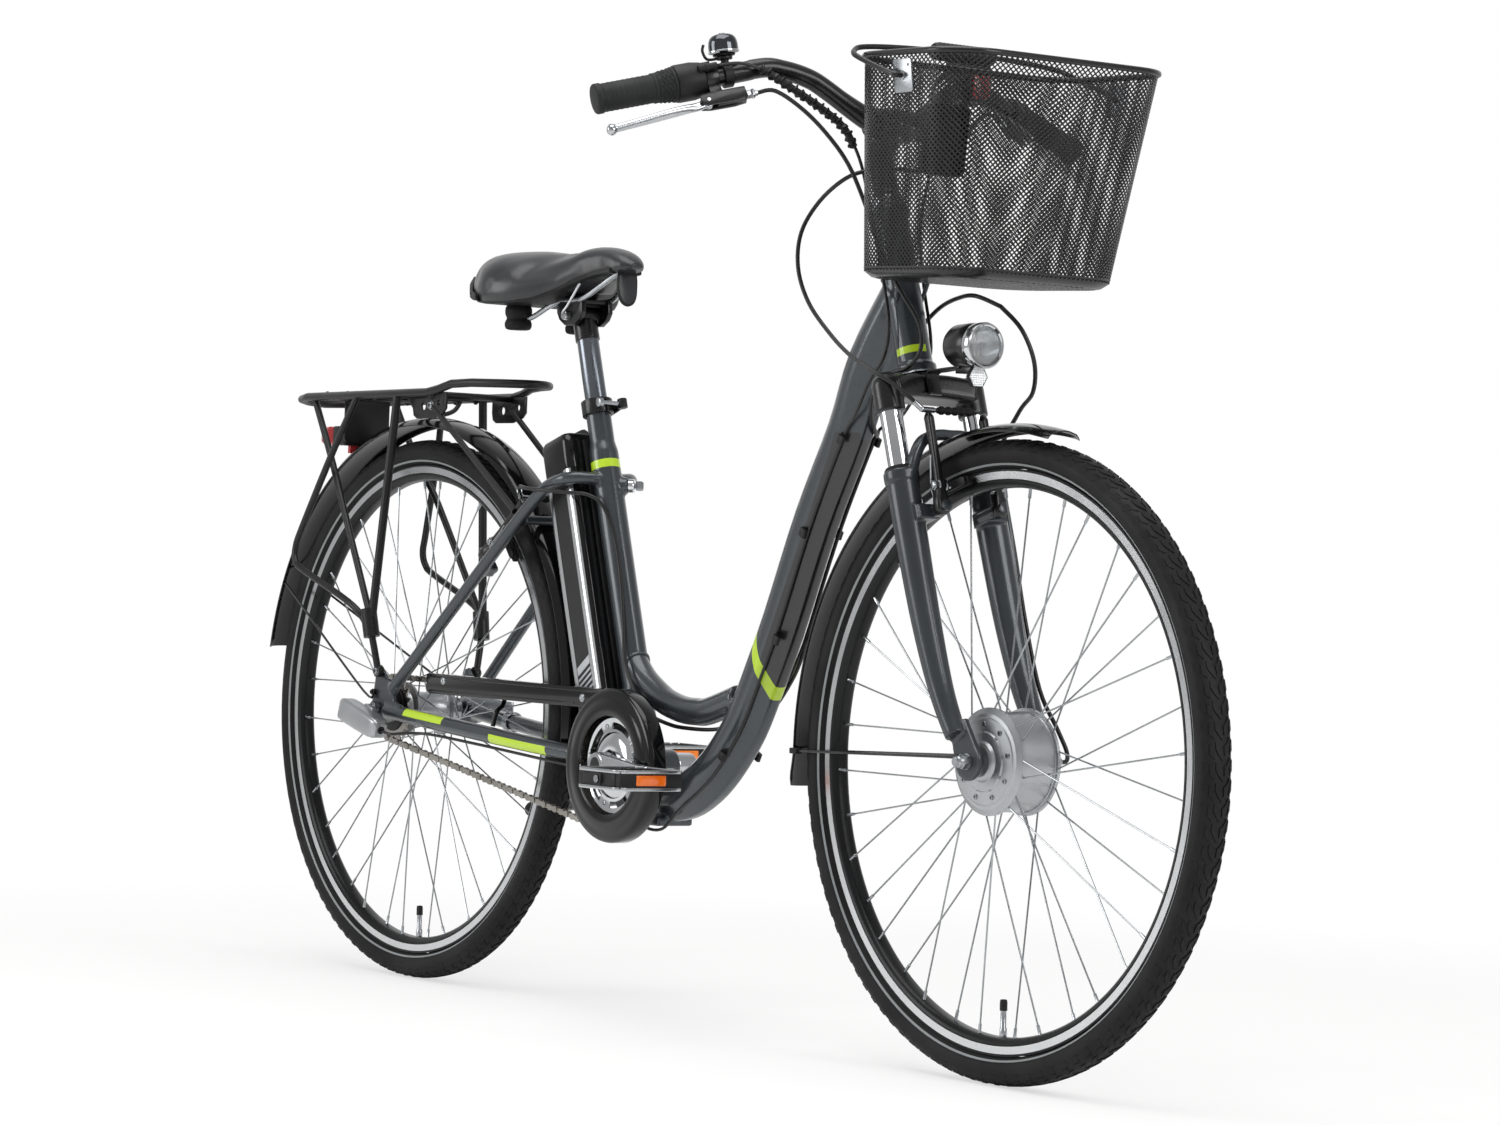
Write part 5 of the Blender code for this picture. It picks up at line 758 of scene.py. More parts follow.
# Black electrophoretic paint over steel or forged alloy: thin, semi gloss, slightly uneven.
black_enamel = plain_finish("black_enamel", "#0c0c0d", "#131314", 0.3, 1.0, 0.02,
                            **{"IOR": 1.5, "Specular IOR Level": 0.4, "Coat Weight": 0.2,
                               "Coat Roughness": 0.1})
# Zinc plated steel: bright blue white, with a soft crystalline mottle of about 3 mm.
zinc = plain_finish("zinc_plated_steel", "#b9bcc0", "#989ca0", 0.28, 3.0, 0.01, 0.4, **{"Metallic": 1.0})

crown_path = [steer(-0.036, LEG_FRONT, -LEG_SPACING), steer(-0.03, 0.008, -0.03), steer(-0.028, 0.004),
              steer(-0.03, 0.008, 0.03), steer(-0.036, LEG_FRONT, LEG_SPACING)]
crown = [section_tube(smooth(crown_path, 6), rounded(0.019, 0.014, 0.007), hint=STEER_UP),
         turned([(-0.024, 0.0235), (-0.0145, 0.0225), (-0.0123, 0.0215)], HEAD_BOTTOM, STEER_UP, 48)]
for y in (LEG_SPACING, -LEG_SPACING):
    crown.append(turned([(-0.062, 0.016), (-0.061, 0.0168), (-0.03, 0.0168), (-0.024, 0.015),
                         (-0.02, 0.011)], steer(0, LEG_FRONT, y), STEER_UP, 40))
crown_mesh = welded("fork_crown", crown, 0.0013, 4)
put("fork_crown_body", crown_mesh, black_enamel, "steering", ("fork_crown",))
steerer = turned([(-0.03, 0.0127), (STEERER_TOP, 0.0127), (STEERER_TOP, 0.0105), (0.128, 0.0105),
                  (0.128, 0.0)], HEAD_BOTTOM, STEER_UP, 40)
races = [turned([(-0.0118, 0.015), (-0.0118, 0.021), (-0.0098, 0.0226), (-0.012, 0.0232), (-0.0123, 0.015)],
                HEAD_BOTTOM, STEER_UP, 48, hole=True),
         turned([(HEADSET_TOP + 0.0003, 0.0128), (HEADSET_TOP + 0.0003, 0.02),
                 (HEADSET_TOP + 0.002, 0.0205), (HEADSET_TOP + 0.003, 0.019), (STEERER_TOP - 0.0045, 0.019),
                 (STEERER_TOP - 0.004, 0.018), (STEERER_TOP - 0.0005, 0.0175), (STEERER_TOP, 0.0165),
                 (STEERER_TOP, 0.0128)], HEAD_BOTTOM, STEER_UP, 48, hole=True)]
piece("steerer_tube", [steerer], zinc, "steering")
piece("headset_races", races, zinc, "steering", smooth_angle=30.0)
stanchions = [rod(steer(-0.225, LEG_FRONT, y), steer(-0.05, LEG_FRONT, y), STANCHION_RADIUS, 48)
              for y in (LEG_SPACING, -LEG_SPACING)]
piece("stanchions", stanchions, chrome, "steering")
preload = []
for y in (LEG_SPACING, -LEG_SPACING):
    preload.append(turned([(-0.0215, 0.0095), (-0.018, 0.0095), (-0.0172, 0.0088), (-0.0168, 0.0)],
                          steer(0, LEG_FRONT, y), STEER_UP, 20))
piece("leg_caps", preload, moulded_black, "steering")

lowers = []
seals = []
for y in (1, -1):
    stops = [(-0.13, LEG_FRONT), (-0.2, LEG_FRONT), (-0.3, 0.016), (-0.38, 0.022), (-0.436, 0.034)]
    leg_path = smooth([steer(s, f, y * LEG_SPACING) for s, f in stops], 6)
    lowers.append(tube(leg_path, smooth([0.0182, 0.0182, 0.0165, 0.014, 0.012], 6), 32))
    lowers.append(turned([(-0.144, 0.0188), (-0.142, 0.0198), (-0.132, 0.0198), (-0.13, 0.0188)],
                         steer(0, LEG_FRONT, y * LEG_SPACING), STEER_UP, 32))
    seals.append(turned([(-0.131, 0.0131), (-0.131, 0.0178), (-0.1285, 0.018), (-0.1262, 0.0165),
                         (-0.1262, 0.0131)], steer(0, LEG_FRONT, y * LEG_SPACING), STEER_UP, 36, hole=True))
    lowers.append(block(steer(FRONT_BRAKE_UP, 0.025, y * 0.0485), (0.03, 0.026, 0.017), STEER_FRONT, Y,
                        STEER_UP))
    drop_outline = [(0.021 * math.cos(math.radians(a)), 0.021 * math.sin(math.radians(a)))
                    for a in range(180, 391, 10)]
    drop_outline += [(0.008, 0.046), (-0.02, 0.05)]
    low = 0.05 if y > 0 else -0.056
    lowers.append(plate(drop_outline, low, low + 0.006, STEER_FRONT, STEER_UP, Y, FRONT_AXLE))
arch_path = [steer(-0.152, 0.022, -0.056), steer(-0.122, 0.034, -0.052), steer(-0.102, 0.0385, -0.04),
             steer(-0.0945, 0.039, -0.02), steer(-0.094, 0.039, 0.0)]
arch_path += [mirrored(point, -1) for point in reversed(arch_path[:-1])]
lowers.append(section_tube(smooth(arch_path, 5), rounded(0.006, 0.0062, 0.003), hint=STEER_FRONT))
bores = [rod(steer(-0.262, LEG_FRONT, y), steer(-0.1, LEG_FRONT, y), STANCHION_RADIUS + 0.0004, 40)
         for y in (LEG_SPACING, -LEG_SPACING)]
bores.append(rod(FRONT_AXLE - Y * 0.09, FRONT_AXLE + Y * 0.09, 0.0053, 24))
lowers_mesh = welded("fork_lowers", lowers, 0.0015, 4, bores)
front_posts = [brake_post(steer(FRONT_BRAKE_UP, 0), STEER_FRONT, y, 0.022, FRONT_BOSS_DEPTH)
               for y in (1, -1)]
lowers_mesh = gathered("fork_lowers", [lowers_mesh, mesh_from("front_posts", front_posts)])
put("fork_legs", lowers_mesh, fork_paint, "fork_lowers", ("fork_lowers",))
# Wiper seals: nitrile rubber rings pressed in the lowers, matt and slightly dusty.
rubber = plain_finish("black_rubber", "#0e0e0e", "#181818", 0.62, 0.7, 0.05,
                      **{"IOR": 1.5, "Specular IOR Level": 0.25})
piece("wiper_seals", seals, rubber, "fork_lowers")


# Wheels: 28 inch. A black anodised alloy rim with its brake track turned bright, 36 stainless spokes
# laced from the hub's flanges to plated nipples, and a black road tyre with a reflective line.
def wheel_ring(profile, axle, count=180):
    """A ring round a wheel from (across, radius) pairs that close on themselves."""
    return turned(profile, axle, Y, count, hole=True, side=-Z)


# Natural rubber tyre: matt black casing that greys with wear, with a fine 0.9 mm grain, and a
# light grey reflective line beside the bead.
tyre_rubber = plain_finish("tyre_rubber", "#0d0d0d", "#181818", 0.6, 0.9, 0.06, drift=(22.0, 6.0, 0.5, 0.7),
                           **{"IOR": 1.5, "Specular IOR Level": 0.25})
reflective_grey = plain_finish("reflective_line", "#8e9193", "#7d8082", 0.45, 0.6, 0.02, **{"IOR": 1.5})

# Anodised aluminium: deep black oxide, satin and even.
black_anodised = plain_finish("black_anodised_aluminium", "#0e0f10", "#17181a", 0.3, 0.8, 0.01,
                              **{"Metallic": 0.5})
# Turned brake track: bright aluminium with fine cutter marks, drawn as a 1 mm grain.
turned_track, tree, place = material("turned_aluminium")
surface(tree, place, tone("#d3d5d7"), 0.22, 1.0, 0.01, 0.5, **{"Metallic": 1.0})
# Stainless steel wire and screws: drawn or cold headed, a clean grey metal that stays bright.
stainless = plain_finish("stainless_steel", "#aeb1b4", "#94979a", 0.22, 1.0, 0.003, **{"Metallic": 1.0})

casing_half = [(0.0104, 0.3168), (0.0118, 0.318), (0.015, 0.3205), (0.0178, 0.325), (0.0193, 0.33),
               (0.019, 0.335), (0.0172, 0.34), (0.014, 0.3437), (0.0095, 0.3462), (0.0045, 0.3474),
               (0.0, 0.3477)]
casing_slope = casing_half[:3:-1]
line_half = [(0.01505, 0.32035), (0.01655, 0.32245), (0.01695, 0.3222), (0.01545, 0.3201)]
rim_profile = [(-0.0045, 0.2962), (0.0045, 0.2962), (0.0075, 0.2972), (0.0105, 0.3), (0.0118, 0.3035),
               (0.012, 0.3046), (0.0112, 0.3052), (0.0112, 0.3142), (0.012, 0.315), (0.012, 0.3163),
               (0.01, 0.3163), (0.0095, 0.308), (-0.0095, 0.308), (-0.01, 0.3163), (-0.012, 0.3163),
               (-0.012, 0.315), (-0.0112, 0.3142), (-0.0112, 0.3052), (-0.012, 0.3046), (-0.0118, 0.3035),
               (-0.0105, 0.3), (-0.0075, 0.2972)]


def along_line(line, x):
    """The height of a run of (x, height) corners at x."""
    for (x0, z0), (x1, z1) in zip(line, line[1:]):
        if x <= x1:
            return z0 + (z1 - z0) * (x - x0) / (x1 - x0)
    return line[-1][1]


def tread_block(axle, angle, corners, height):
    """One raised block, whose (across, ahead) corners stand on the casing."""
    ring_low = []
    ring_high = []
    for across, ahead in corners:
        turn = angle + ahead / WHEEL_RADIUS
        radial = spoke_way(turn)
        lean = (radial + Y * (0.9 * (across / 0.0185) ** 3)).normalized()
        foot = axle + Y * across + radial * along_line(casing_slope, abs(across))
        ring_low.append(foot - lean * 0.0009)
        ring_high.append(foot + lean * height)
    return skin([ring_low, ring_high])


def tread(axle):
    """Chevron bars either side of a centre groove, with slanted blocks over both shoulders."""
    blocks = []
    bars = 104
    for k in range(bars):
        for y in (1, -1):
            turn = math.tau * (k + 0.125 + 0.125 * y) / bars
            bar = [(0.0009 * y, 0.0), (0.0035 * y, 0.0025), (0.0065 * y, 0.0065), (0.0092 * y, 0.012),
                   (0.0092 * y, 0.0196), (0.0065 * y, 0.0146), (0.0035 * y, 0.011), (0.0009 * y, 0.0095)]
            blocks.append(tread_block(axle, turn, bar, 0.0012))
            shoulder = [(0.0103 * y, 0.001), (0.0143 * y, 0.0062), (0.0143 * y, 0.0168),
                        (0.0103 * y, 0.0106)]
            blocks.append(tread_block(axle, turn, shoulder, 0.001))
            knob = [(0.0153 * y, 0.0074), (0.0186 * y, 0.012), (0.0186 * y, 0.0196), (0.0153 * y, 0.018)]
            blocks.append(tread_block(axle, turn, knob, 0.0006))
    return blocks


SPOKES = 36


def wheel(prefix, axle, body, hole_radius, flange_in, flange_out, lead):
    """The tyre with its tread, the rim, the spokes with their nipples, and the valve."""
    mirror = [(-across, radius) for across, radius in reversed(casing_half[:-1])]
    inside = [(-0.01, 0.3185), (-0.0165, 0.33), (-0.011, 0.341), (0.0, 0.3445), (0.011, 0.341),
              (0.0165, 0.33), (0.01, 0.3185)]
    casing = wheel_ring(casing_half + mirror + inside, axle, 200)
    piece(prefix + "_tyre_casing", [casing] + tread(axle), tyre_rubber, body, (prefix + "_tyre",))
    lines = [wheel_ring([(a * y, r) for a, r in line_half], axle, 160) for y in (1, -1)]
    piece(prefix + "_tyre_line", lines, reflective_grey, body)
    piece(prefix + "_rim_hoop", [wheel_ring(rim_profile, axle)], black_anodised, body, (prefix + "_rim",))
    tracks = []
    for y in (1, -1):
        track = [(0.01115, 0.3054), (0.01185, 0.3056), (0.01185, 0.3138), (0.01115, 0.314)]
        tracks.append(wheel_ring([(a * y, r) for a, r in track], axle))
    piece(prefix + "_brake_track", tracks, turned_track, body, smooth_angle=25.0)
    wires = []
    nipples = []
    for k in range(SPOKES):
        face = 1.0 if k % 2 else -1.0
        turn = 1.0 if (k // 2) % 2 else -1.0
        rim_angle = math.tau * (k + 0.5) / SPOKES
        hub_angle = rim_angle + turn * math.radians(lead)
        level = flange_out if turn > 0.0 else flange_in
        start = axle + Y * (face * level) + spoke_way(hub_angle) * hole_radius
        end = axle + Y * (face * 0.0035) + spoke_way(rim_angle) * 0.2957
        along = (end - start).normalized()
        head = start - Y * (face * (level - (flange_in + flange_out) / 2.0) * 2.0)
        wires.append(tube([head, start + along * 0.0008, start + along * 0.004, end], 0.001, 8, hint=Y))
        wires.append(turned([(-0.0006, 0.0008), (0.0, 0.0019), (0.0008, 0.0016), (0.0012, 0.0)], head,
                            (head - start).normalized(), 8))
        nipples.append(turned([(0.0, 0.0013), (0.0004, 0.0018), (0.0095, 0.0018), (0.0115, 0.0026),
                               (0.0125, 0.0024)], end - along * 0.01, along, 8))
    piece(prefix + "_spokes", wires, stainless, body)
    piece(prefix + "_nipples", nipples, zinc, body, smooth_angle=30.0)
    valve_way = spoke_way(math.radians(-88.0))
    stem = turned([(0.0, 0.0035), (0.002, 0.004), (0.01, 0.004), (0.011, 0.0032), (0.03, 0.0032)],
                  axle + valve_way * 0.297, -valve_way, 20)
    cap = turned([(0.0, 0.0042), (0.009, 0.0042), (0.012, 0.0036), (0.0125, 0.0)], axle + valve_way * 0.268,
                 -valve_way, 12)
    piece(prefix + "_valve", [stem], zinc, body)
    piece(prefix + "_valve_cap", [cap], moulded_black, body, smooth_angle=25.0)


wheel("rear", REAR_AXLE, "rear_wheel", 0.031, 0.0262, 0.0283, 58.0)
wheel("front", FRONT_AXLE, "front_wheel", 0.056, 0.0234, 0.0256, 20.0)

# Hub motor: two die cast aluminium covers, turned in steps and lacquered silver, with small socket
# screws round each. The rear hub is one polished alloy shell with a pressed dust cap on each side.
cast_silver = plain_finish("silver_lacquered_casting", "#b4b6b9", "#a2a5a8", 0.34, 1.4, 0.02,
                           **{"Metallic": 0.9})


def both_sides(half):
    """A profile and its mirror image about the wheel's middle plane."""
    return [(-along, radius) for along, radius in reversed(half[1:])] + half


motor_half = [(0.0, 0.0545), (0.0215, 0.0545), (0.0222, 0.0552), (0.0226, 0.0583), (0.0262, 0.0585),
              (0.027, 0.0575), (0.0285, 0.054), (0.03, 0.052), (0.0306, 0.048), (0.0318, 0.0465),
              (0.033, 0.033), (0.0344, 0.0315), (0.035, 0.0225), (0.038, 0.0205), (0.0398, 0.0172),
              (0.0398, 0.0068)]
motor = [turned(both_sides(motor_half), FRONT_AXLE, Y, 96, hole=True)]
motor_screws = []
for y in (1, -1):
    for k in range(9):
        way = spoke_way(math.tau * (k + 0.3) / 9.0)
        center = FRONT_AXLE + way * 0.0405 + Y * (0.0312 * y)
        motor_screws.append(turned([(0.0, 0.003), (0.0022, 0.003), (0.0026, 0.0026), (0.0026, 0.0014),
                                    (0.0012, 0.0014), (0.0012, 0.0)], center, Y * y, 14))
        motor.append(block(FRONT_AXLE + way * 0.0275 + Y * (0.0332 * y), (0.012, 0.003, 0.0022), way,
                           way.cross(Y), Y))
piece("hub_motor_covers", motor, cast_silver, "front_wheel", ("hub_motor",),
      smooth_angle=25.0)
piece("hub_motor_screws", motor_screws, stainless, "front_wheel", smooth_angle=25.0)
hub_half = [(0.0, 0.0215), (0.02, 0.0218), (0.0248, 0.024), (0.0252, 0.0335), (0.0258, 0.034),
            (0.0286, 0.034), (0.0291, 0.0332), (0.0296, 0.0238), (0.033, 0.022), (0.042, 0.016),
            (0.0495, 0.0155), (0.0503, 0.0145), (0.0503, 0.0056)]
piece("rear_hub_shell", [turned(both_sides(hub_half), REAR_AXLE, Y, 72, hole=True)], cast_silver,
      "rear_wheel", ("rear_hub",), smooth_angle=25.0)


# Axles: threaded steel, with thin cone nuts inside and acorn or hexagon nuts outside the dropouts.
def hexagon(center, axis, low, high, radius):
    """A six sided nut with its corners turned off."""
    profile = [(low, radius * 0.9), (low + 0.0006, radius), (high - 0.0006, radius), (high, radius * 0.9)]
    return turned(profile, center, axis, 6)


front_axle = [rod(FRONT_AXLE - Y * 0.0735, FRONT_AXLE + Y * 0.0735, 0.005, 24)]
rear_axle = [rod(REAR_AXLE - Y * 0.086, REAR_AXLE + Y * 0.08, 0.005, 24)]
for y in (1, -1):
    front_axle.append(hexagon(FRONT_AXLE, Y * y, 0.0403, 0.0497, 0.0092))
    front_axle.append(turned([(0.0563, 0.0052), (0.0563, 0.0088), (0.0576, 0.0088), (0.0578, 0.0052)],
                             FRONT_AXLE, Y * y, 28, hole=True))
    front_axle.append(hexagon(FRONT_AXLE, Y * y, 0.0578, 0.065, 0.0085))
    front_axle.append(turned([(0.0648, 0.007), (0.069, 0.0064), (0.0722, 0.0042), (0.0738, 0.0)],
                             FRONT_AXLE, Y * y, 24))
    rear_axle.append(hexagon(REAR_AXLE, Y * y, 0.0508, 0.063, 0.0092))
    rear_axle.append(hexagon(REAR_AXLE, Y * y, 0.0715, 0.0785, 0.0085))
piece("front_axle_nuts", front_axle, zinc, "fork_lowers", ("front_axle",), smooth_angle=25.0)
piece("rear_axle_nuts", rear_axle, zinc, "frame", smooth_angle=25.0)

# Mudguards: extruded strip of black polycarbonate with a rolled edge, bent to the wheel's radius.
# It is polished in the mould, so it mirrors softly. Two black wires hold each one at the dropouts.
black_polycarbonate = plain_finish("polished_polycarbonate", "#080809", "#0e0e0f", 0.12, 2.5, 0.008,
                                   **{"IOR": 1.58, "Specular IOR Level": 0.3, "Coat Weight": 0.12,
                                      "Coat Roughness": 0.05})
FENDER_SHEET = 0.0014


def mudguard(axle, first, last, steps, edge, crown, flap):
    """A thin arched strip round a wheel; edge and crown are (half width, radius) of its section."""
    half_outer = [(0.0, crown), (0.3 * edge[0], crown - 0.0006), (0.55 * edge[0], crown - 0.0022),
                  (0.76 * edge[0], edge[1] + 0.66 * (crown - edge[1])), (0.92 * edge[0], edge[1] + 0.0035),
                  (edge[0], edge[1] + 0.001), (edge[0] - 0.0003, edge[1])]
    half_inner = [(edge[0] - 0.0014, edge[1] + 0.0004), (0.9 * edge[0] - 0.001, edge[1] + 0.0034),
                  (0.75 * edge[0] - 0.0006, edge[1] + 0.64 * (crown - edge[1]) - 0.001),
                  (0.54 * edge[0], crown - 0.0022 - FENDER_SHEET),
                  (0.29 * edge[0], crown - 0.0006 - FENDER_SHEET), (0.0, crown - FENDER_SHEET)]
    outline = half_outer + half_inner
    outline += [(-u, v) for u, v in reversed(half_outer[1:] + half_inner[:-1])]
    rings = []
    for k in range(steps + 1):
        radial = spoke_way(math.radians(first + (last - first) * k / steps))
        flare = flap * max(0.0, (k - steps * 0.94) / (steps * 0.06)) ** 1.5
        closing = 1.0
        if flap or k < steps / 2:
            closing = min(1.0, 0.86 + 0.14 * math.sqrt(min(k, steps - k) / (steps * 0.02)))
        rings.append([axle + Y * (y * closing) + radial * (r + flare) for y, r in outline])
    return skin(rings)


def stay_wire(start, end, y, eye_low):
    """A wire stay that ends in a flattened eye on the dropout's outer face."""
    before = end - X * 0.024
    foot = Vector((end.x, eye_low * y, end.z))
    wire = tube(smooth([start, start + (before - start) * 0.25, before, end], 5), 0.0016, 12)
    eye = turned([(0.0, 0.0036), (0.0004, 0.0042), (0.003, 0.0042), (0.0034, 0.0036)], foot, Y * y, 20)
    bolt = turned([(0.003, 0.0), (0.003, 0.003), (0.0052, 0.003), (0.0058, 0.0024), (0.0058, 0.0013),
                   (0.0042, 0.0012), (0.0042, 0.0)], foot, Y * y, 20)
    return [wire, eye, bolt]


def clasp(start, end, width):
    """The moulded tab that grips the wire at the guard's edge."""
    way = (end - start).normalized()
    return section_tube([start - way * 0.004, start + way * 0.01], rounded(0.0034, width, 0.0015), hint=Y)


front_guard = [mudguard(FRONT_AXLE, 78.0, 187.5, 90, (0.026, 0.3555), 0.366, 0.01)]
rear_guard = [mudguard(REAR_AXLE, -7.0, 169.6, 120, (0.027, 0.366), 0.378, 0.0)]
front_wires = []
rear_wires = []
clasps = []
for y in (1, -1):
    start = FRONT_AXLE + Vector((-0.3592, 0.0222 * y, -0.008))
    end = FRONT_AXLE + Vector((-0.013, 0.0581 * y, 0.003))
    front_wires += stay_wire(start, end, y, 0.0563)
    clasps.append(clasp(start, end, 0.0042))
    start = REAR_AXLE + spoke_way(math.radians(155.0)) * 0.3695 + Y * (0.0233 * y)
    end = REAR_AXLE + Vector((-0.009, 0.0716 * y, 0.02))
    rear_wires += stay_wire(start, end, y, 0.0698)
piece("front_mudguard", front_guard, black_polycarbonate, "fork_lowers", ("front_fender",),
      smooth_angle=50.0)
piece("front_mudguard_wires", front_wires, black_enamel, "fork_lowers",
      smooth_angle=30.0)
piece("front_mudguard_clasps", clasps, moulded_black, "fork_lowers", bevel=0.0004)
piece("rear_mudguard", rear_guard, black_polycarbonate, "frame", ("rear_fender",),
      smooth_angle=50.0)
piece("rear_mudguard_wires", rear_wires, black_enamel, "frame", smooth_angle=30.0)
# Pop rivets of soft aluminium, in two pairs on the rear guard's crown.
rivets = []
for turn in (165.0, 120.0):
    way = spoke_way(math.radians(turn))
    for y in (0.006, -0.006):
        rivets.append(turned([(0.0, 0.0034), (0.001, 0.003), (0.0016, 0.0016), (0.0017, 0.0)],
                             REAR_AXLE + way * 0.3767 + Y * y, way, 20))
piece("mudguard_rivets", rivets, zinc, "frame")


# Rim brakes: V arms of forged alloy under black enamel on pins at the boss, with rubber pads on
# threaded posts. The cable ends in a ribbed boot between the arms, and a bent steel noodle leads it.
BRAKE_TRACK_RADIUS = 0.309


def brake_arm(end, origin, radial, outward, y, pivot_up, depth):
    """One arm with its return spring, pad, pad holder, dished washers and nut."""
    side = "left" if y > 0 else "right"
    name = end + "_arm_" + side
    body = end + "_brake_arm_" + side
    low = depth + 0.0003
    middle = low + 0.006
    pivot = origin + radial * pivot_up
    stations = [(-0.0085, 0.0365, 0.0445, 0.3), (-0.004, 0.0325, 0.0485, 0.85), (0.006, 0.0325, 0.049, 1.0),
                (0.014, 0.033, 0.047, 1.0), (0.03, 0.0345, 0.0445, 0.86), (0.07, 0.0345, 0.0425, 0.8),
                (0.098, 0.034, 0.042, 0.86), (0.104, 0.0345, 0.042, 0.84), (0.1095, 0.0365, 0.04, 0.4)]
    points = smooth([Vector(station[:3]) for station in stations], 4)
    bulks = smooth([station[3] for station in stations], 4)
    path = []
    outlines = []
    for (v, inner, outer), bulk in zip(points, bulks):
        path.append(pivot + radial * v + Y * (y * (inner + outer) / 2.0) + outward * middle)
        half = (outer - inner) / 2.0
        outlines.append(rounded(0.006 * min(1.0, bulk), half, min(half, 0.006 * bulk) * 0.55, 4))
    arm = section_tube(path, outlines, hint=Y)
    bore = rod(pivot + Y * (0.04 * y), pivot + Y * (0.04 * y) + outward * 0.09, 0.0044, 24)
    arm_mesh = drilled(mesh_from("arm", [arm]), [bore])
    rise = math.sqrt(BRAKE_TRACK_RADIUS ** 2 - 0.015 ** 2)
    center = origin + radial * rise + outward * middle
    stack = [rod(center + Y * (0.035 * y), center + Y * (0.0225 * y), 0.0032, 20),
             turned([(0.0345, 0.0034), (0.0345, 0.007), (0.0328, 0.0074), (0.03, 0.006), (0.03, 0.0034)],
                    center, Y * y, 28, hole=True),
             turned([(0.0424, 0.0034), (0.0424, 0.0072), (0.044, 0.0064), (0.044, 0.0034)],
                    center, Y * y, 28, hole=True),
             hexagon(center, Y * y, 0.044, 0.0478, 0.0058),
             turned([(0.0478, 0.0042), (0.0492, 0.0038), (0.0495, 0.0028), (0.0495, 0.0)],
                    center, Y * y, 20)]
    pad_center = center + Y * (0.0175 * y)
    pad_rings = []
    for share in (-1.0, -0.92, -0.5, 0.0, 0.5, 0.92, 1.0):
        taper = 0.72 if abs(share) > 0.99 else 1.0
        offset = outward * (0.027 * share) - radial * (0.0012 * share * share)
        pad_rings.append([pad_center + offset + Y * (u * y) + radial * (v * taper)
                          for u, v in rounded(0.003, 0.0052, 0.0014, 3)])
    pad = [skin(pad_rings)]
    for share in (-0.55, -0.28, 0.28, 0.55):
        pad.append(block(pad_center + outward * (0.027 * share) + Y * (0.0003 * y),
                         (0.0012, 0.0062, 0.0106), outward, Y, radial))
    holder_center = pad_center + Y * (0.0046 * y)
    holder = section_tube([holder_center - outward * 0.024, holder_center - outward * 0.02,
                           holder_center + outward * 0.02, holder_center + outward * 0.024],
                          [rounded(w, h, 0.0008, 3)
                           for w, h in ((0.0014, 0.003), (0.0019, 0.0046), (0.0019, 0.0046),
                                        (0.0014, 0.003))], hint=radial)
    spring_path = [pivot + Y * (0.0405 * y) + outward * (low - 0.004) + radial * 0.009,
                   pivot + Y * (0.047 * y) + outward * (low + 0.001) + radial * 0.022,
                   pivot + Y * (0.045 * y) + outward * (low + 0.003) + radial * 0.045,
                   pivot + Y * (0.0435 * y) + outward * (low + 0.005) + radial * 0.06]
    cup = turned([(low - 0.0012, 0.0046), (low - 0.0012, 0.0082), (low + 0.001, 0.0088),
                  (low + 0.0035, 0.0088), (low + 0.0035, 0.0046)], pivot + Y * (0.04 * y), outward, 28,
                 hole=True)
    mesh = gathered(name, [arm_mesh, mesh_from("cup", [cup])])
    put(name, mesh, black_enamel, body, (body,), smooth_angle=45.0)
    piece(name + "_pad", pad, rubber, body, bevel=0.0003)
    piece(name + "_pad_holder", [holder], moulded_black, body)
    piece(name + "_nuts", stack, stainless, body, smooth_angle=30.0)
    piece(name + "_spring", [tube(smooth(spring_path, 5), 0.0009, 10)], stainless, body)


brake_origin = FRONT_AXLE - STEER_FRONT * FORK_RAKE
for y in (1, -1):
    brake_arm("front", brake_origin, STEER_UP, STEER_FRONT, y, 0.284, FRONT_BOSS_DEPTH)
    brake_arm("rear", REAR_AXLE, REAR_RADIAL, REAR_BEHIND, y, REAR_BRAKE_UP, REAR_BOSS_DEPTH)


# Handlebar: 22.2 mm alloy tube, swept back and bulged to 25.4 mm at the stem, under black enamel.
# The quill stem is a welded alloy column with a reach and a two bolt clamp round the bulge.
BAR_CENTER = steer(0.275, 0.034)
BAR_BENDS = [(0.957, 0.026, 1.0515), (0.947, 0.052, 1.066), (0.935, 0.085, 1.088), (0.931, 0.1, 1.0955),
             (0.926, 0.116, 1.1005), (0.923, 0.131, 1.103), (0.9195, 0.148, 1.1045), (0.915, 0.167, 1.101),
             (0.9096, 0.187, 1.095)]
BAR_SWEEP = Vector((-0.0415, 0.128, -0.0335)).normalized()
LEVER_CLAMP = (0.0232, 0.0382)
HOUSING = (0.0388, 0.0718)
TWIST = (0.0721, 0.0934)
GRIP_START = 0.0937
BAR_END = 0.1617
LEVER_DEPTH = 0.031
PULL = Vector((-0.022, 0.0, 0.0325)).normalized()


def bar_point(along, y):
    """A point on the straight end of the bar, given along it."""
    return mirrored(at(*BAR_BENDS[-1]) + BAR_SWEEP * along, y)


def bar_way(y):
    """The direction outward along the bar."""
    return mirrored(BAR_SWEEP, y)


def lever_axes(y):
    """Outward along the bar, from the lever to the bar, and the lever's pivot axis."""
    out = bar_way(y)
    pull = (PULL - out * PULL.dot(out)).normalized()
    return out, pull, out.cross(pull)


def lever_point(along, depth, y):
    """A point given along the bar and away from it, on the lever's side."""
    return bar_point(along, y) - lever_axes(y)[1] * depth


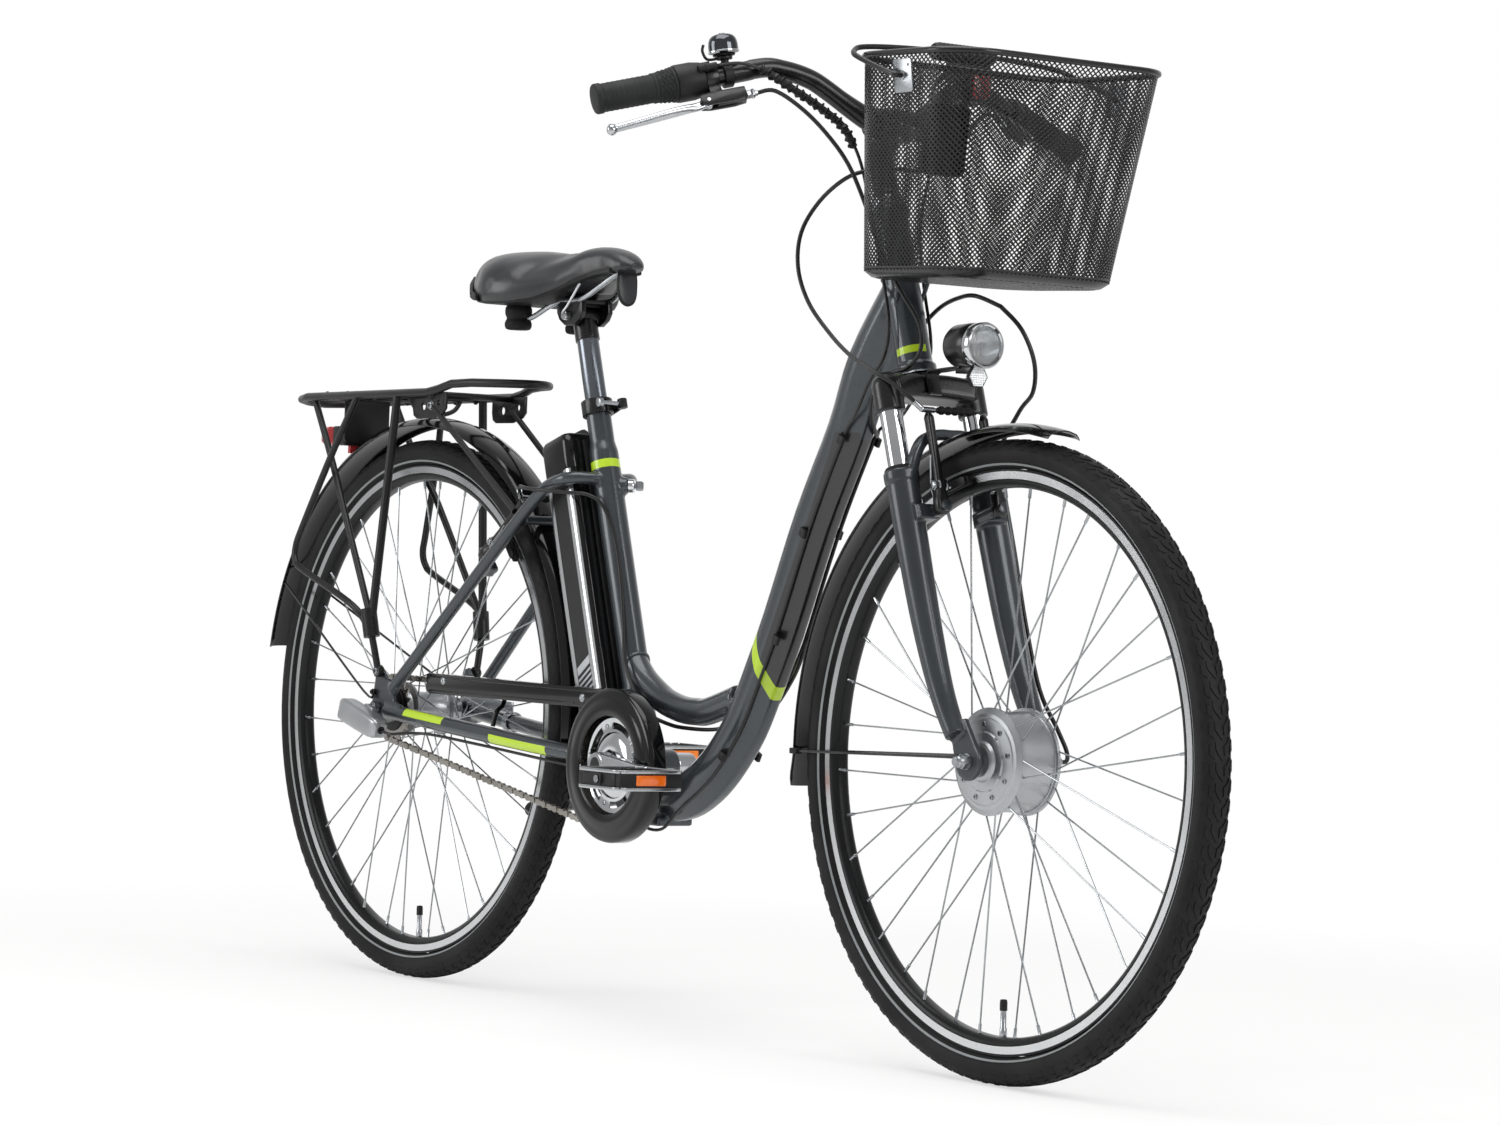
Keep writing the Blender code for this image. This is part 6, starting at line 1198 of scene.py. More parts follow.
half = [at(*point) for point in BAR_BENDS] + [bar_point(BAR_END, 1)]
bar_path = smooth([mirrored(point, -1) for point in reversed(half)] + [BAR_CENTER] + half, 5)
BAR_RADIUS = 0.0111
BAR_BULGE = 0.0127
BAR_BORE = 0.0114
bar_radii = []
for point in bar_path:
    share = min(1.0, max(0.0, (abs(point.y) - 0.035) / 0.03))
    bar_radii.append(BAR_BULGE + (BAR_RADIUS - BAR_BULGE) * share)
piece("handlebar_tube", [tube(bar_path, bar_radii, 32)], black_enamel, "steering", ("handlebar",),
      smooth_angle=50.0)
column = [turned([(0.2013, 0.0152), (0.2017, 0.016), (0.205, 0.0158), (0.209, 0.0145), (0.256, 0.0145),
                  (0.264, 0.0135), (0.268, 0.012)], HEAD_BOTTOM, STEER_UP, 40),
          section_tube([steer(0.252, 0.0), BAR_CENTER], [oval(0.0125, 0.012, 28), oval(0.015, 0.012, 28)]),
          rod(BAR_CENTER - Y * 0.018, BAR_CENTER + Y * 0.018, 0.019, 40)]
bar_bore = tube([BAR_CENTER - Y * 0.03, BAR_CENTER + Y * 0.03], 0.013, 40)
stem_mesh = welded("stem", column, 0.0011, 4, (bar_bore,))
put("stem_column", stem_mesh, black_enamel, "steering", ("stem",))
piece("stem_quill", [rod(steer(0.131, 0), steer(0.206, 0), 0.0102, 32)], zinc, "steering")
bolts = [turned([(0.0, 0.0052), (0.0005, 0.0056), (0.005, 0.0056), (0.0056, 0.005), (0.0056, 0.003),
                 (0.003, 0.0028), (0.003, 0.0)], steer(0.2665, 0.0), STEER_UP, 24)]
for y in (0.01, -0.01):
    center = BAR_CENTER + STEER_FRONT * 0.0135 + Y * y - STEER_UP * 0.016
    bolts.append(turned([(0.0, 0.0036), (0.0045, 0.0036), (0.005, 0.0031), (0.005, 0.0018), (0.003, 0.0017),
                         (0.003, 0.0)], center, -STEER_UP, 18))
piece("stem_bolts", bolts, stainless, "steering", smooth_angle=30.0)

# Spiral wrap: a black polyethylene ribbon wound round the cables that run under the bar's right
# half. Its turns are 9 mm apart, so the bundle looks knotted.
WRAP_PITCH = 0.009
bundle_route = [(0.9345, -0.17, 1.099), (0.937, -0.16, 1.096), (0.944, -0.13, 1.08),
                (0.95, -0.1, 1.064), (0.956, -0.07, 1.044), (0.959, -0.055, 1.022)]
bundle = smooth([at(*point) for point in bundle_route], 24)
bundle_lengths = [0.0]
for a, b in zip(bundle, bundle[1:]):
    bundle_lengths.append(bundle_lengths[-1] + (b - a).length)
turns = []
for point, (tangent, side, up), along in zip(bundle, frames(bundle), bundle_lengths):
    angle = math.tau * along / WRAP_PITCH
    turns.append(point + (side * math.cos(angle) + up * math.sin(angle)) * 0.0046)
ribbon = section_tube(turns, rounded(0.0011, 0.0022, 0.0006, 3), hint=X)
piece("spiral_wrap", [tube(bundle, 0.0042, 18), ribbon], moulded_black, "steering",
      smooth_angle=50.0)

# Grips and twist shifter: thermoplastic rubber over a nylon sleeve. The grips have fine diamond
# ribs 3 mm apart round the bar, and the shifter has coarse raised diamonds for the thumb.
grip_rubber = plain_finish("grip_rubber", "#1b1c1d", "#242526", 0.62, 0.9, 0.05,
                           drift=(40.0, 5.0, 0.5, 0.7), **{"IOR": 1.5, "Specular IOR Level": 0.3})
SLEEVE_SIDES = 64
RIB_PITCH = 0.003
RIB_RISE = 0.0004


def ribbed_sleeve(y, start, end, radius, rings):
    """A sleeve with two crossing families of low ribs between plain rims."""
    profile = [(start, 0.0113), (start, radius + 0.001), (start + 0.0035, radius + 0.0012),
               (start + 0.0042, radius)]
    origin = bar_point(0.0, y)
    axis = bar_way(y)
    side = axis.orthogonal().normalized()
    up = axis.cross(side)
    ring_list = []
    for along, r in profile:
        ring_list.append([origin + axis * along + side * u + up * v for u, v in oval(r, r, SLEEVE_SIDES)])
    low = start + 0.0046
    high = end - 0.0092
    for k in range(rings + 1):
        along = low + (high - low) * k / rings
        ring = []
        for n in range(SLEEVE_SIDES):
            angle = math.tau * n / SLEEVE_SIDES
            slant = along / RIB_PITCH * 1.6
            wave = math.cos(16.0 * angle + slant) * math.cos(16.0 * angle - slant)
            fade = min(1.0, k / 3.0, (rings - k) / 3.0)
            r = radius + RIB_RISE * wave * fade
            ring.append(origin + axis * along + side * (r * math.cos(angle)) + up * (r * math.sin(angle)))
        ring_list.append(ring)
    for along, r in ((end - 0.0088, radius + 0.0006), (end - 0.008, radius + 0.0012),
                     (end - 0.0022, radius + 0.0012), (end - 0.0006, radius + 0.0002),
                     (end, radius - 0.003)):
        ring_list.append([origin + axis * along + side * u + up * v for u, v in oval(r, r, SLEEVE_SIDES)])
    return skin(ring_list)


GRIP_END = BAR_END + 0.004
piece("right_grip_sleeve", [ribbed_sleeve(-1, GRIP_START, GRIP_END, 0.0158, 40)], grip_rubber, "steering",
      ("right_grip",), smooth_angle=60.0)
piece("left_grip_sleeve", [ribbed_sleeve(1, HOUSING[0], GRIP_END, 0.0158, 72)], grip_rubber, "steering",
      ("left_grip",), smooth_angle=60.0)
twist_origin = bar_point(0.0, -1)
twist_axis = bar_way(-1)
twist_side = twist_axis.orthogonal().normalized()
twist_up = twist_axis.cross(twist_side)
twist_rings = []
twist_profile = [(TWIST[0], 0.0121, 0.0), (TWIST[0], 0.0196, 0.0), (TWIST[0] + 0.001, 0.02, 0.0),
                 (TWIST[0] + 0.003, 0.0198, 0.0)]
DIAMOND_ROWS = 16
TWIST_SIDES = 112
for k in range(DIAMOND_ROWS + 1):
    along = TWIST[0] + 0.0036 + (TWIST[1] - TWIST[0] - 0.0056) * k / DIAMOND_ROWS
    twist_profile.append((along, 0.0189 - 0.0018 * k / DIAMOND_ROWS,
                          0.0018 * min(1.0, k, DIAMOND_ROWS - k)))
twist_profile += [(TWIST[1] - 0.0012, 0.017, 0.0), (TWIST[1], 0.016, 0.0), (TWIST[1], 0.0121, 0.0)]
for along, radius, ridge in twist_profile:
    ring = []
    for n in range(TWIST_SIDES):
        angle = math.tau * n / TWIST_SIDES
        slant = math.pi * (along - TWIST[0]) / 0.005
        wave = abs(math.cos(7.0 * angle + slant) * math.cos(7.0 * angle - slant))
        r = radius + ridge * (wave - 0.5)
        ring.append(twist_origin + twist_axis * along + twist_side * (r * math.cos(angle))
                    + twist_up * (r * math.sin(angle)))
    twist_rings.append(ring)
piece("twist_grip", [skin(twist_rings, closed=True)], grip_rubber, "twist_shifter", ("twist_shifter",),
      smooth_angle=40.0)
housing = [turned([(HOUSING[0], BAR_BORE), (HOUSING[0], 0.0182), (HOUSING[0] + 0.001, 0.0192),
                   (HOUSING[0] + 0.012, 0.0212), (HOUSING[1] - 0.003, 0.0212),
                   (HOUSING[1] - 0.0005, 0.0206), (HOUSING[1], 0.0196), (HOUSING[1], BAR_BORE)],
                  bar_point(0.0, -1), bar_way(-1), 56, hole=True)]
out, pull, axis = lever_axes(-1)
PORT_DROP = axis * 0.0215
housing.append(rod(bar_point(HOUSING[0] + 0.008, -1) - PORT_DROP,
                   bar_point(HOUSING[0] - 0.014, -1) - PORT_DROP, 0.0042))
housing.append(turned([(0.0, 0.005), (0.004, 0.005), (0.005, 0.0044)],
                      bar_point(HOUSING[0] - 0.004, -1) - PORT_DROP, out, 16))
piece("shifter_shell", housing, moulded_black, "steering", ("shifter_housing",),
      smooth_angle=30.0)
# The gear window: a glossy red polycarbonate strip, let in the shell's upper side.
window_red = plain_finish("red_polycarbonate", "#a3161a", "#8c1216", 0.12, 2.0, 0.005,
                          **{"IOR": 1.58, "Coat Weight": 0.5, "Coat Roughness": 0.05})
window_rings = []
for along in (HOUSING[0] + 0.013, HOUSING[0] + 0.029):
    ring = []
    for radius, angles in ((0.0219, range(-34, 35, 4)), (0.0205, range(34, -35, -4))):
        for degrees in angles:
            angle = math.radians(degrees + 38.0)
            ring.append(bar_point(along, -1) + pull * (radius * math.cos(angle))
                        + axis * (radius * math.sin(angle)))
    window_rings.append(ring)
piece("gear_window", [skin(window_rings)], window_red, "steering", bevel=0.0003)

# Brake levers: forged aluminium blades under silver lacquer, in black enamelled clamps. A barrel
# adjuster of bright alloy takes each cable, and the blade ends in a ball.
polished_alloy = plain_finish("polished_alloy", "#c6c8cb", "#b4b7ba", 0.19, 1.6, 0.006, 0.4,
                              **{"Metallic": 1.0})
for y, side in ((-1, "right"), (1, "left")):
    out, pull, axis = lever_axes(y)
    clamp = [turned([(LEVER_CLAMP[0], BAR_BORE), (LEVER_CLAMP[0], 0.0154), (LEVER_CLAMP[0] + 0.0006, 0.016),
                     (LEVER_CLAMP[1] - 0.0006, 0.016), (LEVER_CLAMP[1], 0.0154),
                     (LEVER_CLAMP[1], BAR_BORE)], bar_point(0.0, y), out, 48, hole=True),
             block(lever_point(0.0307, 0.019, y), (0.014, 0.013, 0.018), out, axis, pull)]
    cheek_outline = [(-0.002, -0.0075), (0.008, -0.0078), (0.04, -0.0075), (0.05, -0.0055), (0.052, 0.0),
                     (0.05, 0.0055), (0.04, 0.0075), (0.012, 0.0078), (-0.002, 0.006)]
    for low in (0.0037, -0.0075):
        clamp.append(plate(cheek_outline, low, low + 0.0038, out, -pull, axis,
                           lever_point(0.0, LEVER_DEPTH, y)))
    clamp.append(block(lever_point(0.0155, LEVER_DEPTH, y), (0.034, 0.0145, 0.013), out, axis, pull))
    clamp.append(block(lever_point(0.0307, -0.0165, y), (0.012, 0.009, 0.006), out, axis, pull))
    piece(side + "_lever_clamp", clamp, black_enamel, "steering", (side + "_lever_mount",),
          bevel=0.0008, smooth_angle=35.0)
    barrel = [turned([(0.0, 0.0044), (0.001, 0.005), (0.006, 0.005), (0.007, 0.0042), (0.0075, 0.0034),
                      (0.0145, 0.0034), (0.015, 0.003)], lever_point(-0.001, LEVER_DEPTH, y), -out, 14),
              turned([(0.0, 0.0052), (0.0004, 0.0056), (0.0028, 0.0056), (0.0032, 0.0052)],
                     lever_point(-0.0088, LEVER_DEPTH, y), -out, 12)]
    pivot = lever_point(0.043, 0.033, y)
    barrel.append(rod(pivot - axis * 0.0086, pivot + axis * 0.0086, 0.0024, 20))
    barrel.append(turned([(0.0, 0.0038), (0.0012, 0.0036), (0.0016, 0.002), (0.0016, 0.0)],
                         pivot + axis * 0.0075, axis, 20))
    piece(side + "_lever_barrel", barrel, polished_alloy, "steering",
          smooth_angle=25.0)
    stops = [(0.043, 0.033, 0.0032, 0.005), (0.056, 0.035, 0.0032, 0.006), (0.07, 0.0355, 0.0055, 0.005),
             (0.09, 0.037, 0.0065, 0.0042), (0.115, 0.0395, 0.006, 0.004), (0.157, 0.0432, 0.005, 0.004)]
    blade_path = smooth([lever_point(a, d, y) for a, d, _, _ in stops], 6)
    widths = smooth([Vector((w, h, 0.0)) for _, _, w, h in stops], 6)
    blade_outlines = [rounded(w.x, w.y * 0.8, min(w.x, w.y * 0.8) * 0.75, 4) for w in widths]
    blade = [section_tube(blade_path, blade_outlines, hint=pull),
             rod(pivot - axis * 0.0033, pivot + axis * 0.0033, 0.0062, 32),
             turned([(-0.006, 0.0015), (-0.005, 0.004), (-0.0025, 0.006), (0.0, 0.0066), (0.0025, 0.006),
                     (0.005, 0.0038), (0.0062, 0.0)], lever_point(0.159, 0.0434, y), out, 28)]
    lever_mesh = welded(side + "_lever", blade, 0.0007, 3,
                        (rod(pivot - axis * 0.01, pivot + axis * 0.01, 0.0027, 20),))
    put(side + "_lever_blade", lever_mesh, polished_alloy, side + "_brake_lever", (side + "_brake_lever",))

# Bell: spun steel dome plated in black nickel, with a bright rim, on a black nylon clamp. A sprung
# thumb lever strikes it.
bell_base = bar_point(0.01, -1)
bell_up = Vector((-0.1, -0.12, 0.99)).normalized()
bell_out = (bar_way(-1) - bell_up * bar_way(-1).dot(bell_up)).normalized()
bell_clamp = [turned([(0.005, BAR_BORE), (0.005, 0.014), (0.0056, 0.0145), (0.0144, 0.0145),
                      (0.015, 0.014), (0.015, BAR_BORE)], bar_point(0.0, -1), bar_way(-1), 44, hole=True),
              rod(bell_base + bell_up * 0.0125, bell_base + bell_up * 0.0265, 0.0045, 24),
              turned([(0.021, 0.0046), (0.0212, 0.012), (0.0225, 0.0128), (0.024, 0.012), (0.024, 0.0046)],
                     bell_base, bell_up, 36, hole=True)]
piece("bell_clamp", bell_clamp, moulded_black, "steering", smooth_angle=30.0)
dome = turned([(0.0252, 0.0155), (0.025, 0.0166), (0.0256, 0.0172), (0.027, 0.0172), (0.0273, 0.0168),
               (0.033, 0.0167), (0.0375, 0.016), (0.041, 0.0146), (0.0438, 0.0118), (0.0453, 0.0075),
               (0.0458, 0.0038), (0.0465, 0.0034), (0.0468, 0.0)], bell_base, bell_up, 56)
# Black nickel over spun steel: a dark mirror that keeps what it shows sharp.
black_nickel = plain_finish("black_nickel_plate", "#5d5f63", "#505256", 0.07, 2.0, 0.004, 0.4,
                            **{"Metallic": 1.0})
piece("bell_dome", [dome], black_nickel, "steering", ("bell",), smooth_angle=30.0)
bell_rim = collar(bell_base, bell_up, 0.0248, 0.0268, 0.0165, 0.0175)
piece("bell_rim", [bell_rim], chrome, "steering", smooth_angle=30.0)
striker = [collar(bell_base, bell_up, 0.017, 0.0205, 0.0051, 0.009),
           tube(smooth([bell_base + bell_up * 0.0187 + bell_out * 0.007,
                        bell_base + bell_up * 0.0187 + bell_out * 0.02,
                        bell_base + bell_up * 0.028 + bell_out * 0.0245,
                        bell_base + bell_up * 0.035 + bell_out * 0.0225], 5), 0.0016, 14)]
piece("bell_striker", striker, moulded_black, "bell_lever", ("bell_lever",))

# Control unit: a moulded black case on the bar's left, with a red power key in a shallow pocket.
control_center = at(0.9228, 0.131, 1.1025)
case = [section_tube([control_center + Vector((0.0, s * 0.021, 0.022)) for s in (-1.0, -0.9, 0.9, 1.0)],
                     [rounded(0.018 * k, 0.013 * k, 0.005) for k in (0.88, 1.0, 1.0, 0.88)]),
        rod(control_center - Y * 0.007, control_center + Y * 0.007, 0.0165, 36),
        section_tube([control_center + Vector((x, 0.0, 0.004)) for x in (0.013, 0.0215)],
                     rounded(0.015, 0.017, 0.003))]
for side_y in (1, -1):
    case.append(block(control_center + Vector((0.0233, 0.0138 * side_y, 0.004)), (0.0034, 0.0024, 0.034)))
    case.append(block(control_center + Vector((0.0233, 0.0, 0.004 + 0.0158 * side_y)),
                      (0.0034, 0.03, 0.0024)))
piece("control_case", case, moulded_black, "steering", ("control_unit",), bevel=0.0006,
      smooth_angle=35.0)
key_center = control_center + Vector((0.0254, 0.0, 0.004))
key = section_tube([key_center + X * s for s in (-0.002, 0.0012, 0.002)],
                   [rounded(0.012 - k, 0.014 - k, 0.003 - k / 3.0) for k in (0.0, 0.0, 0.0012)])
piece("power_key", [key], window_red, "control_button", ("control_button",), smooth_angle=30.0)
lamps = [rod(control_center + Vector((x, -0.01, 0.0345)), control_center + Vector((x, -0.01, 0.0358)),
             0.0015, 16) for x in (-0.008, 0.0, 0.008)]
piece("charge_lamps", lamps, window_red, "steering")


# Basket: expanded steel sheet with diamond holes, welded to a 7 mm rim wire, all black enamelled.
# Its diamonds are 7.5 mm wide and 6 mm high; the real mesh is finer, about 5 by 4 mm.
BASKET_HEIGHT = 0.238
BASKET_PITCH = 0.027
BASKET_FRONT = spoke_way(-BASKET_PITCH)
BASKET_UP = quarter(BASKET_FRONT)
BASKET_BASE = at(1.135, 0.0, 0.867)
BASKET_LEAN = 0.025
BASKET_LOW = (0.0965, 0.12, 0.05)
BASKET_HIGH = (0.1025, 0.152, 0.055)
HANDLE_PIVOT = at(1.168, 0.0, 1.079)
MESH_WIDE = 0.0075
MESH_HIGH = 0.006


def basket_level(height):
    """The middle of the basket at a height, with its half length, half width and corner there."""
    share = height / BASKET_HEIGHT
    middle = BASKET_BASE + BASKET_UP * height + BASKET_FRONT * (BASKET_LEAN * share)
    return middle, [low + (high - low) * share for low, high in zip(BASKET_LOW, BASKET_HIGH)]


def basket_outline(height, inset=0.0):
    """The basket's outline at a height, made smaller by a margin."""
    middle, (length, width, corner) = basket_level(height)
    return [middle + BASKET_FRONT * u + Y * v
            for u, v in rounded(length - inset, width - inset, corner - inset, 10)]


def around_ring(ring, share):
    """The point a share of the way round a closed ring, counted by its corners' lengths."""
    lengths = [(b - a).length for a, b in zip(ring, ring[1:] + ring[:1])]
    left = (share % 1.0) * sum(lengths)
    for k, length in enumerate(lengths):
        if left <= length:
            return ring[k].lerp(ring[(k + 1) % len(ring)], left / length)
        left -= length
    return ring[0]


STRAND_SHARE = 0.3


def diamond_sheet(name, columns, rows, locate, keep, closed):
    """A thin sheet of strands between diamond holes; locate gives the place of (column, row).

    The columns of a closed sheet run on from the last to the first.
    """
    shape = bmesh.new()
    corners = {}
    for row in range(rows + 1):
        for column in range(columns * 2):
            if (row + column) % 2 == 0:
                continue
            ring = [(column - 1, row), (column, row + 1), (column + 1, row), (column, row - 1)]
            outer = []
            for c, r in ring:
                key = (c % (columns * 2) if closed else c, r)
                if key not in corners:
                    corners[key] = shape.verts.new(locate(key[0] / 2.0, r / 2.0))
                outer.append(corners[key])
            middle = sum((corner.co for corner in outer), Vector()) / 4.0
            if not keep(middle):
                continue
            inner = [shape.verts.new(corner.co.lerp(middle, STRAND_SHARE)) for corner in outer]
            for k in range(4):
                n = (k + 1) % 4
                shape.faces.new((outer[k], outer[n], inner[n], inner[k]))
    loose = [vert for vert in shape.verts if not vert.link_faces]
    bmesh.ops.delete(shape, geom=loose, context="VERTS")
    bmesh.ops.recalc_face_normals(shape, faces=shape.faces)
    mesh = bpy.data.meshes.new(name)
    shape.to_mesh(mesh)
    shape.free()
    item = placed(name, mesh)
    sheet = item.modifiers.new("sheet", "SOLIDIFY")
    sheet.thickness = 0.0009
    sheet.offset = 0.0
    return freed(item)


side_low = 0.01
side_high = BASKET_HEIGHT - 0.001
side_columns = round(math.tau * 0.15 / MESH_WIDE)
side_rows = 2 * round((side_high - side_low) / MESH_HIGH)
side_rings = {}


def side_place(column, row):
    """A place on the basket's side; each level's outline is worked out once."""
    key = round(row * 2)
    if key not in side_rings:
        height = side_low + (side_high - side_low) * key / side_rows
        ring = basket_outline(height, 0.0008)
        side_rings[key] = [around_ring(ring, k / (side_columns * 2.0)) for k in range(side_columns * 2)]
    return side_rings[key][round(column * 2)]


floor_middle, (floor_length, floor_width, floor_corner) = basket_level(0.0)
floor_columns = round(2.0 * floor_width / MESH_WIDE)
floor_rows = 2 * round(2.0 * floor_length / MESH_HIGH)


def floor_place(column, row):
    """A place on the basket's floor."""
    return (floor_middle + BASKET_UP * 0.0006 + Y * (-floor_width + (column + 0.25) * MESH_WIDE)
            + BASKET_FRONT * (-floor_length + row * MESH_HIGH))


def in_floor(place):
    """Whether a place lies inside the floor's rounded outline."""
    along = abs((place - floor_middle).dot(BASKET_FRONT))
    across = abs(place.y)
    inset = 0.011
    over_x = along - (floor_length - inset - floor_corner)
    over_y = across - (floor_width - inset - floor_corner)
    if over_x > 0 and over_y > 0:
        return math.hypot(over_x, over_y) < floor_corner
    return along < floor_length - inset and across < floor_width - inset


side_mesh = diamond_sheet("basket_side", side_columns, side_rows, side_place, lambda place: True, True)
floor_mesh = diamond_sheet("basket_floor", floor_columns, floor_rows, floor_place, in_floor, False)
put("basket_mesh", gathered("basket_mesh", [side_mesh, floor_mesh]), black_enamel, "steering", ("basket",),
    smooth_angle=30.0)
bottom_turn = [basket_outline(height, inset)
               for height, inset in ((0.0115, -0.0002), (0.006, 0.0022), (0.0012, 0.0085), (0.0001, 0.014),
                                     (0.0013, 0.014), (0.0024, 0.009), (0.0068, 0.0033), (0.0115, 0.0012))]
plates = []
slope = (BASKET_HIGH[1] - BASKET_LOW[1]) / BASKET_HEIGHT
for y in (1, -1):
    outward = Vector((0.0, y, -slope)).normalized()
    upward = X.cross(outward)
    middle = HANDLE_PIVOT + Y * (0.1492 * y)
    plates.append(plate(rounded(0.016, 0.018, 0.0035, 4), -0.0016, 0.0016, X, upward, outward, middle))
rim_wire = tube(basket_outline(BASKET_HEIGHT, 0.0008), 0.0035, 14, closed=True)
piece("basket_rim", [rim_wire, skin(bottom_turn, closed=True)], black_enamel, "steering",
      smooth_angle=60.0)
piece("basket_pivot_plates", plates, zinc, "steering", bevel=0.0005)
pins = []
for y in (1, -1):
    for along, up, radius in ((0.0, 0.0, 0.0048), (0.011, 0.011, 0.0026), (-0.011, 0.011, 0.0026)):
        spot = HANDLE_PIVOT + Y * (0.1508 * y) + X * along + Z * up
        pins.append(turned([(0.0, radius), (0.0008, radius), (0.0018, radius * 0.6), (0.002, 0.0)], spot,
                           Y * y, 24))
piece("basket_rivets", pins, stainless, "steering")

# Basket handle: a 6 mm steel wire in black enamel, with a ribbed grip of moulded nylon.
handle_half = [HANDLE_PIVOT + Y * 0.144, HANDLE_PIVOT + Y * 0.1575, at(1.164, 0.161, 1.0803),
               at(1.13, 0.162, 1.092), at(1.095, 0.16, 1.105), at(1.083, 0.152, 1.112),
               at(1.078, 0.138, 1.117), at(1.078, 0.1, 1.1205), at(1.08, 0.04, 1.1225)]
handle_path = smooth(handle_half + [mirrored(point, -1) for point in reversed(handle_half)], 4)
piece("basket_handle_wire", [tube(handle_path, 0.003, 16)], black_enamel, "basket_handle",
      ("basket_handle",), smooth_angle=60.0)
grip_profile = [(0.0, 0.0031), (0.0, 0.0078), (0.001, 0.0086), (0.003, 0.0096)]
for k in range(13):
    start = 0.006 + k * 0.0055
    grip_profile += [(start, 0.0097), (start + 0.0012, 0.0103), (start + 0.003, 0.0103),
                     (start + 0.0042, 0.0097)]
grip_profile += [(0.08, 0.0096), (0.082, 0.0086), (0.083, 0.0078), (0.083, 0.0031)]
piece("basket_handle_grip",
      [turned(grip_profile, at(1.0796, -0.065, 1.1222) + Y * 0.0235, Y, 36, hole=True)], moulded_black,
      "basket_handle", smooth_angle=60.0)

# Basket holder: a pressed steel plate behind the basket, on two arms that clamp the bar.
holder_middle, (holder_length, _, _) = basket_level(0.16)
holder_lean = BASKET_LEAN - (BASKET_HIGH[0] - BASKET_LOW[0])
holder_up = (BASKET_UP * BASKET_HEIGHT + BASKET_FRONT * holder_lean).normalized()
holder_back = holder_up.cross(Y)
holder_face = holder_middle - BASKET_FRONT * holder_length
holder_parts = [plate(rounded(0.03, 0.04, 0.008, 5), 0.0003, 0.0053, Y, holder_up, holder_back,
                      holder_face)]
clamps = []
screws = []
for y in (1, -1):
    middle = at(0.957, 0.0265 * y, 1.0515)
    clamps.append(turned([(-0.006, 0.0132), (-0.006, 0.0168), (-0.0054, 0.0175), (0.0054, 0.0175),
                          (0.006, 0.0168), (0.006, 0.0132)], middle, Y, 44, hole=True))
    end = holder_face + Y * (0.0265 * y) + holder_back * 0.003
    holder_parts.append(section_tube([middle + X * 0.0155, end], rounded(0.004, 0.006, 0.002)))
    for up in (0.02, -0.02):
        screws.append(turned([(0.0, 0.0046), (0.0014, 0.0042), (0.0022, 0.0026), (0.0022, 0.0)],
                             holder_face + holder_up * up + Y * (0.016 * y) + holder_back * 0.0052,
                             holder_back, 22))
piece("basket_holder_plate", holder_parts + clamps, black_enamel, "steering", ("basket_holder",),
      bevel=0.0006)
piece("basket_holder_screws", screws, stainless, "steering")

# Headlight: a black enamelled steel shell on a strap from the fork, with a pressed lens and a
# clear reflector below. The lens is clear acrylic over a bright bowl; its ribs spread the beam.
lamp_origin = at(1.085, 0.0, 0.8)
shell = [turned([(0.0, 0.0), (0.0, 0.015), (0.0015, 0.018), (0.005, 0.0215), (0.01, 0.024), (0.03, 0.0252),
                 (0.043, 0.0252), (0.043, 0.0222), (0.028, 0.0215), (0.01, 0.018), (0.006, 0.0)],
                lamp_origin, X, 56)]
strap_path = smooth([steer(-0.042, 0.0266), steer(-0.018, 0.0266), at(1.066, 0.0, 0.774),
                     at(1.104, 0.0, 0.7765)], 6)
shell.append(section_tube(strap_path, rounded(0.0088, 0.0015, 0.001, 3)))
shell.append(block(at(1.11, 0.0, 0.7735), (0.028, 0.014, 0.0078)))
piece("headlight_shell", shell, black_enamel, "steering", ("headlight",), bevel=0.0005,
      smooth_angle=45.0)
bezel = turned([(0.0432, 0.0205), (0.0432, 0.0252), (0.044, 0.0255), (0.0535, 0.0255), (0.055, 0.0245),
                (0.0552, 0.0228), (0.054, 0.0212), (0.05, 0.0208)], lamp_origin, X, 56, hole=True)
piece("headlight_bezel", [bezel], chrome, "steering", smooth_angle=35.0)
bowl = turned([(0.0085, 0.0), (0.0088, 0.005), (0.012, 0.01), (0.022, 0.016), (0.04, 0.0203),
               (0.044, 0.0206), (0.044, 0.0213), (0.04, 0.021), (0.0216, 0.0166), (0.0114, 0.0104),
               (0.008, 0.0052), (0.0077, 0.0)], lamp_origin, X, 48)
piece("headlight_bowl", [bowl], chrome, "steering", smooth_angle=35.0)
bulb = turned([(0.0088, 0.0036), (0.018, 0.0036), (0.0195, 0.003), (0.024, 0.0028), (0.0262, 0.0016),
               (0.0266, 0.0)], lamp_origin, X, 24)
piece("headlight_bulb", [bulb], polished_alloy, "steering")
# Clear acrylic: colourless and glossy, with pressed ribs that break up what is behind.
ACRYLIC_INDEX = 1.49
clear_plastic, tree, place = material("clear_acrylic")
wave = add(tree, "TexWave", {"Vector": place, "Scale": 120.0, "Distortion": 0.0}, wave_type="BANDS",
           bands_direction="Y").outputs["Fac"]
bump = add(tree, "Bump", {"Height": wave, "Strength": 0.35, "Distance": 0.0006})
shine = add(tree, "BsdfPrincipled",
            {"Base Color": tone("#f2f5f6"), "Roughness": 0.04, "IOR": ACRYLIC_INDEX,
             "Transmission Weight": 0.85, "Normal": bump.outputs[0]})
add(tree, "OutputMaterial", {"Surface": shine.outputs[0]})
lens = turned([(0.05, 0.0), (0.0496, 0.0202), (0.05, 0.021), (0.0528, 0.021), (0.0546, 0.018),
               (0.0556, 0.011), (0.056, 0.0)], lamp_origin, X, 48)
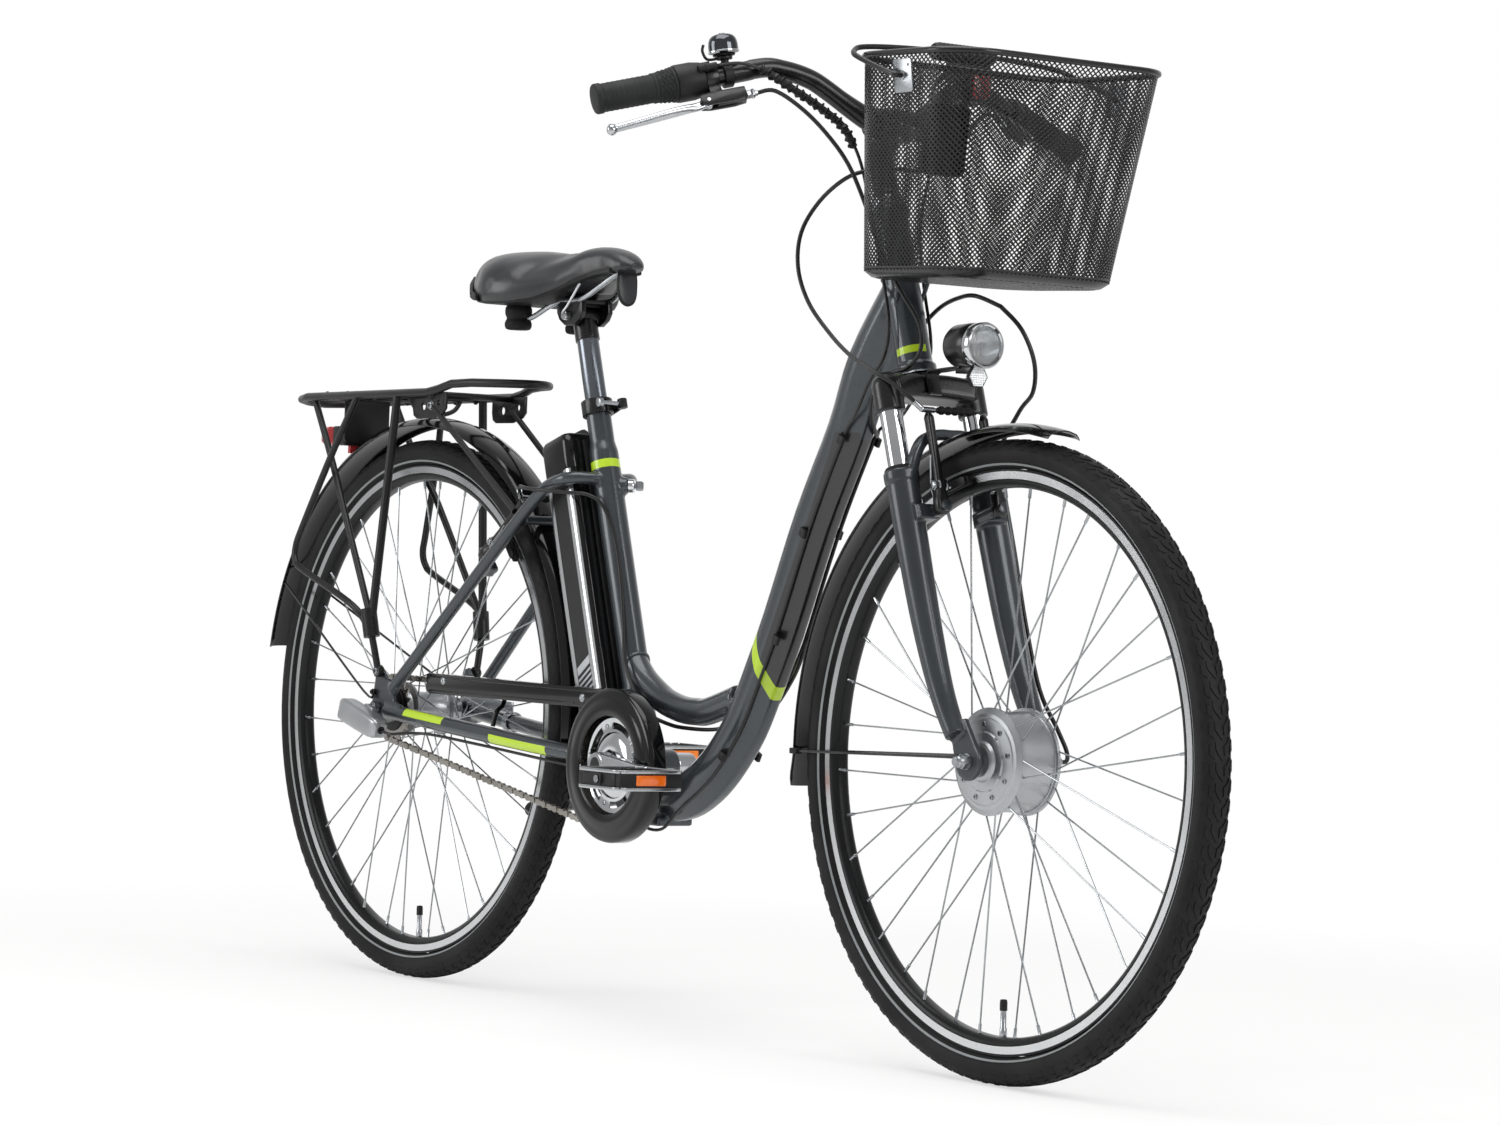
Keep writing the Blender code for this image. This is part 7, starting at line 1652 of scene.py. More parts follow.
piece("headlight_lens", [lens], clear_plastic, "steering", smooth_angle=50.0)
REFLECTOR_FACE = at(1.1226, 0.0, 0.766)
holder_cup = turned([(0.0, 0.0), (0.0, 0.0128), (0.0006, 0.0134), (0.0052, 0.0134), (0.0052, 0.0124),
                     (0.003, 0.0122), (0.003, 0.0)], REFLECTOR_FACE, X, 6, side=Y)
piece("reflector_cup", [holder_cup], moulded_black, "steering", smooth_angle=20.0)

# Reflector: clear acrylic whose back is pressed into 2.5 mm corner cubes, which read as bright
# facets under the smooth front. The cubes are bumped in; their glints are painted, as a colour lighter
# towards each cell's rim.
reflector_clear, tree, place = material("clear_reflector")
cells = add(tree, "TexVoronoi", {"Vector": place, "Scale": 420.0, "Randomness": 0.0}, distance="MANHATTAN")
share = add(tree, "MapRange", {"Value": cells.outputs["Distance"]}).outputs[0]
# Painted highlight: each cell goes from grey at its middle to near white at its rim, as the corner cubes'
# glints.
colour = blended(tree, share, tone("#c9cdd0"), tone("#f4f6f7"))
bump = add(tree, "Bump", {"Height": cells.outputs["Distance"], "Strength": 0.8, "Distance": 0.0008})
shine = add(tree, "BsdfPrincipled",
            {"Base Color": colour, "Roughness": 0.12, "Metallic": 0.35, "Coat Weight": 1.0,
             "Coat Roughness": 0.03, "Normal": bump.outputs[0]})
add(tree, "OutputMaterial", {"Surface": shine.outputs[0]})
face = turned([(0.0031, 0.0), (0.0031, 0.012), (0.0056, 0.012), (0.0062, 0.0112), (0.0062, 0.0)],
              REFLECTOR_FACE, X, 6, side=Y)
piece("front_reflector", [face], reflector_clear, "steering", smooth_angle=20.0)


# Chain: half inch roller chain of nickel plated steel, outer plates over inner plates and rollers.
# It stays in place with the frame, and the teeth turn under it.
CHAIN_LINE = 0.0455
CHAINRING_PITCH = 0.0809
SPROCKET_PITCH = 0.0406
CHAIN_PITCH = 0.0127
CRANK_LENGTH = 0.17


def chain_loop():
    """The chain's centre line: an arc round each wheel, joined by the straight runs."""
    rear = REAR_AXLE - Y * CHAIN_LINE
    front = BRACKET - Y * CHAIN_LINE
    run = front - rear
    lean = math.atan2(run.z, run.x)
    spread = math.acos((CHAINRING_PITCH - SPROCKET_PITCH) / run.length)
    points = []
    arcs = ((front, CHAINRING_PITCH, lean + math.pi - spread, lean - math.pi + spread, 60),
            (rear, SPROCKET_PITCH, lean - math.pi + spread, lean - math.pi - spread, 40))
    for center, pitch, start, end, steps in arcs:
        for k in range(steps + 1):
            angle = start + (end - start) * k / steps
            points.append(center + spoke_way(angle) * pitch)
    return points


# Nickel plate over steel, slightly oiled: a warm grey metal, duller where it has worn.
chain_steel = plain_finish("nickel_plated_steel", "#bdb9b3", "#98948e", 0.26, 0.9, 0.02,
                           **{"Metallic": 1.0})
loop = chain_loop()
loop_length = sum((b - a).length for a, b in zip(loop, loop[1:] + loop[:1]))
link_count = 2 * round(loop_length / CHAIN_PITCH / 2.0)
pins = [around_ring(loop, k / link_count) for k in range(link_count)]


def link_plate(start, end, y_low, y_high, radius, waist):
    """A figure of eight side plate between two pins."""
    way = (end - start).normalized()
    up = way.cross(Y)
    length = (end - start).length
    outline = []
    for k in range(9):
        angle = math.radians(70.0 + 220.0 * k / 8.0)
        outline.append((radius * math.cos(angle), radius * math.sin(angle)))
    outline.append((length / 2.0, -waist))
    for k in range(9):
        angle = math.radians(-110.0 + 220.0 * k / 8.0)
        outline.append((length + radius * math.cos(angle), radius * math.sin(angle)))
    outline.append((length / 2.0, waist))
    return plate(outline, y_low, y_high, way, up, -Y, start)


links = []
rollers = []
link_kinds = (((-0.0035, 0.0026), 0.0039, 0.0026), ((-0.0024, 0.0015), 0.0038, 0.0025))
for k, (start, end) in enumerate(zip(pins, pins[1:] + pins[:1])):
    lows, radius, waist = link_kinds[k % 2]
    for low in lows:
        links.append(link_plate(start, end, low, low + 0.0009, radius, waist))
    rollers.append(rod(start - Y * 0.0039, start + Y * 0.0039, 0.0017, 10))
    rollers.append(rod(start - Y * 0.0014, start + Y * 0.0014, 0.0037, 14))
piece("chain_plates", links, chain_steel, "frame", ("chain",), smooth_angle=30.0)
piece("chain_rollers", rollers, chain_steel, "frame", smooth_angle=35.0)

# Chainring and sprocket: stamped steel wheels whose teeth stand in the chain's gaps. A silver
# slotted disc of pressed steel is riveted to the chainring's outer side.
ring_teeth = round(math.tau * CHAINRING_PITCH / CHAIN_PITCH)
sprocket_teeth = round(math.tau * SPROCKET_PITCH / CHAIN_PITCH)


def toothed_wheel(center, pitch, teeth, bore, half):
    """Teeth round a disc, which has a round bore."""
    outer = []
    for k in range(teeth):
        for share, radius in ((-0.3, -0.0034), (-0.16, 0.0006), (-0.07, 0.0032), (0.07, 0.0032),
                              (0.16, 0.0006), (0.3, -0.0034), (0.42, -0.0042), (0.58, -0.0042)):
            angle = math.tau * (k + share) / teeth
            outer.append((math.cos(angle) * (pitch + radius), math.sin(angle) * (pitch + radius)))
    rings = []
    for along, inner in ((-half, False), (half, False), (half, True), (-half, True)):
        ring = []
        for u, v in outer:
            scale = bore / math.hypot(u, v) if inner else 1.0
            ring.append(center - Y * (CHAIN_LINE + along) + X * (u * scale) + Z * (v * scale))
        rings.append(ring)
    return skin(rings, closed=True)


piece("chainring_wheel", [toothed_wheel(BRACKET, CHAINRING_PITCH, ring_teeth, 0.056, 0.0013)], chain_steel,
      "cranks", ("chainring",), smooth_angle=30.0)
disc = turned([(0.0035, 0.0165), (0.011, 0.019), (0.0108, 0.03), (0.008, 0.0385), (0.0062, 0.04),
               (0.0062, 0.0545), (0.007, 0.056), (0.007, 0.0572), (0.0058, 0.0576), (0.005, 0.056),
               (0.005, 0.0395), (0.0068, 0.0378), (0.0094, 0.0296), (0.0096, 0.02), (0.0025, 0.0175)],
              BRACKET - Y * CHAIN_LINE, -Y, 96, hole=True)
slots = []
for k in range(5):
    arc = []
    for radius, way in ((0.0515, 1), (0.0435, -1)):
        for n in range(9):
            angle = math.tau * k / 5.0 + way * math.radians(-23.0 + 46.0 * n / 8.0)
            arc.append((radius * math.cos(angle), radius * math.sin(angle)))
    slots.append(plate(arc, -0.02, 0.02, X, Z, Y, BRACKET - Y * CHAIN_LINE))
disc_mesh = drilled(mesh_from("disc", [disc]), slots)
put("chainring_disc", disc_mesh, chrome, "cranks", bevel=0.0003, smooth_angle=35.0)
rivets = []
for k in range(5):
    spot = BRACKET - Y * CHAIN_LINE + spoke_way(math.tau * (k + 0.5) / 5.0) * 0.048
    rivets.append(turned([(-0.001, 0.003), (0.0066, 0.003), (0.0072, 0.0024), (0.0076, 0.0)], spot, -Y, 20))
piece("chainring_rivets", rivets, stainless, "cranks")
piece("sprocket_wheel", [toothed_wheel(REAR_AXLE, SPROCKET_PITCH, sprocket_teeth, 0.0158, 0.0011)],
      chain_steel, "sprocket", ("sprocket",), smooth_angle=30.0)
cover = [turned([(0.0015, 0.016), (0.0015, 0.029), (0.0022, 0.0296), (0.0034, 0.0285), (0.0046, 0.0215),
                 (0.0046, 0.016)], REAR_AXLE - Y * CHAIN_LINE, -Y, 48, hole=True)]
piece("sprocket_dust_cap", cover, moulded_black, "sprocket", smooth_angle=30.0)

# Cranks: forged aluminium, polished and lacquered, on a steel spindle with capped bolts.
# Each arm swells at the spindle and at the pedal's eye and is bowed a little outward.
RIGHT_ANGLE = math.radians(-2.0)


def crank(y, angle, start_y, end_y, hub_low, hub_high):
    """One arm with its hub and eye, as closed shells, and the middle of its pedal's eye."""
    along = spoke_way(angle)
    stations = smooth([Vector((0.0, start_y, 0.0)), Vector((0.06, start_y + 0.25 * (end_y - start_y), 0.0)),
                       Vector((CRANK_LENGTH, end_y, 0.0))], 10)
    path = [BRACKET + along * point.x + Y * point.y for point in stations]
    outlines = []
    for point in stations:
        share = point.x / CRANK_LENGTH
        tall = 0.015 - 0.0055 * min(1.0, share / 0.55) + 0.0012 * max(0.0, share - 0.7) / 0.3
        outlines.append(rounded(0.006, tall, 0.0035, 4))
    arm = section_tube(path, outlines, hint=along.cross(Y))
    eye = BRACKET + along * CRANK_LENGTH
    boss = turned([(-0.006, 0.0113), (-0.0052, 0.0122), (0.0052, 0.0122), (0.006, 0.0113)], eye + Y * end_y,
                  Y, 44)
    hub = turned([(hub_low, 0.015), (hub_low + 0.001 * y, 0.016), (hub_high - 0.0015 * y, 0.0158),
                  (hub_high, 0.0145)], BRACKET, Y, 44)
    return [arm, boss, hub], eye


shells, right_eye = crank(-1, RIGHT_ANGLE, -0.0705, -0.086, -0.0473, -0.078)
arm_mesh = welded("right_crank_arm", shells, 0.0011, 4,
                  (rod(BRACKET - Y * 0.04, BRACKET - Y * 0.0758, 0.0088, 28),))
put("right_crank_arm", arm_mesh, polished_alloy, "cranks", ("right_crank",))
shells, left_eye = crank(1, RIGHT_ANGLE + math.pi, 0.056, 0.086, 0.0343, 0.062)
arm_mesh = welded("left_crank_arm", shells, 0.0011, 4)
put("left_crank_arm", arm_mesh, polished_alloy, "cranks", ("left_crank",))
piece("crank_spindle", [rod(BRACKET - Y * 0.0755, BRACKET + Y * 0.036, 0.0085, 32)], stainless, "cranks")
caps = []
for face, y in ((0.078, -1), (0.062, 1)):
    caps.append(turned([(-0.001, 0.0112), (0.0002, 0.0112), (0.0012, 0.01), (0.0016, 0.006), (0.0017, 0.0)],
                       BRACKET + Y * ((face - 0.0012) * y), Y * y, 36))
piece("crank_bolt_caps", caps, moulded_black, "cranks")

# Pedals: glass filled nylon bodies with ribbed treads between two pressed aluminium hoops. The
# spindles are steel, and an amber reflector sits in each long side.
amber = plain_finish("amber_reflector", "#e8650c", "#ff8a1e", 0.12, 0.8, 0.05,
                     **{"IOR": ACRYLIC_INDEX, "Coat Weight": 0.8, "Coat Roughness": 0.05})
for name, y, eye in (("right_pedal", -1, right_eye), ("left_pedal", 1, left_eye)):
    middle = eye + Y * (0.1415 * y)
    bars = ((0.035, 0.015, 0.019), (-0.035, 0.015, 0.019), (0.0185, 0.004, 0.018), (-0.0185, 0.004, 0.018))
    body = [block(middle + X * ahead, (thick, 0.086, tall)) for ahead, thick, tall in bars]
    for across in (-0.042, -0.021, 0.0, 0.021, 0.042):
        body.append(block(middle + Y * across, (0.066, 0.0036, 0.017)))
    for ahead, _, _ in bars:
        for up in (0.0098, -0.0098):
            for k in range(13):
                body.append(block(middle + Vector((ahead, -0.0396 + 0.0066 * k, up)),
                                  (0.006, 0.0026, 0.0014)))
    body.append(rod(eye + Y * (0.0985 * y), eye + Y * (0.1845 * y), 0.0088, 28))
    bore = rod(eye + Y * (0.08 * y), eye + Y * (0.2 * y), 0.0052, 28)
    put(name + "_body", drilled(mesh_from(name, body), [bore]), moulded_black, name, (name,),
        bevel=0.0004)
    hoops = []
    for up in (0.01, -0.01):
        path = [middle + X * u + Y * v + Z * up for u, v in rounded(0.0438, 0.0462, 0.012, 8)]
        hoops.append(section_tube(path, rounded(0.001, 0.002, 0.0006, 3), closed=True))
    piece(name + "_hoops", hoops, polished_alloy, name, smooth_angle=50.0)
    caps = [turned([(0.096, 0.0052), (0.096, 0.0074), (0.0984, 0.008), (0.0984, 0.0052)], eye, Y * y, 32,
                   hole=True),
            turned([(0.1846, 0.0052), (0.1846, 0.008), (0.1874, 0.0074), (0.188, 0.0064), (0.188, 0.0052)],
                   eye, Y * y, 32, hole=True)]
    piece(name + "_caps", caps, moulded_black, name)
    lenses = []
    for ahead in (1, -1):
        lenses.append(section_tube([middle + X * (x * ahead) for x in (0.042, 0.0432, 0.0436)],
                                   [rounded(0.0205, 0.006, 0.0012), rounded(0.0205, 0.006, 0.0012),
                                    rounded(0.0198, 0.0053, 0.001)], hint=Z))
    piece(name + "_reflectors", lenses, amber, name)
for name, y, eye in (("right_pedal", -1, right_eye), ("left_pedal", 1, left_eye)):
    spindle = [rod(eye + Y * (0.086 * y), eye + Y * (0.19 * y), 0.0045, 28),
               hexagon(eye, Y * y, 0.0922, 0.0941, 0.0085)]
    piece(name + "_spindle", spindle, stainless, "cranks", smooth_angle=30.0)

# Chainguard: injection moulded black polycarbonate over the ring and the upper run, mirror
# polished, with a raised rim. Zinc screws hold it to a tab on the frame.
guard_side = [(0.038, 0.0905), (0.0378, 0.0915), (0.038, 0.0926), (0.039, 0.093), (0.054, 0.093),
              (0.057, 0.0922), (0.0592, 0.0905), (0.06, 0.089), (0.0606, 0.084), (0.0604, 0.08),
              (0.0612, 0.078), (0.062, 0.07), (0.062, 0.064), (0.0612, 0.06), (0.06, 0.059), (0.0592, 0.06),
              (0.059, 0.064), (0.0586, 0.074), (0.0584, 0.086), (0.057, 0.0893), (0.0545, 0.0905)]
guard_mesh = mesh_from("guard_ring", [turned(guard_side, BRACKET, -Y, 128, hole=True, side=X)])
guard_mesh = drilled(guard_mesh, [block(at(BRACKET_X - 0.055, -0.0418, 0.3025), (0.13, 0.0235, 0.205))])


def run_height(x):
    """The height of the upper run's centre line at a place behind the bracket."""
    rear_top = WHEEL_RADIUS + SPROCKET_PITCH
    front_top = BRACKET_Z + CHAINRING_PITCH
    return rear_top + (front_top - rear_top) * x / BRACKET_X


low = 0.3725
side_outline = [(0.098, low + 0.008), (0.1005, low + 0.0025), (0.106, low), (0.5, low - 0.001),
                (0.515, low + 0.0035), (0.52, low + 0.01), (0.52, run_height(0.52) + 0.0093),
                (0.104, run_height(0.104) + 0.0093), (0.1, run_height(0.1) + 0.008),
                (0.098, run_height(0.098) + 0.005)]
guard_plates = [plate(side_outline, -0.058, -0.0555, origin=at(0, 0, 0))]
first, last = 0.1045, 0.519
top_outline = [(first, run_height(first) + 0.0073), (last, run_height(last) + 0.0073),
               (last, run_height(last) + 0.0091), (first, run_height(first) + 0.0091)]
guard_plates.append(plate(top_outline, -0.057, -0.0383, origin=at(0, 0, 0)))
guard_plates.append(tube(smooth([at(0.25, -0.0365, 0.3965), at(0.25, -0.0365, 0.368),
                                 at(0.25, -0.047, 0.356), at(0.25, -0.052, 0.3378)], 5), 0.003, 16, hint=X))
# A narrow raised rib follows the side plate's upper and lower edges.
for points in ([(0.106, low + 0.0042), (0.44, low + 0.0034)],
               [(0.106, run_height(0.106) + 0.0052), (0.49, run_height(0.49) + 0.0052)]):
    guard_plates.append(tube([at(x, -0.0578, z) for x, z in points], 0.0011, 12))
guard_mesh = gathered("chainguard_shell", [guard_mesh, mesh_from("guard_plates", guard_plates)])
put("chainguard_shell", guard_mesh, black_polycarbonate, "frame", ("chainguard",),
    bevel=0.0003, smooth_angle=40.0)
guard_screws = []
for x, z in ((0.1384, 0.3896), (0.4574, 0.3828)):
    spot = at(x, -0.0579, z)
    guard_screws.append(turned([(0.0, 0.0052), (0.001, 0.0048), (0.0018, 0.0034), (0.0018, 0.0014),
                                (0.0008, 0.0)], spot, -Y, 24))
piece("chainguard_screws", guard_screws, zinc, "frame")

# Rear axle: hardened steel with cones and locknuts, and the coaster brake's pressed steel arm,
# strapped to the left stay. On the right a silver click box covers the gear's toggle.
axle_parts = [rod(REAR_AXLE - Y * 0.086, REAR_AXLE + Y * 0.08, 0.005, 28)]
for y in (1, -1):
    axle_parts.append(hexagon(REAR_AXLE, Y * y, 0.051, 0.0545, 0.0094))
    axle_parts.append(rod(REAR_AXLE + Y * (0.0545 * y), REAR_AXLE + Y * (0.0632 * y), 0.0082, 28))
arm_outline = [(-0.01, -0.008), (0.008, -0.01), (0.022, 0.0065), (0.128, 0.0002), (0.128, 0.0145),
               (0.02, 0.0195), (-0.006, 0.012), (-0.012, 0.002)]
axle_parts.append(plate(arm_outline, 0.0535, 0.0563, origin=REAR_AXLE))
strap_place = at(0.12, 0.061, 0.3375)
stay_axis = (at(0.3, 0.05, 0.3225) - strap_place).normalized()
axle_parts.append(collar(strap_place, stay_axis, -0.008, 0.004, 0.0115, 0.0136, 32))
piece("rear_axle_and_arm", axle_parts, zinc, "frame", ("rear_axle",), bevel=0.0004)
lean = math.radians(15.0)
click_front = spoke_way(-lean)
click_up = quarter(click_front)
click_path = smooth([at(-0.035, -0.096, 0.3462), at(-0.028, -0.096, 0.3443), at(0.04, -0.096, 0.326),
                     at(0.054, -0.096, 0.3223)], 4)
click_sizes = smooth([Vector((0.009, 0.011, 0.004)), Vector((0.012, 0.0145, 0.005)),
                      Vector((0.012, 0.0135, 0.005)), Vector((0.008, 0.008, 0.004))], 4)
click = [section_tube(click_path, [rounded(s.x, s.y, min(s.z, s.x * 0.8), 4) for s in click_sizes],
                      hint=click_up),
         block(REAR_AXLE + Vector((0.006, -0.086, -0.01)), (0.02, 0.006, 0.026), click_front, Y, click_up)]
piece("gear_click_box", click, cast_silver, "frame", bevel=0.0005)
piece("click_box_seal", [collar(at(0.052, -0.096, 0.3228), click_front, -0.002, 0.0035, 0.0022, 0.005)],
      moulded_black, "frame")

# Kickstand: forged head on a steel pin, with a cast aluminium leg under black enamel and a
# rubber foot.
head = [turned([(-0.0175, 0.0112), (-0.0165, 0.012), (0.005, 0.012), (0.006, 0.0112)],
               STAND_PIVOT, STAND_AXIS, 40),
        rod(STAND_PIVOT - STAND_AXIS * 0.029, STAND_PIVOT, 0.0045, 24)]
foot = STAND_PIVOT + STAND_FOLDED
leg_path = smooth([STAND_PIVOT, STAND_PIVOT + STAND_FOLDED * 0.12, STAND_PIVOT + STAND_FOLDED * 0.55,
                   foot], 6)
leg_radii = smooth([0.0095, 0.0075, 0.0072, 0.007], 6)
head.append(tube(leg_path, leg_radii, 28))
piece("kickstand_leg", head, black_enamel, "kickstand", ("kickstand",), smooth_angle=40.0)
way = STAND_FOLDED.normalized()
cap = [turned([(-0.02, 0.0072), (-0.019, 0.0085), (-0.016, 0.0098), (-0.012, 0.01), (-0.01, 0.0094),
               (-0.008, 0.01), (0.001, 0.01), (0.005, 0.0086), (0.006, 0.0)], foot, way, 32)]
piece("kickstand_foot", cap, rubber, "kickstand")


# Rear rack: bent steel tube and wire, welded and powder coated black. Pressed side plates carry
# the rails, and M5 bolts in zinc hold it to the seat stays and the dropouts.
RACK_TOP = Z * 0.752
RACK_RAIL_RADIUS = 0.0055
RACK_WIRE_RADIUS = 0.0045
CROSS_BARS = (-0.172, -0.12, -0.05, 0.0, 0.09)


def on_rack(x, y, rise):
    """A point given from the height of the rack's carrying rails."""
    return at(x, y, 0.0) + RACK_TOP + Z * rise


def rack_leg(points, y, radius):
    """A strut of one side: straight between two points, or a smooth run through more."""
    path = [at(x, across * y, z) for x, across, z in points]
    if len(points) > 2:
        path = smooth(path, 5)
    return tube(path, radius, 18)


# Black powder coat over steel: satin, with a slight orange peel.
powder_black = plain_finish("powder_coat", "#0d0d0e", "#151516", 0.38, 0.8, 0.02,
                            **{"IOR": 1.5, "Specular IOR Level": 0.4})
rack_half = [(-0.283, 0.0, -0.0054), (-0.272, 0.032, -0.004), (-0.25, 0.055, -0.0022), (-0.217, 0.065, 0.0),
             (0.085, 0.065, 0.0035), (0.11, 0.0635, 0.0075), (0.135, 0.06, 0.014), (0.17, 0.052, 0.0155),
             (0.215, 0.035, 0.015), (0.236, 0.015, 0.015)]
rail = [on_rack(x, y, rise) for x, y, rise in rack_half] + [on_rack(0.241, 0.0, 0.015)]
rail += [mirrored(point, -1) for point in reversed(rail[1:-1])]
rack = [tube(rail, RACK_RAIL_RADIUS, 20, closed=True)]
for x in CROSS_BARS:
    rack.append(rod(on_rack(x, -0.065, 0.001), on_rack(x, 0.065, 0.001), RACK_WIRE_RADIUS, 18))
hoop = smooth([on_rack(0, y, rise)
               for y, rise in ((0.04, 0.001), (0.03, -0.014), (0.012, -0.0208), (-0.012, -0.0208),
                               (-0.03, -0.014), (-0.04, 0.001))], 6)
rack.append(tube(hoop, 0.003, 14))
rack_bolts = []
plates = []
for y in (1, -1):
    rack.append(rack_leg([(0.09, 0.06, 0.739), (0.288, 0.056, 0.6065)], y, 0.004))
    rack.append(rack_leg([(0.012, 0.065, 0.752), (0.001, 0.085, 0.45)], y, RACK_RAIL_RADIUS))
    rack.append(rack_leg([(-0.088, 0.065, 0.753), (-0.12, 0.08, 0.68), (-0.166, 0.095, 0.58),
                          (-0.177, 0.098, 0.552), (-0.172, 0.1, 0.534), (-0.15, 0.1, 0.522),
                          (-0.04, 0.096, 0.484), (-0.012, 0.088, 0.462), (0.001, 0.084, 0.44)], y,
                         RACK_WIRE_RADIUS))
    rack.append(rack_leg([(-0.205, 0.062, 0.752), (-0.15, 0.066, 0.674), (-0.1045, 0.074, 0.617),
                          (0.001, 0.085, 0.462)], y, RACK_WIRE_RADIUS))
    rack.append(rack_leg([(-0.006, 0.0855, 0.476), (0.002, 0.0835, 0.44)], y, 0.0106))
    rack.append(rack_leg([(0.0, 0.085, 0.452), (0.0035, 0.08, 0.425), (0.006, 0.075, 0.398)], y,
                         RACK_WIRE_RADIUS))
    rack.append(turned([(-0.0038, 0.0076), (-0.0032, 0.008), (0.0032, 0.008), (0.0038, 0.0076)],
                       at(0.006, 0.0737 * y, 0.3965), Y, 32))
    face = 0.0585 if y > 0 else -0.0615
    side_outline = [(0.045, 0.7525), (0.085, 0.7545), (0.125, 0.756), (0.125, 0.735), (0.118, 0.7285),
                    (0.095, 0.7222), (0.055, 0.7222), (0.0475, 0.7262), (0.045, 0.735)]
    holes = [rod(at(0.071, -0.1, 0.738), at(0.071, 0.1, 0.738), 0.0052, 28),
             rod(at(0.108, -0.1, 0.742), at(0.108, 0.1, 0.742), 0.004, 28)]
    plates.append(drilled(mesh_from("rack_side",
                                    [plate(side_outline, face, face + 0.003, origin=at(0, 0, 0))]), holes))
    for spot, low in ((at(0.006, 0.0774 * y, 0.3965), 0.0), (at(0.09, 0.063 * y, 0.739), -0.001)):
        rack_bolts.append(turned([(low, 0.0048), (low + 0.002, 0.0048), (low + 0.003, 0.004),
                                  (low + 0.003, 0.0024), (low + 0.0012, 0.0022), (low + 0.0012, 0.0)], spot,
                                 Y * y, 24))
        rack_bolts.append(collar(spot, Y * y, low - 0.0012, low + 0.0002, 0.0022, 0.006))
lamp_plate = section_tube([at(x, 0.0, 0.724) for x in (-0.1735, -0.1705)], rounded(0.034, 0.031, 0.006))
plates.append(mesh_from("lamp_plate", [lamp_plate]))
put("rack_tubes", mesh_from("rack_tubes", rack), powder_black, "frame", ("rear_rack",),
    smooth_angle=50.0)
put("rack_plates", gathered("rack_plates", plates), powder_black, "frame", bevel=0.0004)
piece("rack_bolts", rack_bolts, zinc, "frame", smooth_angle=30.0)
seams = []
for y in (1, -1):
    for x in CROSS_BARS:
        seams.append(turned([(-0.0018, 0.004), (-0.0006, 0.0062), (0.001, 0.0066), (0.0022, 0.0058)],
                            on_rack(x, 0.061 * y, 0.001), Y * y, 20))
piece("rack_weld_beads", seams, powder_black, "frame")

# Rear light: black moulded housing with a red acrylic lens, ribbed inside, on the rack's plate.
red_lens, tree, place = material("red_acrylic")
ribs = add(tree, "TexWave", {"Vector": place, "Scale": 140.0, "Distortion": 0.0}, wave_type="BANDS",
           bands_direction="Y").outputs["Fac"]
colour = blended(tree, ribs, tone("#a50d12"), tone("#d81c20"))
bump = add(tree, "Bump", {"Height": ribs, "Strength": 0.25, "Distance": 0.0005})
shine = add(tree, "BsdfPrincipled",
            {"Base Color": colour, "Roughness": 0.08, "IOR": ACRYLIC_INDEX, "Coat Weight": 0.6,
             "Coat Roughness": 0.03, "Transmission Weight": 0.25, "Normal": bump.outputs[0]})
add(tree, "OutputMaterial", {"Surface": shine.outputs[0]})
light_housing = [section_tube([at(x, 0, 0.7025) for x in (-0.174, -0.176, -0.204)],
                              [rounded(w, h, 0.004)
                               for w, h in ((0.031, 0.0115), (0.0322, 0.0127), (0.0322, 0.0127))])]
light_lens = [section_tube([at(x, 0, 0.7025) for x in (-0.2042, -0.232, -0.2385, -0.2425, -0.2448)],
                           [rounded(w, h, c)
                            for w, h, c in ((0.0317, 0.0122, 0.004), (0.0317, 0.0122, 0.006),
                                            (0.03, 0.0108, 0.006), (0.0265, 0.0085, 0.005),
                                            (0.022, 0.006, 0.004))]),
              block(at(-0.1905, 0.0, 0.6872), (0.007, 0.029, 0.015))]
piece("rear_light_housing", light_housing, moulded_black, "frame", ("rear_light",),
      bevel=0.0004)
piece("rear_light_lens", light_lens, red_lens, "frame", bevel=0.0008)


# Battery: a gloss black case between two moulded caps, with a grained panel and bright edge strips
# on each side. It slides up its rail once the key releases the lock.
BATTERY_LOW = 0.064
BATTERY_HIGH = 0.43
DOCK_THICKNESS = 0.0036
RAIL_BACK = SEAT_TUBE_RADIUS + 0.0003
battery_back = RAIL_BACK + DOCK_THICKNESS + 0.0003 + 0.03
# Grained coat over aluminium: black and matt, with a coarse 0.7 mm grain.
case_black = plain_finish("grained_coat", "#101011", "#1a1a1b", 0.42, 0.7, 0.06,
                          drift=(30.0, 6.0, 0.5, 0.7), **{"IOR": 1.5, "Specular IOR Level": 0.45})


def battery_shell(levels):
    """Closed rings up the battery; each level is (height, how much smaller, corner)."""
    rings = []
    for height, less, corner in levels:
        outline = rounded(0.03 - less, 0.038 - less, corner, 6)
        rings.append([seat(height, battery_back + u, v) for u, v in outline])
    return skin(rings)


case = battery_shell([(BATTERY_LOW + 0.028, 0.0006, 0.01), (BATTERY_HIGH - 0.046, 0.0006, 0.01)])
piece("battery_case", [case], black_polycarbonate, "battery", ("battery",))
caps = [battery_shell([(BATTERY_LOW, 0.0042, 0.008), (BATTERY_LOW + 0.0015, 0.002, 0.009),
                       (BATTERY_LOW + 0.006, 0.0, 0.01), (BATTERY_LOW + 0.0275, 0.0, 0.01),
                       (BATTERY_LOW + 0.0284, 0.0008, 0.0095)]),
        battery_shell([(BATTERY_HIGH - 0.0464, 0.0008, 0.0095), (BATTERY_HIGH - 0.0455, 0.0, 0.01),
                       (BATTERY_HIGH - 0.012, 0.0, 0.01), (BATTERY_HIGH - 0.005, 0.001, 0.01),
                       (BATTERY_HIGH - 0.0012, 0.0034, 0.009), (BATTERY_HIGH, 0.0068, 0.007)])]
piece("battery_caps", caps, black_polycarbonate, "battery", bevel=0.0003)
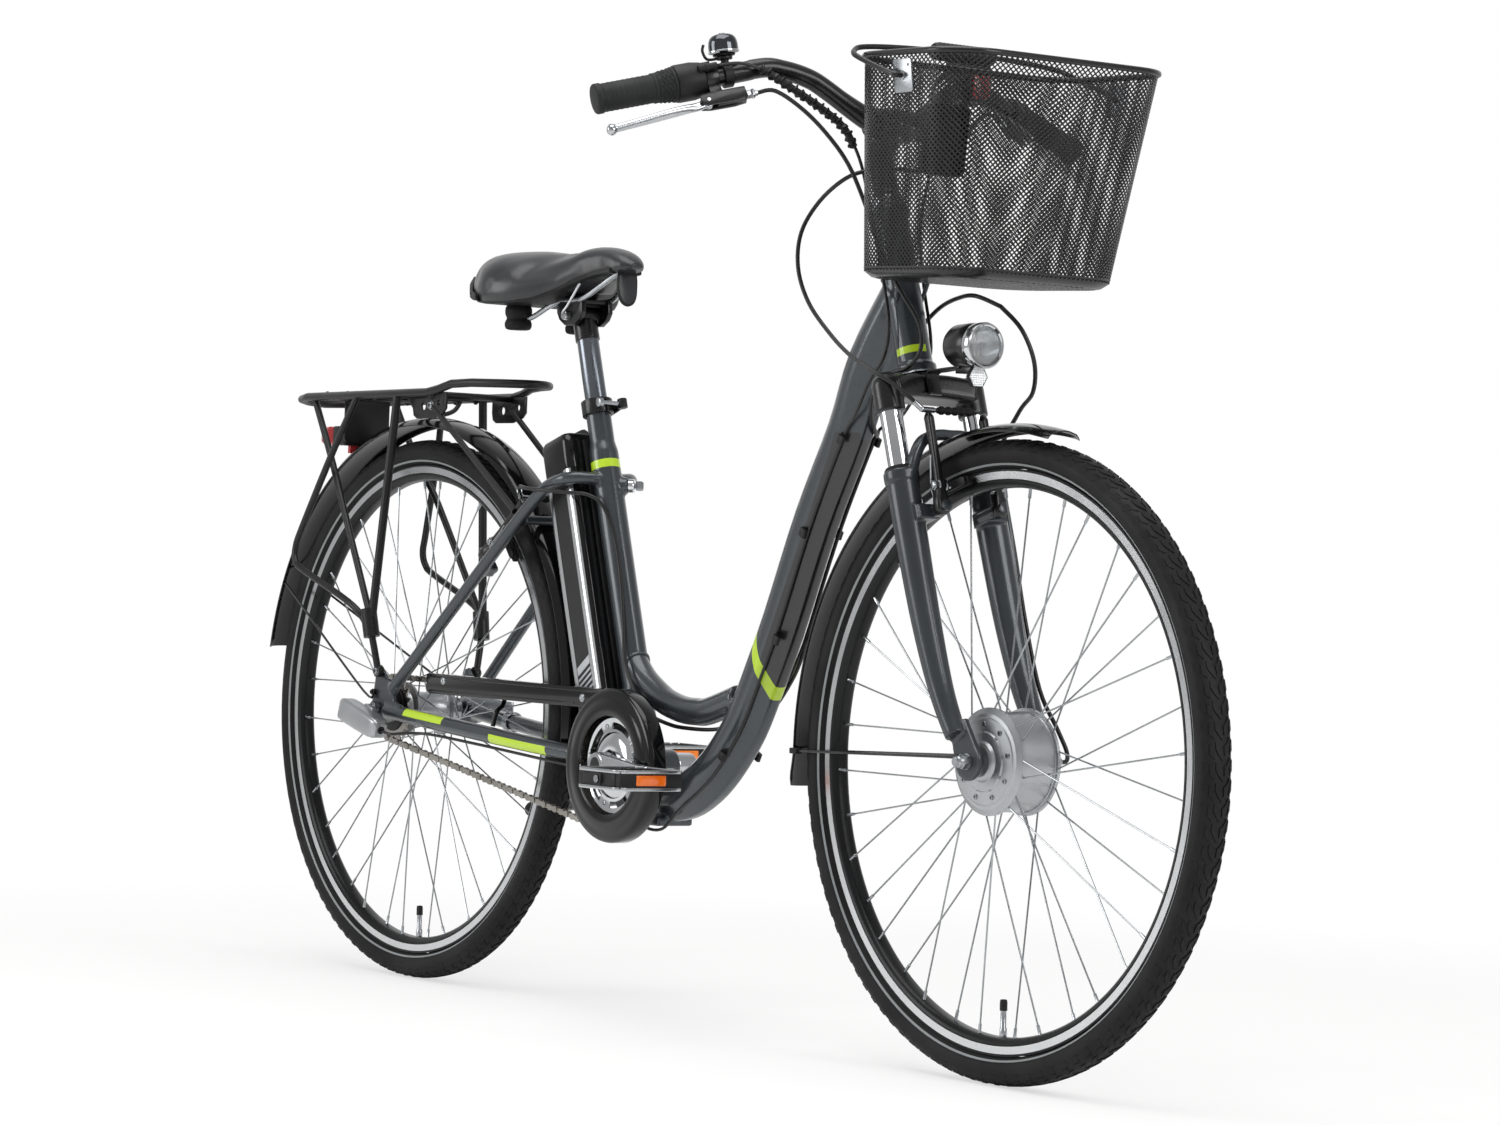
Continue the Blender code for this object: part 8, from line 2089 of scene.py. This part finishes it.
# Bright anodised corner rails frame each side's grained panel.
rails = []
panels = []
PANEL_ENDS = (BATTERY_LOW + 0.0285, BATTERY_HIGH - 0.0465)
corner_pairs = list(zip(rounded(0.03, 0.038, 0.01, 6), rounded(0.0292, 0.0372, 0.01, 6)))
for side_back in (1, -1):
    for y in (1, -1):
        pairs = [(a, b) for a, b in corner_pairs if a[0] * side_back > 0 and a[1] * y > 0.034]
        pairs.sort(key=lambda pair: -abs(pair[0][0]))
        outer_run = [pair[0] for pair in pairs] + [(0.015 * side_back, 0.038 * y)]
        inner_run = [pair[1] for pair in pairs] + [(0.015 * side_back, 0.0372 * y)]
        rings = []
        for height in PANEL_ENDS:
            rings.append([seat(height, battery_back + u, v) for u, v in outer_run + inner_run[::-1]])
        rails.append(skin(rings))
for y in (1, -1):
    rings = []
    for height in PANEL_ENDS:
        rings.append([seat(height, battery_back + u, v * y)
                      for u, v in ((0.0146, 0.037), (0.0146, 0.0376), (-0.0146, 0.0376), (-0.0146, 0.037))])
    panels.append(skin(rings))
piece("battery_rails", rails, turned_track, "battery", smooth_angle=40.0)
piece("battery_panels", panels, case_black, "battery")
# Slanted pale bars of printed film cross the foot of each panel.
stripe_film = plain_finish("grey_film", "#c3c7cb", "#b2b7bb", 0.3, 1.0, 0.01,
                           **{"IOR": 1.5, "Coat Weight": 0.3})
stripes = []
for y in (1, -1):
    for start, width in ((0.149, 0.01), (0.1345, 0.003), (0.1275, 0.003), (0.1205, 0.003), (0.1135, 0.003)):
        rings = []
        end = start - width
        corners = [(end, 0.0142), (end - 0.01, -0.0142), (start - 0.01, -0.0142), (start, 0.0142)]
        for across in (0.0375, 0.0379):
            rings.append([seat(up, battery_back - back, across * y) for up, back in corners])
        stripes.append(skin(rings))
piece("battery_stripes", stripes, stripe_film, "battery")
pull_loop = smooth([seat(BATTERY_HIGH - drop, battery_back + back)
                    for drop, back in ((0.004, -0.016), (0.0012, -0.012), (0.001, 0.012), (0.004, 0.016))],
                   4)
pull_strap = section_tube(pull_loop, rounded(0.001, 0.01, 0.0006, 2), hint=SEAT_UP)
piece("battery_pull_strap", [pull_strap], moulded_black, "battery")
rail_middle = (BATTERY_LOW + BATTERY_HIGH) / 2.0 - 0.006
rail_length = BATTERY_HIGH - BATTERY_LOW - 0.01
dock = [block(seat(rail_middle, RAIL_BACK + DOCK_THICKNESS / 2.0), (DOCK_THICKNESS, 0.03, rail_length),
              SEAT_BACK, Y, SEAT_UP),
        block(seat(BATTERY_LOW - 0.0048, RAIL_BACK + 0.034), (0.068, 0.072, 0.009), SEAT_BACK, Y, SEAT_UP)]
piece("battery_rail", dock, moulded_black, "frame", ("battery_dock",), bevel=0.001)

# Battery lock: a bright chromed barrel in the seat tube's side boss, with its key left in.
key_way = Vector((-LOCK_AXIS.y, LOCK_AXIS.x, 0.0))
barrel = turned([(0.0004, 0.0078), (0.0008, 0.0085), (0.0066, 0.0085), (0.0078, 0.0076), (0.008, 0.004),
                 (0.0074, 0.0036), (0.0074, 0.0)], LOCK_ORIGIN, LOCK_AXIS, 40)
piece("lock_barrel", [barrel], chrome, "battery_lock", ("battery_lock",), smooth_angle=30.0)
key = [plate(rounded(0.006, 0.005, 0.003), -0.0011, 0.0011, Z, LOCK_AXIS, key_way,
             LOCK_ORIGIN + LOCK_AXIS * 0.0138),
       block(LOCK_ORIGIN + LOCK_AXIS * 0.0086, (0.0016, 0.005, 0.005), key_way, Z, LOCK_AXIS)]
piece("lock_key", key, stainless, "battery_lock", bevel=0.0003)


# Seat clamp: die cast band with a slit, drawn tight by a skewer and a cam lever, black enamelled.
# The steel post slides in the seat tube's sleeve.
SEAT_SLEEVE_RADIUS = POST_RADIUS + 0.0019
POST_TOP = 0.565
CLAMP_UP = SEAT_TUBE_TOP - 0.0085
SKEWER_BACK = -0.0225
SKEWER_END = 0.016
band_half = [(0.0088, 0.004), (0.0095, 0.0032), (0.0095, 0.0003)]
band_profile = [(-along, proud) for along, proud in reversed(band_half)] + band_half
band = turned([(along, SEAT_SLEEVE_RADIUS + proud) for along, proud in band_profile], seat(CLAMP_UP),
              SEAT_UP, 56, hole=True)
ears = section_tube([seat(CLAMP_UP + up, -0.0215) for up in (-0.007, 0.007)], rounded(0.006, 0.008, 0.0025),
                    hint=SEAT_BACK)
slit = block(seat(CLAMP_UP, -0.023), (0.018, 0.0024, 0.03), SEAT_BACK, Y, SEAT_UP)
clamp_mesh = drilled(mesh_from("band", [band]), [slit])
ears_bore = rod(seat(CLAMP_UP - 0.012), seat(CLAMP_UP + 0.012), SEAT_SLEEVE_RADIUS + 0.002, 40)
ears_mesh = drilled(mesh_from("ears", [ears]), [slit, ears_bore])
put("seat_clamp_band", gathered("seat_clamp_band", [clamp_mesh, ears_mesh]), black_enamel, "frame",
    ("seat_clamp",), bevel=0.0003)
skewer = [rod(seat(CLAMP_UP, SKEWER_BACK, -0.012), seat(CLAMP_UP, SKEWER_BACK, SKEWER_END), 0.0025, 20),
          turned([(0.0078, 0.0046), (0.0082, 0.0055), (0.0136, 0.0055), (0.014, 0.0048)],
                 seat(CLAMP_UP, SKEWER_BACK), -Y, 28)]
piece("seat_clamp_skewer", skewer, zinc, "frame")
head_middle = seat(CLAMP_UP, SKEWER_BACK, SKEWER_END + 0.0063)
cam = [turned([(-0.006, 0.0052), (-0.0054, 0.006), (0.0054, 0.006), (0.006, 0.0052)], head_middle, SEAT_UP,
              32)]
cam_path = smooth([head_middle, seat(CLAMP_UP, -0.012, 0.0236), seat(CLAMP_UP, 0.004, 0.024),
                   seat(CLAMP_UP - 0.001, 0.0195, 0.0236)], 6)
cam_sizes = smooth([0.0046, 0.0055, 0.006, 0.0046], 6)
cam.append(section_tube(cam_path, [rounded(0.002, size, 0.0015, 4) for size in cam_sizes], hint=SEAT_UP))
piece("clamp_lever_blade", cam, black_enamel, "clamp_lever", ("clamp_lever",))
# Satin chrome over steel: a cool grey metal that mirrors only softly.
satin_steel = plain_finish("satin_chromed_steel", "#7b8087", "#6e7379", 0.22, 1.2, 0.008, 0.4,
                           **{"Metallic": 1.0})
post = turned([(0.325, POST_RADIUS - 0.001), (0.326, POST_RADIUS), (POST_TOP - 0.022, POST_RADIUS)],
              BRACKET, SEAT_UP, 48)
piece("seatpost_tube", [post], satin_steel, "seatpost", ("seatpost",), smooth_angle=50.0)
SADDLE_PIVOT = seat(POST_TOP + 0.008)
post_cap = turned([(POST_TOP + up, POST_RADIUS + proud)
                   for up, proud in ((-0.024, 0.0001), (-0.0236, 0.0014), (-0.022, 0.0016), (0.0, 0.0014),
                                     (0.001, -0.001))], BRACKET, SEAT_UP, 48)
knuckle = turned([(-0.016, 0.0043), (-0.016, 0.0112), (-0.0152, 0.012), (0.0152, 0.012), (0.016, 0.0112),
                  (0.016, 0.0043)], SADDLE_PIVOT, Y, 44, hole=True)
cap_bore = rod(SADDLE_PIVOT - Y * 0.03, SADDLE_PIVOT + Y * 0.03, 0.01, 32)
cap_mesh = drilled(mesh_from("post_cap", [post_cap]), [cap_bore])
put("seatpost_head", gathered("seatpost_head", [cap_mesh, mesh_from("knuckle", [knuckle])]), black_enamel,
    "seatpost")


def on_post(ahead, y, up):
    """A point of the saddle, given from the top of the post."""
    return seat(POST_TOP) + Vector((ahead, y, up))


# Saddle: a grained grey vinyl cover over foam on a moulded base. The foam fills it, so it is
# crowned everywhere; a cloth under slight pressure gives that swell.
saddle_vinyl = plain_finish("grained_vinyl", "#232427", "#2d2e31", 0.38, 1.1, 0.07,
                            drift=(18.0, 5.0, 0.5, 0.65),
                            **{"IOR": 1.5, "Specular IOR Level": 0.5, "Coat Weight": 0.2,
                               "Coat Roughness": 0.25})
SADDLE_STATIONS = [(-0.196, 0.026, 0.064, 0.047), (-0.18, 0.05, 0.077, 0.038),
                   (-0.16, 0.066, 0.0855, 0.031), (-0.13, 0.086, 0.092, 0.025),
                   (-0.095, 0.097, 0.091, 0.022), (-0.06, 0.09, 0.087, 0.022), (-0.03, 0.073, 0.084, 0.025),
                   (0.0, 0.054, 0.086, 0.036), (0.03, 0.041, 0.093, 0.048), (0.06, 0.032, 0.0935, 0.056),
                   (0.084, 0.027, 0.0885, 0.059), (0.101, 0.021, 0.081, 0.0595),
                   (0.112, 0.013, 0.0725, 0.0605)]


def saddle_ring(ahead, width, top, edge, less=0.0):
    """Half round above, with a short skirt, made smaller by a margin."""
    rise = top - edge
    side = [(0.7, edge + 0.002), (0.86, edge), (0.97, edge + 0.04 * rise), (1.0, edge + 0.3 * rise),
            (0.93, edge + 0.62 * rise), (0.72, edge + 0.86 * rise), (0.38, edge + 0.975 * rise)]
    right = [Vector((max(0.002, width - less) * share, up - less * (up - edge) / rise, 0.0))
             for share, up in side]
    left = [Vector((-p.x, p.y, 0.0)) for p in reversed(right)]
    loop = smooth(right + [Vector((0.0, top - less, 0.0))] + left, 3)
    return [on_post(ahead, p.x, p.y) for p in loop]


def saddle_rings(less):
    """The cover's rings from the tail to the nose."""
    run = smooth([Vector((a, w, t)) for a, w, t, _ in SADDLE_STATIONS], 5)
    edges = smooth([e for _, _, _, e in SADDLE_STATIONS], 5)
    return [saddle_ring(ahead, width, top, edge, less) for (ahead, width, top), edge in zip(run, edges)]


def stuffed(name, shell, voxel, pressure, cap, held):
    """The shell remeshed, blown up as cloth over twenty frames and capped; held points stay."""
    item = placed(name, mesh_from(name, [shell]))
    coarse = item.modifiers.new("coarse", "REMESH")
    coarse.mode = "VOXEL"
    coarse.voxel_size = voxel
    settle(item)
    before = [vert.co.copy() for vert in item.data.vertices]
    pins = item.vertex_groups.new(name="pins")
    pins.add([k for k, point in enumerate(before) if held(point)], 1.0, "REPLACE")
    cloth = item.modifiers.new("cloth", "CLOTH")
    cloth.settings.use_pressure = True
    cloth.settings.uniform_pressure_force = pressure
    cloth.settings.effector_weights.gravity = 0.0
    cloth.settings.vertex_group_mass = "pins"
    cloth.settings.quality = 5
    for step in range(1, 21):
        scene.frame_set(step)
    blown = item.evaluated_get(bpy.context.evaluated_depsgraph_get()).data
    moved = [vert.co.copy() for vert in blown.vertices]
    item.modifiers.remove(cloth)
    scene.frame_set(1)
    for vert, start, end in zip(item.data.vertices, before, moved):
        step = end - start
        vert.co = start + step * min(1.0, cap / max(step.length, 1e-9))
    soften = item.modifiers.new("soften", "SMOOTH")
    soften.factor = 0.5
    soften.iterations = 4
    finer = item.modifiers.new("finer", "SUBSURF")
    finer.levels = 1
    return freed(item)


PAD_SWELL = 0.0035
saddle_low = seat(POST_TOP).z + 0.04
cover_mesh = stuffed("saddle_cover", skin(saddle_rings(PAD_SWELL)), 0.0042, 4.0, PAD_SWELL + 0.0015,
                     lambda point: point.z < saddle_low - 0.004)
cover = put("saddle_cover", cover_mesh, saddle_vinyl, "saddle", ("saddle",),
            smooth_angle=180.0)
base_rings = []
base_line = smooth([Vector((ahead, width, edge)) for ahead, width, _, edge in SADDLE_STATIONS[1:-2]], 4)
for ahead, width, edge in base_line:
    base_rings.append([on_post(ahead, u * 0.9 * width, edge + v)
                       for u, v in ((-1.0, 0.0016), (-0.985, -0.0008), (-0.9, -0.0016), (0.9, -0.0016),
                                    (0.985, -0.0008), (1.0, 0.0016), (0.96, 0.005), (-0.96, 0.005))])
piece("saddle_base", [skin(base_rings)], moulded_black, "saddle", smooth_angle=30.0)

# The tail's reflector: a pale band over a silver backing, in a black surround. It fills the back
# of each side between the seam, which drops from the tail, and the skirt's lower edge.
TAIL_SEAM = ((-0.178, 0.06), (-0.168, 0.0545), (-0.127, 0.037), (-0.103, 0.03))


def station(ahead):
    """The saddle's half width, top and lower edge at a place along it."""
    return [along_line([(row[0], row[k]) for row in SADDLE_STATIONS], ahead) for k in (1, 2, 3)]


def cover_side(ahead, up, y, proud):
    """A point on the cover's side at a height, moved out by a margin."""
    width, top, edge = station(ahead)
    share = (up - edge) / (top - edge)
    part = along_line(((0.0, 0.9), (0.04, 0.97), (0.3, 1.0), (0.62, 0.93), (0.86, 0.72), (1.0, 0.3)), share)
    return on_post(ahead, (width * part + proud) * y, up)


tail_parts = (("saddle_tail_surround", moulded_black, -0.1765, -0.106, 0.0, -0.001, 0.0036),
              ("saddle_tail_reflector", reflector_clear, -0.164, -0.129, 0.003, 0.002, 0.0046))
for name, finish, first, last, margin, low, high in tail_parts:
    bands = []
    for y in (1, -1):
        rings = []
        for k in range(13):
            ahead = first + (last - first) * k / 12
            upper = along_line(TAIL_SEAM, ahead) - margin
            lower = min(station(ahead)[2] + 0.001 + margin, upper - 0.0012)
            heights = [upper + (lower - upper) * n / 5 for n in range(6)]
            rings.append([cover_side(ahead, up, y, high) for up in heights]
                         + [cover_side(ahead, up, y, low) for up in reversed(heights)])
        bands.append(skin(rings))
    piece(name, bands, finish, "saddle", bevel=0.0002)

# Saddle clamp: pressed steel cheeks on a pivot rod, plated steel rails, and two ribbed rubber
# bellows that carry the back of the saddle.
clamp_parts = [section_tube([on_post(-0.002, 0.0, up) for up in (0.0228, 0.0276)],
                            rounded(0.025, 0.023, 0.004), hint=X)]
cheek_outline = [(-0.03, 0.012), (-0.024, 0.003), (-0.012, -0.004), (0.008, -0.004), (0.02, 0.003),
                 (0.026, 0.012), (0.025, 0.022), (0.023, 0.0277), (-0.027, 0.0277), (-0.0295, 0.021)]
rails = []
bellows = []
clamp_nuts = []
for y in (1, -1):
    low = 0.0163 if y > 0 else -0.023
    clamp_parts.append(plate(cheek_outline, low, low + 0.0067, origin=on_post(0, 0, 0)))
    path = smooth([on_post(a, b * y, c)
                   for a, b, c in ((-0.083, 0.045, 0.002), (-0.066, 0.036, 0.006), (-0.048, 0.026, 0.018),
                                   (-0.028, 0.022, 0.0255), (0.022, 0.022, 0.0275), (0.052, 0.017, 0.041),
                                   (0.084, 0.009, 0.06))], 6)
    rails.append(tube(path, 0.0034, 20))
    bellows.append(turned([(-0.01, 0.012), (-0.009, 0.015), (-0.006, 0.0168), (-0.002, 0.017),
                           (0.001, 0.016), (0.003, 0.0148), (0.0045, 0.0146), (0.006, 0.0152),
                           (0.009, 0.0166), (0.013, 0.017), (0.017, 0.0166), (0.019, 0.0154),
                           (0.0205, 0.015), (0.022, 0.0156), (0.026, 0.0168), (0.031, 0.0168),
                           (0.0335, 0.016)], on_post(-0.083, 0.045 * y, 0), Z, 44))
    clamp_nuts.append(hexagon(SADDLE_PIVOT, Y * y, 0.019, 0.0228, 0.0062))
piece("saddle_clamp_cheeks", clamp_parts, black_enamel, "saddle", ("saddle_clamp",),
      bevel=0.0006)
rails.append(rod(on_post(0.0835, -0.01, 0.06), on_post(0.0835, 0.01, 0.06), 0.0034, 20))
rails.append(rod(SADDLE_PIVOT - Y * 0.023, SADDLE_PIVOT + Y * 0.023, 0.004, 24))
piece("saddle_rails", rails, zinc, "saddle", smooth_angle=40.0)
piece("saddle_bellows", bellows, rubber, "saddle", smooth_angle=60.0)
piece("saddle_clamp_nuts", clamp_nuts, stainless, "saddle")
flap_line = [(-0.0125, 0.058), (0.0125, 0.058), (0.0145, 0.036), (0.011, 0.022), (0.004, 0.016),
             (-0.004, 0.016), (-0.011, 0.022), (-0.0145, 0.036)]
flap_out = Vector((0.99, 0.0, 0.12)).normalized()
flap_up = Vector((-0.12, 0.0, 0.99)).normalized()
flap_ring = smooth([Vector((u, v, 0.0)) for u, v in flap_line + flap_line[:1]], 4)[:-1]
flap_shells = []
for low, high, less in ((0.0, 0.0024, 1.0), (0.0022, 0.003, 0.86)):
    outline = [(p.x * less, 0.036 + (p.y - 0.036) * less) for p in flap_ring]
    flap_shells.append(plate(outline, low, high, Y, flap_up, flap_out, on_post(0.0925, 0, 0.0025)))
piece("saddle_flap_edge", flap_shells[:1], moulded_black, "saddle", bevel=0.0004)
piece("saddle_flap_face", flap_shells[1:], saddle_vinyl, "saddle", bevel=0.0003)

# Saddle lever: a bent 3.6 mm rod of bright steel that frees the clamp's tilt.
SADDLE_LEVER_PIVOT = SADDLE_PIVOT - Y * 0.0233
lever_start = SADDLE_LEVER_PIVOT - Y * 0.01
lever_path = smooth([lever_start + Y * 0.004, lever_start - Y * 0.0015 + Vector((0.004, 0, 0.0035)),
                     lever_start + Vector((0.012, 0.0, 0.012)),
                     lever_start + Vector((0.031, 0.0045, 0.039))], 6)
lever_rod = [turned([(0.0, 0.0052), (0.0006, 0.006), (0.0072, 0.006), (0.008, 0.0052)],
                    SADDLE_LEVER_PIVOT, -Y, 36),
             tube(lever_path, 0.0018, 18)]
piece("saddle_lever_rod", lever_rod, polished_alloy, "saddle_lever", ("saddle_lever",))


# Cables: steel wire or copper leads in black PVC housing, each a tube along a smooth run through
# its points.
cable_black = plain_finish("cable_sheath", "#0b0b0c", "#141415", 0.34, 0.8, 0.02, **{"IOR": 1.5})
CABLE_START = lever_point(-0.0163, LEVER_DEPTH, 1)
ARM_TOP = 0.1122
ARM_MIDDLE = 0.0063
CABLE_STEPS = 6


def route(points):
    """Points given from the ground under the rear axle."""
    return [at(*point) for point in points]


def cable(name, points, radius):
    """A cable: a round tube along a smooth run through the points, in the sheath's finish."""
    mesh = mesh_from(name, [tube(smooth(points, CABLE_STEPS), radius, 14)])
    mesh.shade_smooth()
    mesh.materials.append(cable_black)
    item = placed(name, mesh)
    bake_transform(item)
    return item


rear_brake_route = [mirrored(CABLE_START, -1)]
rear_brake_route += route([(0.9385, -0.152, 1.077), (0.951, -0.125, 1.06), (0.972, -0.105, 1.033),
                           (0.99, -0.085, 0.998), (1.0034, -0.068, 0.951), (1.015, -0.056, 0.905),
                           (1.035, -0.04, 0.86), (1.05, -0.025, 0.8255), (1.052, -0.022, 0.797),
                           (1.04, -0.029, 0.7765), (1.015, -0.033, 0.77), (0.985, -0.032, 0.756),
                           (0.96, -0.018, 0.728), (0.942, 0.002, 0.708), (0.932, 0.013, 0.702),
                           (0.9162, 0.0219, 0.699), (0.86, 0.0219, 0.5996), (0.8057, 0.0222, 0.4819),
                           (0.783, 0.027, 0.44), (0.756, 0.03, 0.409), (0.727, 0.03, 0.382),
                           (0.7, 0.0255, 0.368), (0.676, 0.015, 0.362), (0.645, 0.006, 0.355),
                           (0.6036, 0.0, 0.354), (0.57, -0.006, 0.357), (0.538, -0.019, 0.37),
                           (0.518, -0.0225, 0.393), (0.495, -0.0225, 0.428), (0.48, -0.017, 0.472),
                           (0.467, -0.0135, 0.52), (0.45, -0.0135, 0.576), (0.433, -0.021, 0.615),
                           (0.418, -0.034, 0.629), (0.395, -0.049, 0.631), (0.365, -0.065, 0.633),
                           (0.33, -0.068, 0.635), (0.305, -0.061, 0.637)])
rear_across = (REAR_AXLE + REAR_RADIAL * (REAR_BRAKE_UP + ARM_TOP)
               + REAR_BEHIND * (REAR_BOSS_DEPTH + ARM_MIDDLE))
rear_noodle = [rear_across + Vector((0.002, -0.048, 0.003)), rear_across - Y * 0.038,
               rear_across + Y * 0.03]
front_brake_route = [CABLE_START]
front_brake_route += route([(0.94, 0.148, 1.078), (0.96, 0.115, 1.064), (0.98, 0.085, 1.04),
                            (0.995, 0.05, 1.01), (0.998, 0.015, 0.999), (0.993, -0.02, 0.998),
                            (0.983, -0.05, 0.995), (0.965, -0.07, 0.985), (0.9359, -0.083, 0.96),
                            (0.92, -0.095, 0.925), (0.922, -0.099, 0.885), (0.94, -0.096, 0.846),
                            (0.97, -0.088, 0.812), (1.0, -0.082, 0.788), (1.025, -0.079, 0.776),
                            (1.046, -0.074, 0.765), (1.0637, -0.065, 0.7541)])
front_across = steer(FRONT_BRAKE_UP + ARM_TOP, FRONT_BOSS_DEPTH + ARM_MIDDLE)
front_noodle = [front_across + Vector((-0.008, -0.056, 0.012)),
                front_across + Vector((-0.001, -0.047, 0.002)), front_across - Y * 0.038,
                front_across + Y * 0.03]
gear_route = [bar_point(HOUSING[0] - 0.0143, -1) - PORT_DROP]
gear_route += route([(0.9285, -0.19, 1.1045), (0.937, -0.16, 1.096), (0.944, -0.13, 1.08),
                     (0.95, -0.1, 1.064), (0.956, -0.07, 1.044), (0.96, -0.048, 1.01),
                     (0.965, -0.035, 0.96), (0.98, -0.03, 0.9), (1.0, -0.0285, 0.83), (0.995, -0.029, 0.79),
                     (0.97, -0.03, 0.76), (0.948, -0.03, 0.725), (0.9162, -0.022, 0.699),
                     (0.86, -0.0217, 0.5996), (0.8057, -0.0217, 0.4819), (0.7731, -0.0217, 0.4204),
                     (0.7435, -0.0217, 0.3674), (0.718, -0.0217, 0.3344), (0.6865, -0.0217, 0.3029),
                     (0.6543, -0.0217, 0.2793), (0.617, -0.021, 0.257), (0.584, -0.0205, 0.2334),
                     (0.548, -0.0215, 0.2334), (0.525, -0.0245, 0.25), (0.49, -0.029, 0.28),
                     (0.44, -0.0345, 0.2955), (0.38, -0.043, 0.301), (0.3, -0.051, 0.308),
                     (0.2, -0.057, 0.3155), (0.12, -0.065, 0.321), (0.09, -0.08, 0.3205),
                     (0.072, -0.093, 0.3185), (0.0545, -0.096, 0.322)])
control_route = route([(0.9228, 0.1085, 1.1245), (0.93, 0.09, 1.118), (0.945, 0.065, 1.1),
                       (0.97, 0.042, 1.075), (0.985, 0.038, 1.04), (0.98, 0.035, 0.99),
                       (0.974, 0.031, 0.94), (0.985, 0.029, 0.88), (1.003, 0.029, 0.815),
                       (1.0, 0.03, 0.785), (0.98, 0.029, 0.75), (0.95, 0.028, 0.72),
                       (0.9098, 0.0274, 0.7026), (0.8535, 0.0274, 0.6029), (0.7991, 0.0274, 0.4851),
                       (0.778, 0.029, 0.448), (0.756, 0.0305, 0.418), (0.745, 0.0287, 0.408)])
motor_route = route([(0.942, 0.027, 0.788), (0.952, 0.034, 0.8), (0.975, 0.0375, 0.826),
                     (1.008, 0.037, 0.847), (1.05, 0.029, 0.856), (1.09, 0.022, 0.857),
                     (1.125, 0.03, 0.845), (1.148, 0.042, 0.82), (1.156, 0.055, 0.785),
                     (1.14, 0.068, 0.753), (1.105, 0.078, 0.732)])
motor_route += [steer(-0.105, 0.02, 0.081), steer(-0.14, 0.018, 0.0815), steer(-0.22, 0.018, 0.0815),
                steer(-0.3, 0.019, 0.079), steer(-0.38, 0.025, 0.0775)]
motor_route += [FRONT_AXLE + Vector(offset)
                for offset in ((-0.019, 0.083, 0.036), (-0.006, 0.087, 0.012), (-0.0005, 0.083, 0.0015),
                               (0.0, 0.0743, 0.0))]
cable_runs = (("rear_brake_housing", rear_brake_route + rear_noodle, 0.0024, "rear_brake_cable",
               ("steering", "frame"), at(1.0034, -0.068, 0.951), at(0.942, 0.002, 0.708)),
              ("front_brake_housing", front_brake_route + front_noodle, 0.0024, "front_brake_cable",
               ("steering", "fork_lowers"), at(0.97, -0.088, 0.812), at(1.0637, -0.065, 0.7541)),
              ("gear_housing", gear_route, 0.0019, "gear_cable",
               ("steering", "frame"), at(0.96, -0.048, 1.01), at(0.948, -0.03, 0.725)),
              ("control_lead", control_route, 0.0019, "control_cable",
               ("steering", "frame"), at(0.985, 0.038, 1.04), at(0.95, 0.028, 0.72)))
for name, points, radius, node, bodies, start, end in cable_runs:
    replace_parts(cable(name, points, radius), node)

# The motor's lead leaves the down tube and runs down the fork to the motor, in two lengths that
# meet above the lamp.
MEETING = 6
cable("motor_lead_upper", motor_route[:MEETING + 1], 0.0025)
lower_lead = cable("motor_lead_lower", motor_route[MEETING:], 0.0025)
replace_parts(lower_lead, "motor_cable")

# Noodle and boot: a bent tube of stainless steel leads each brake's cable across, and a ribbed
# rubber boot covers the bare wire between the arms.
noodle_runs = (("rear", rear_brake_route + rear_noodle, rear_across, "frame", 3),
               ("front", front_brake_route + front_noodle, front_across, "fork_lowers", 2))
for name, points, across, body, skipped in noodle_runs:
    first = CABLE_STEPS * (len(points) - 4) + skipped
    noodle = smooth(points, CABLE_STEPS)[first:CABLE_STEPS * (len(points) - 2) + 2]
    piece(name + "_brake_noodle", [tube(noodle, 0.0033, 18)], stainless, body)
    ribs = [(-0.0245, 0.0027), (-0.024, 0.0036)]
    for k in range(5):
        start = -0.0225 + 0.0095 * k
        ribs += [(start, 0.0036), (start + 0.0022, 0.0048), (start + 0.005, 0.0048),
                 (start + 0.0072, 0.0036)]
    ribs += [(0.0255, 0.0034), (0.026, 0.0027)]
    boot = turned(ribs, across, Y, 28)
    piece(name + "_brake_boot", [boot], rubber, body, smooth_angle=60.0)
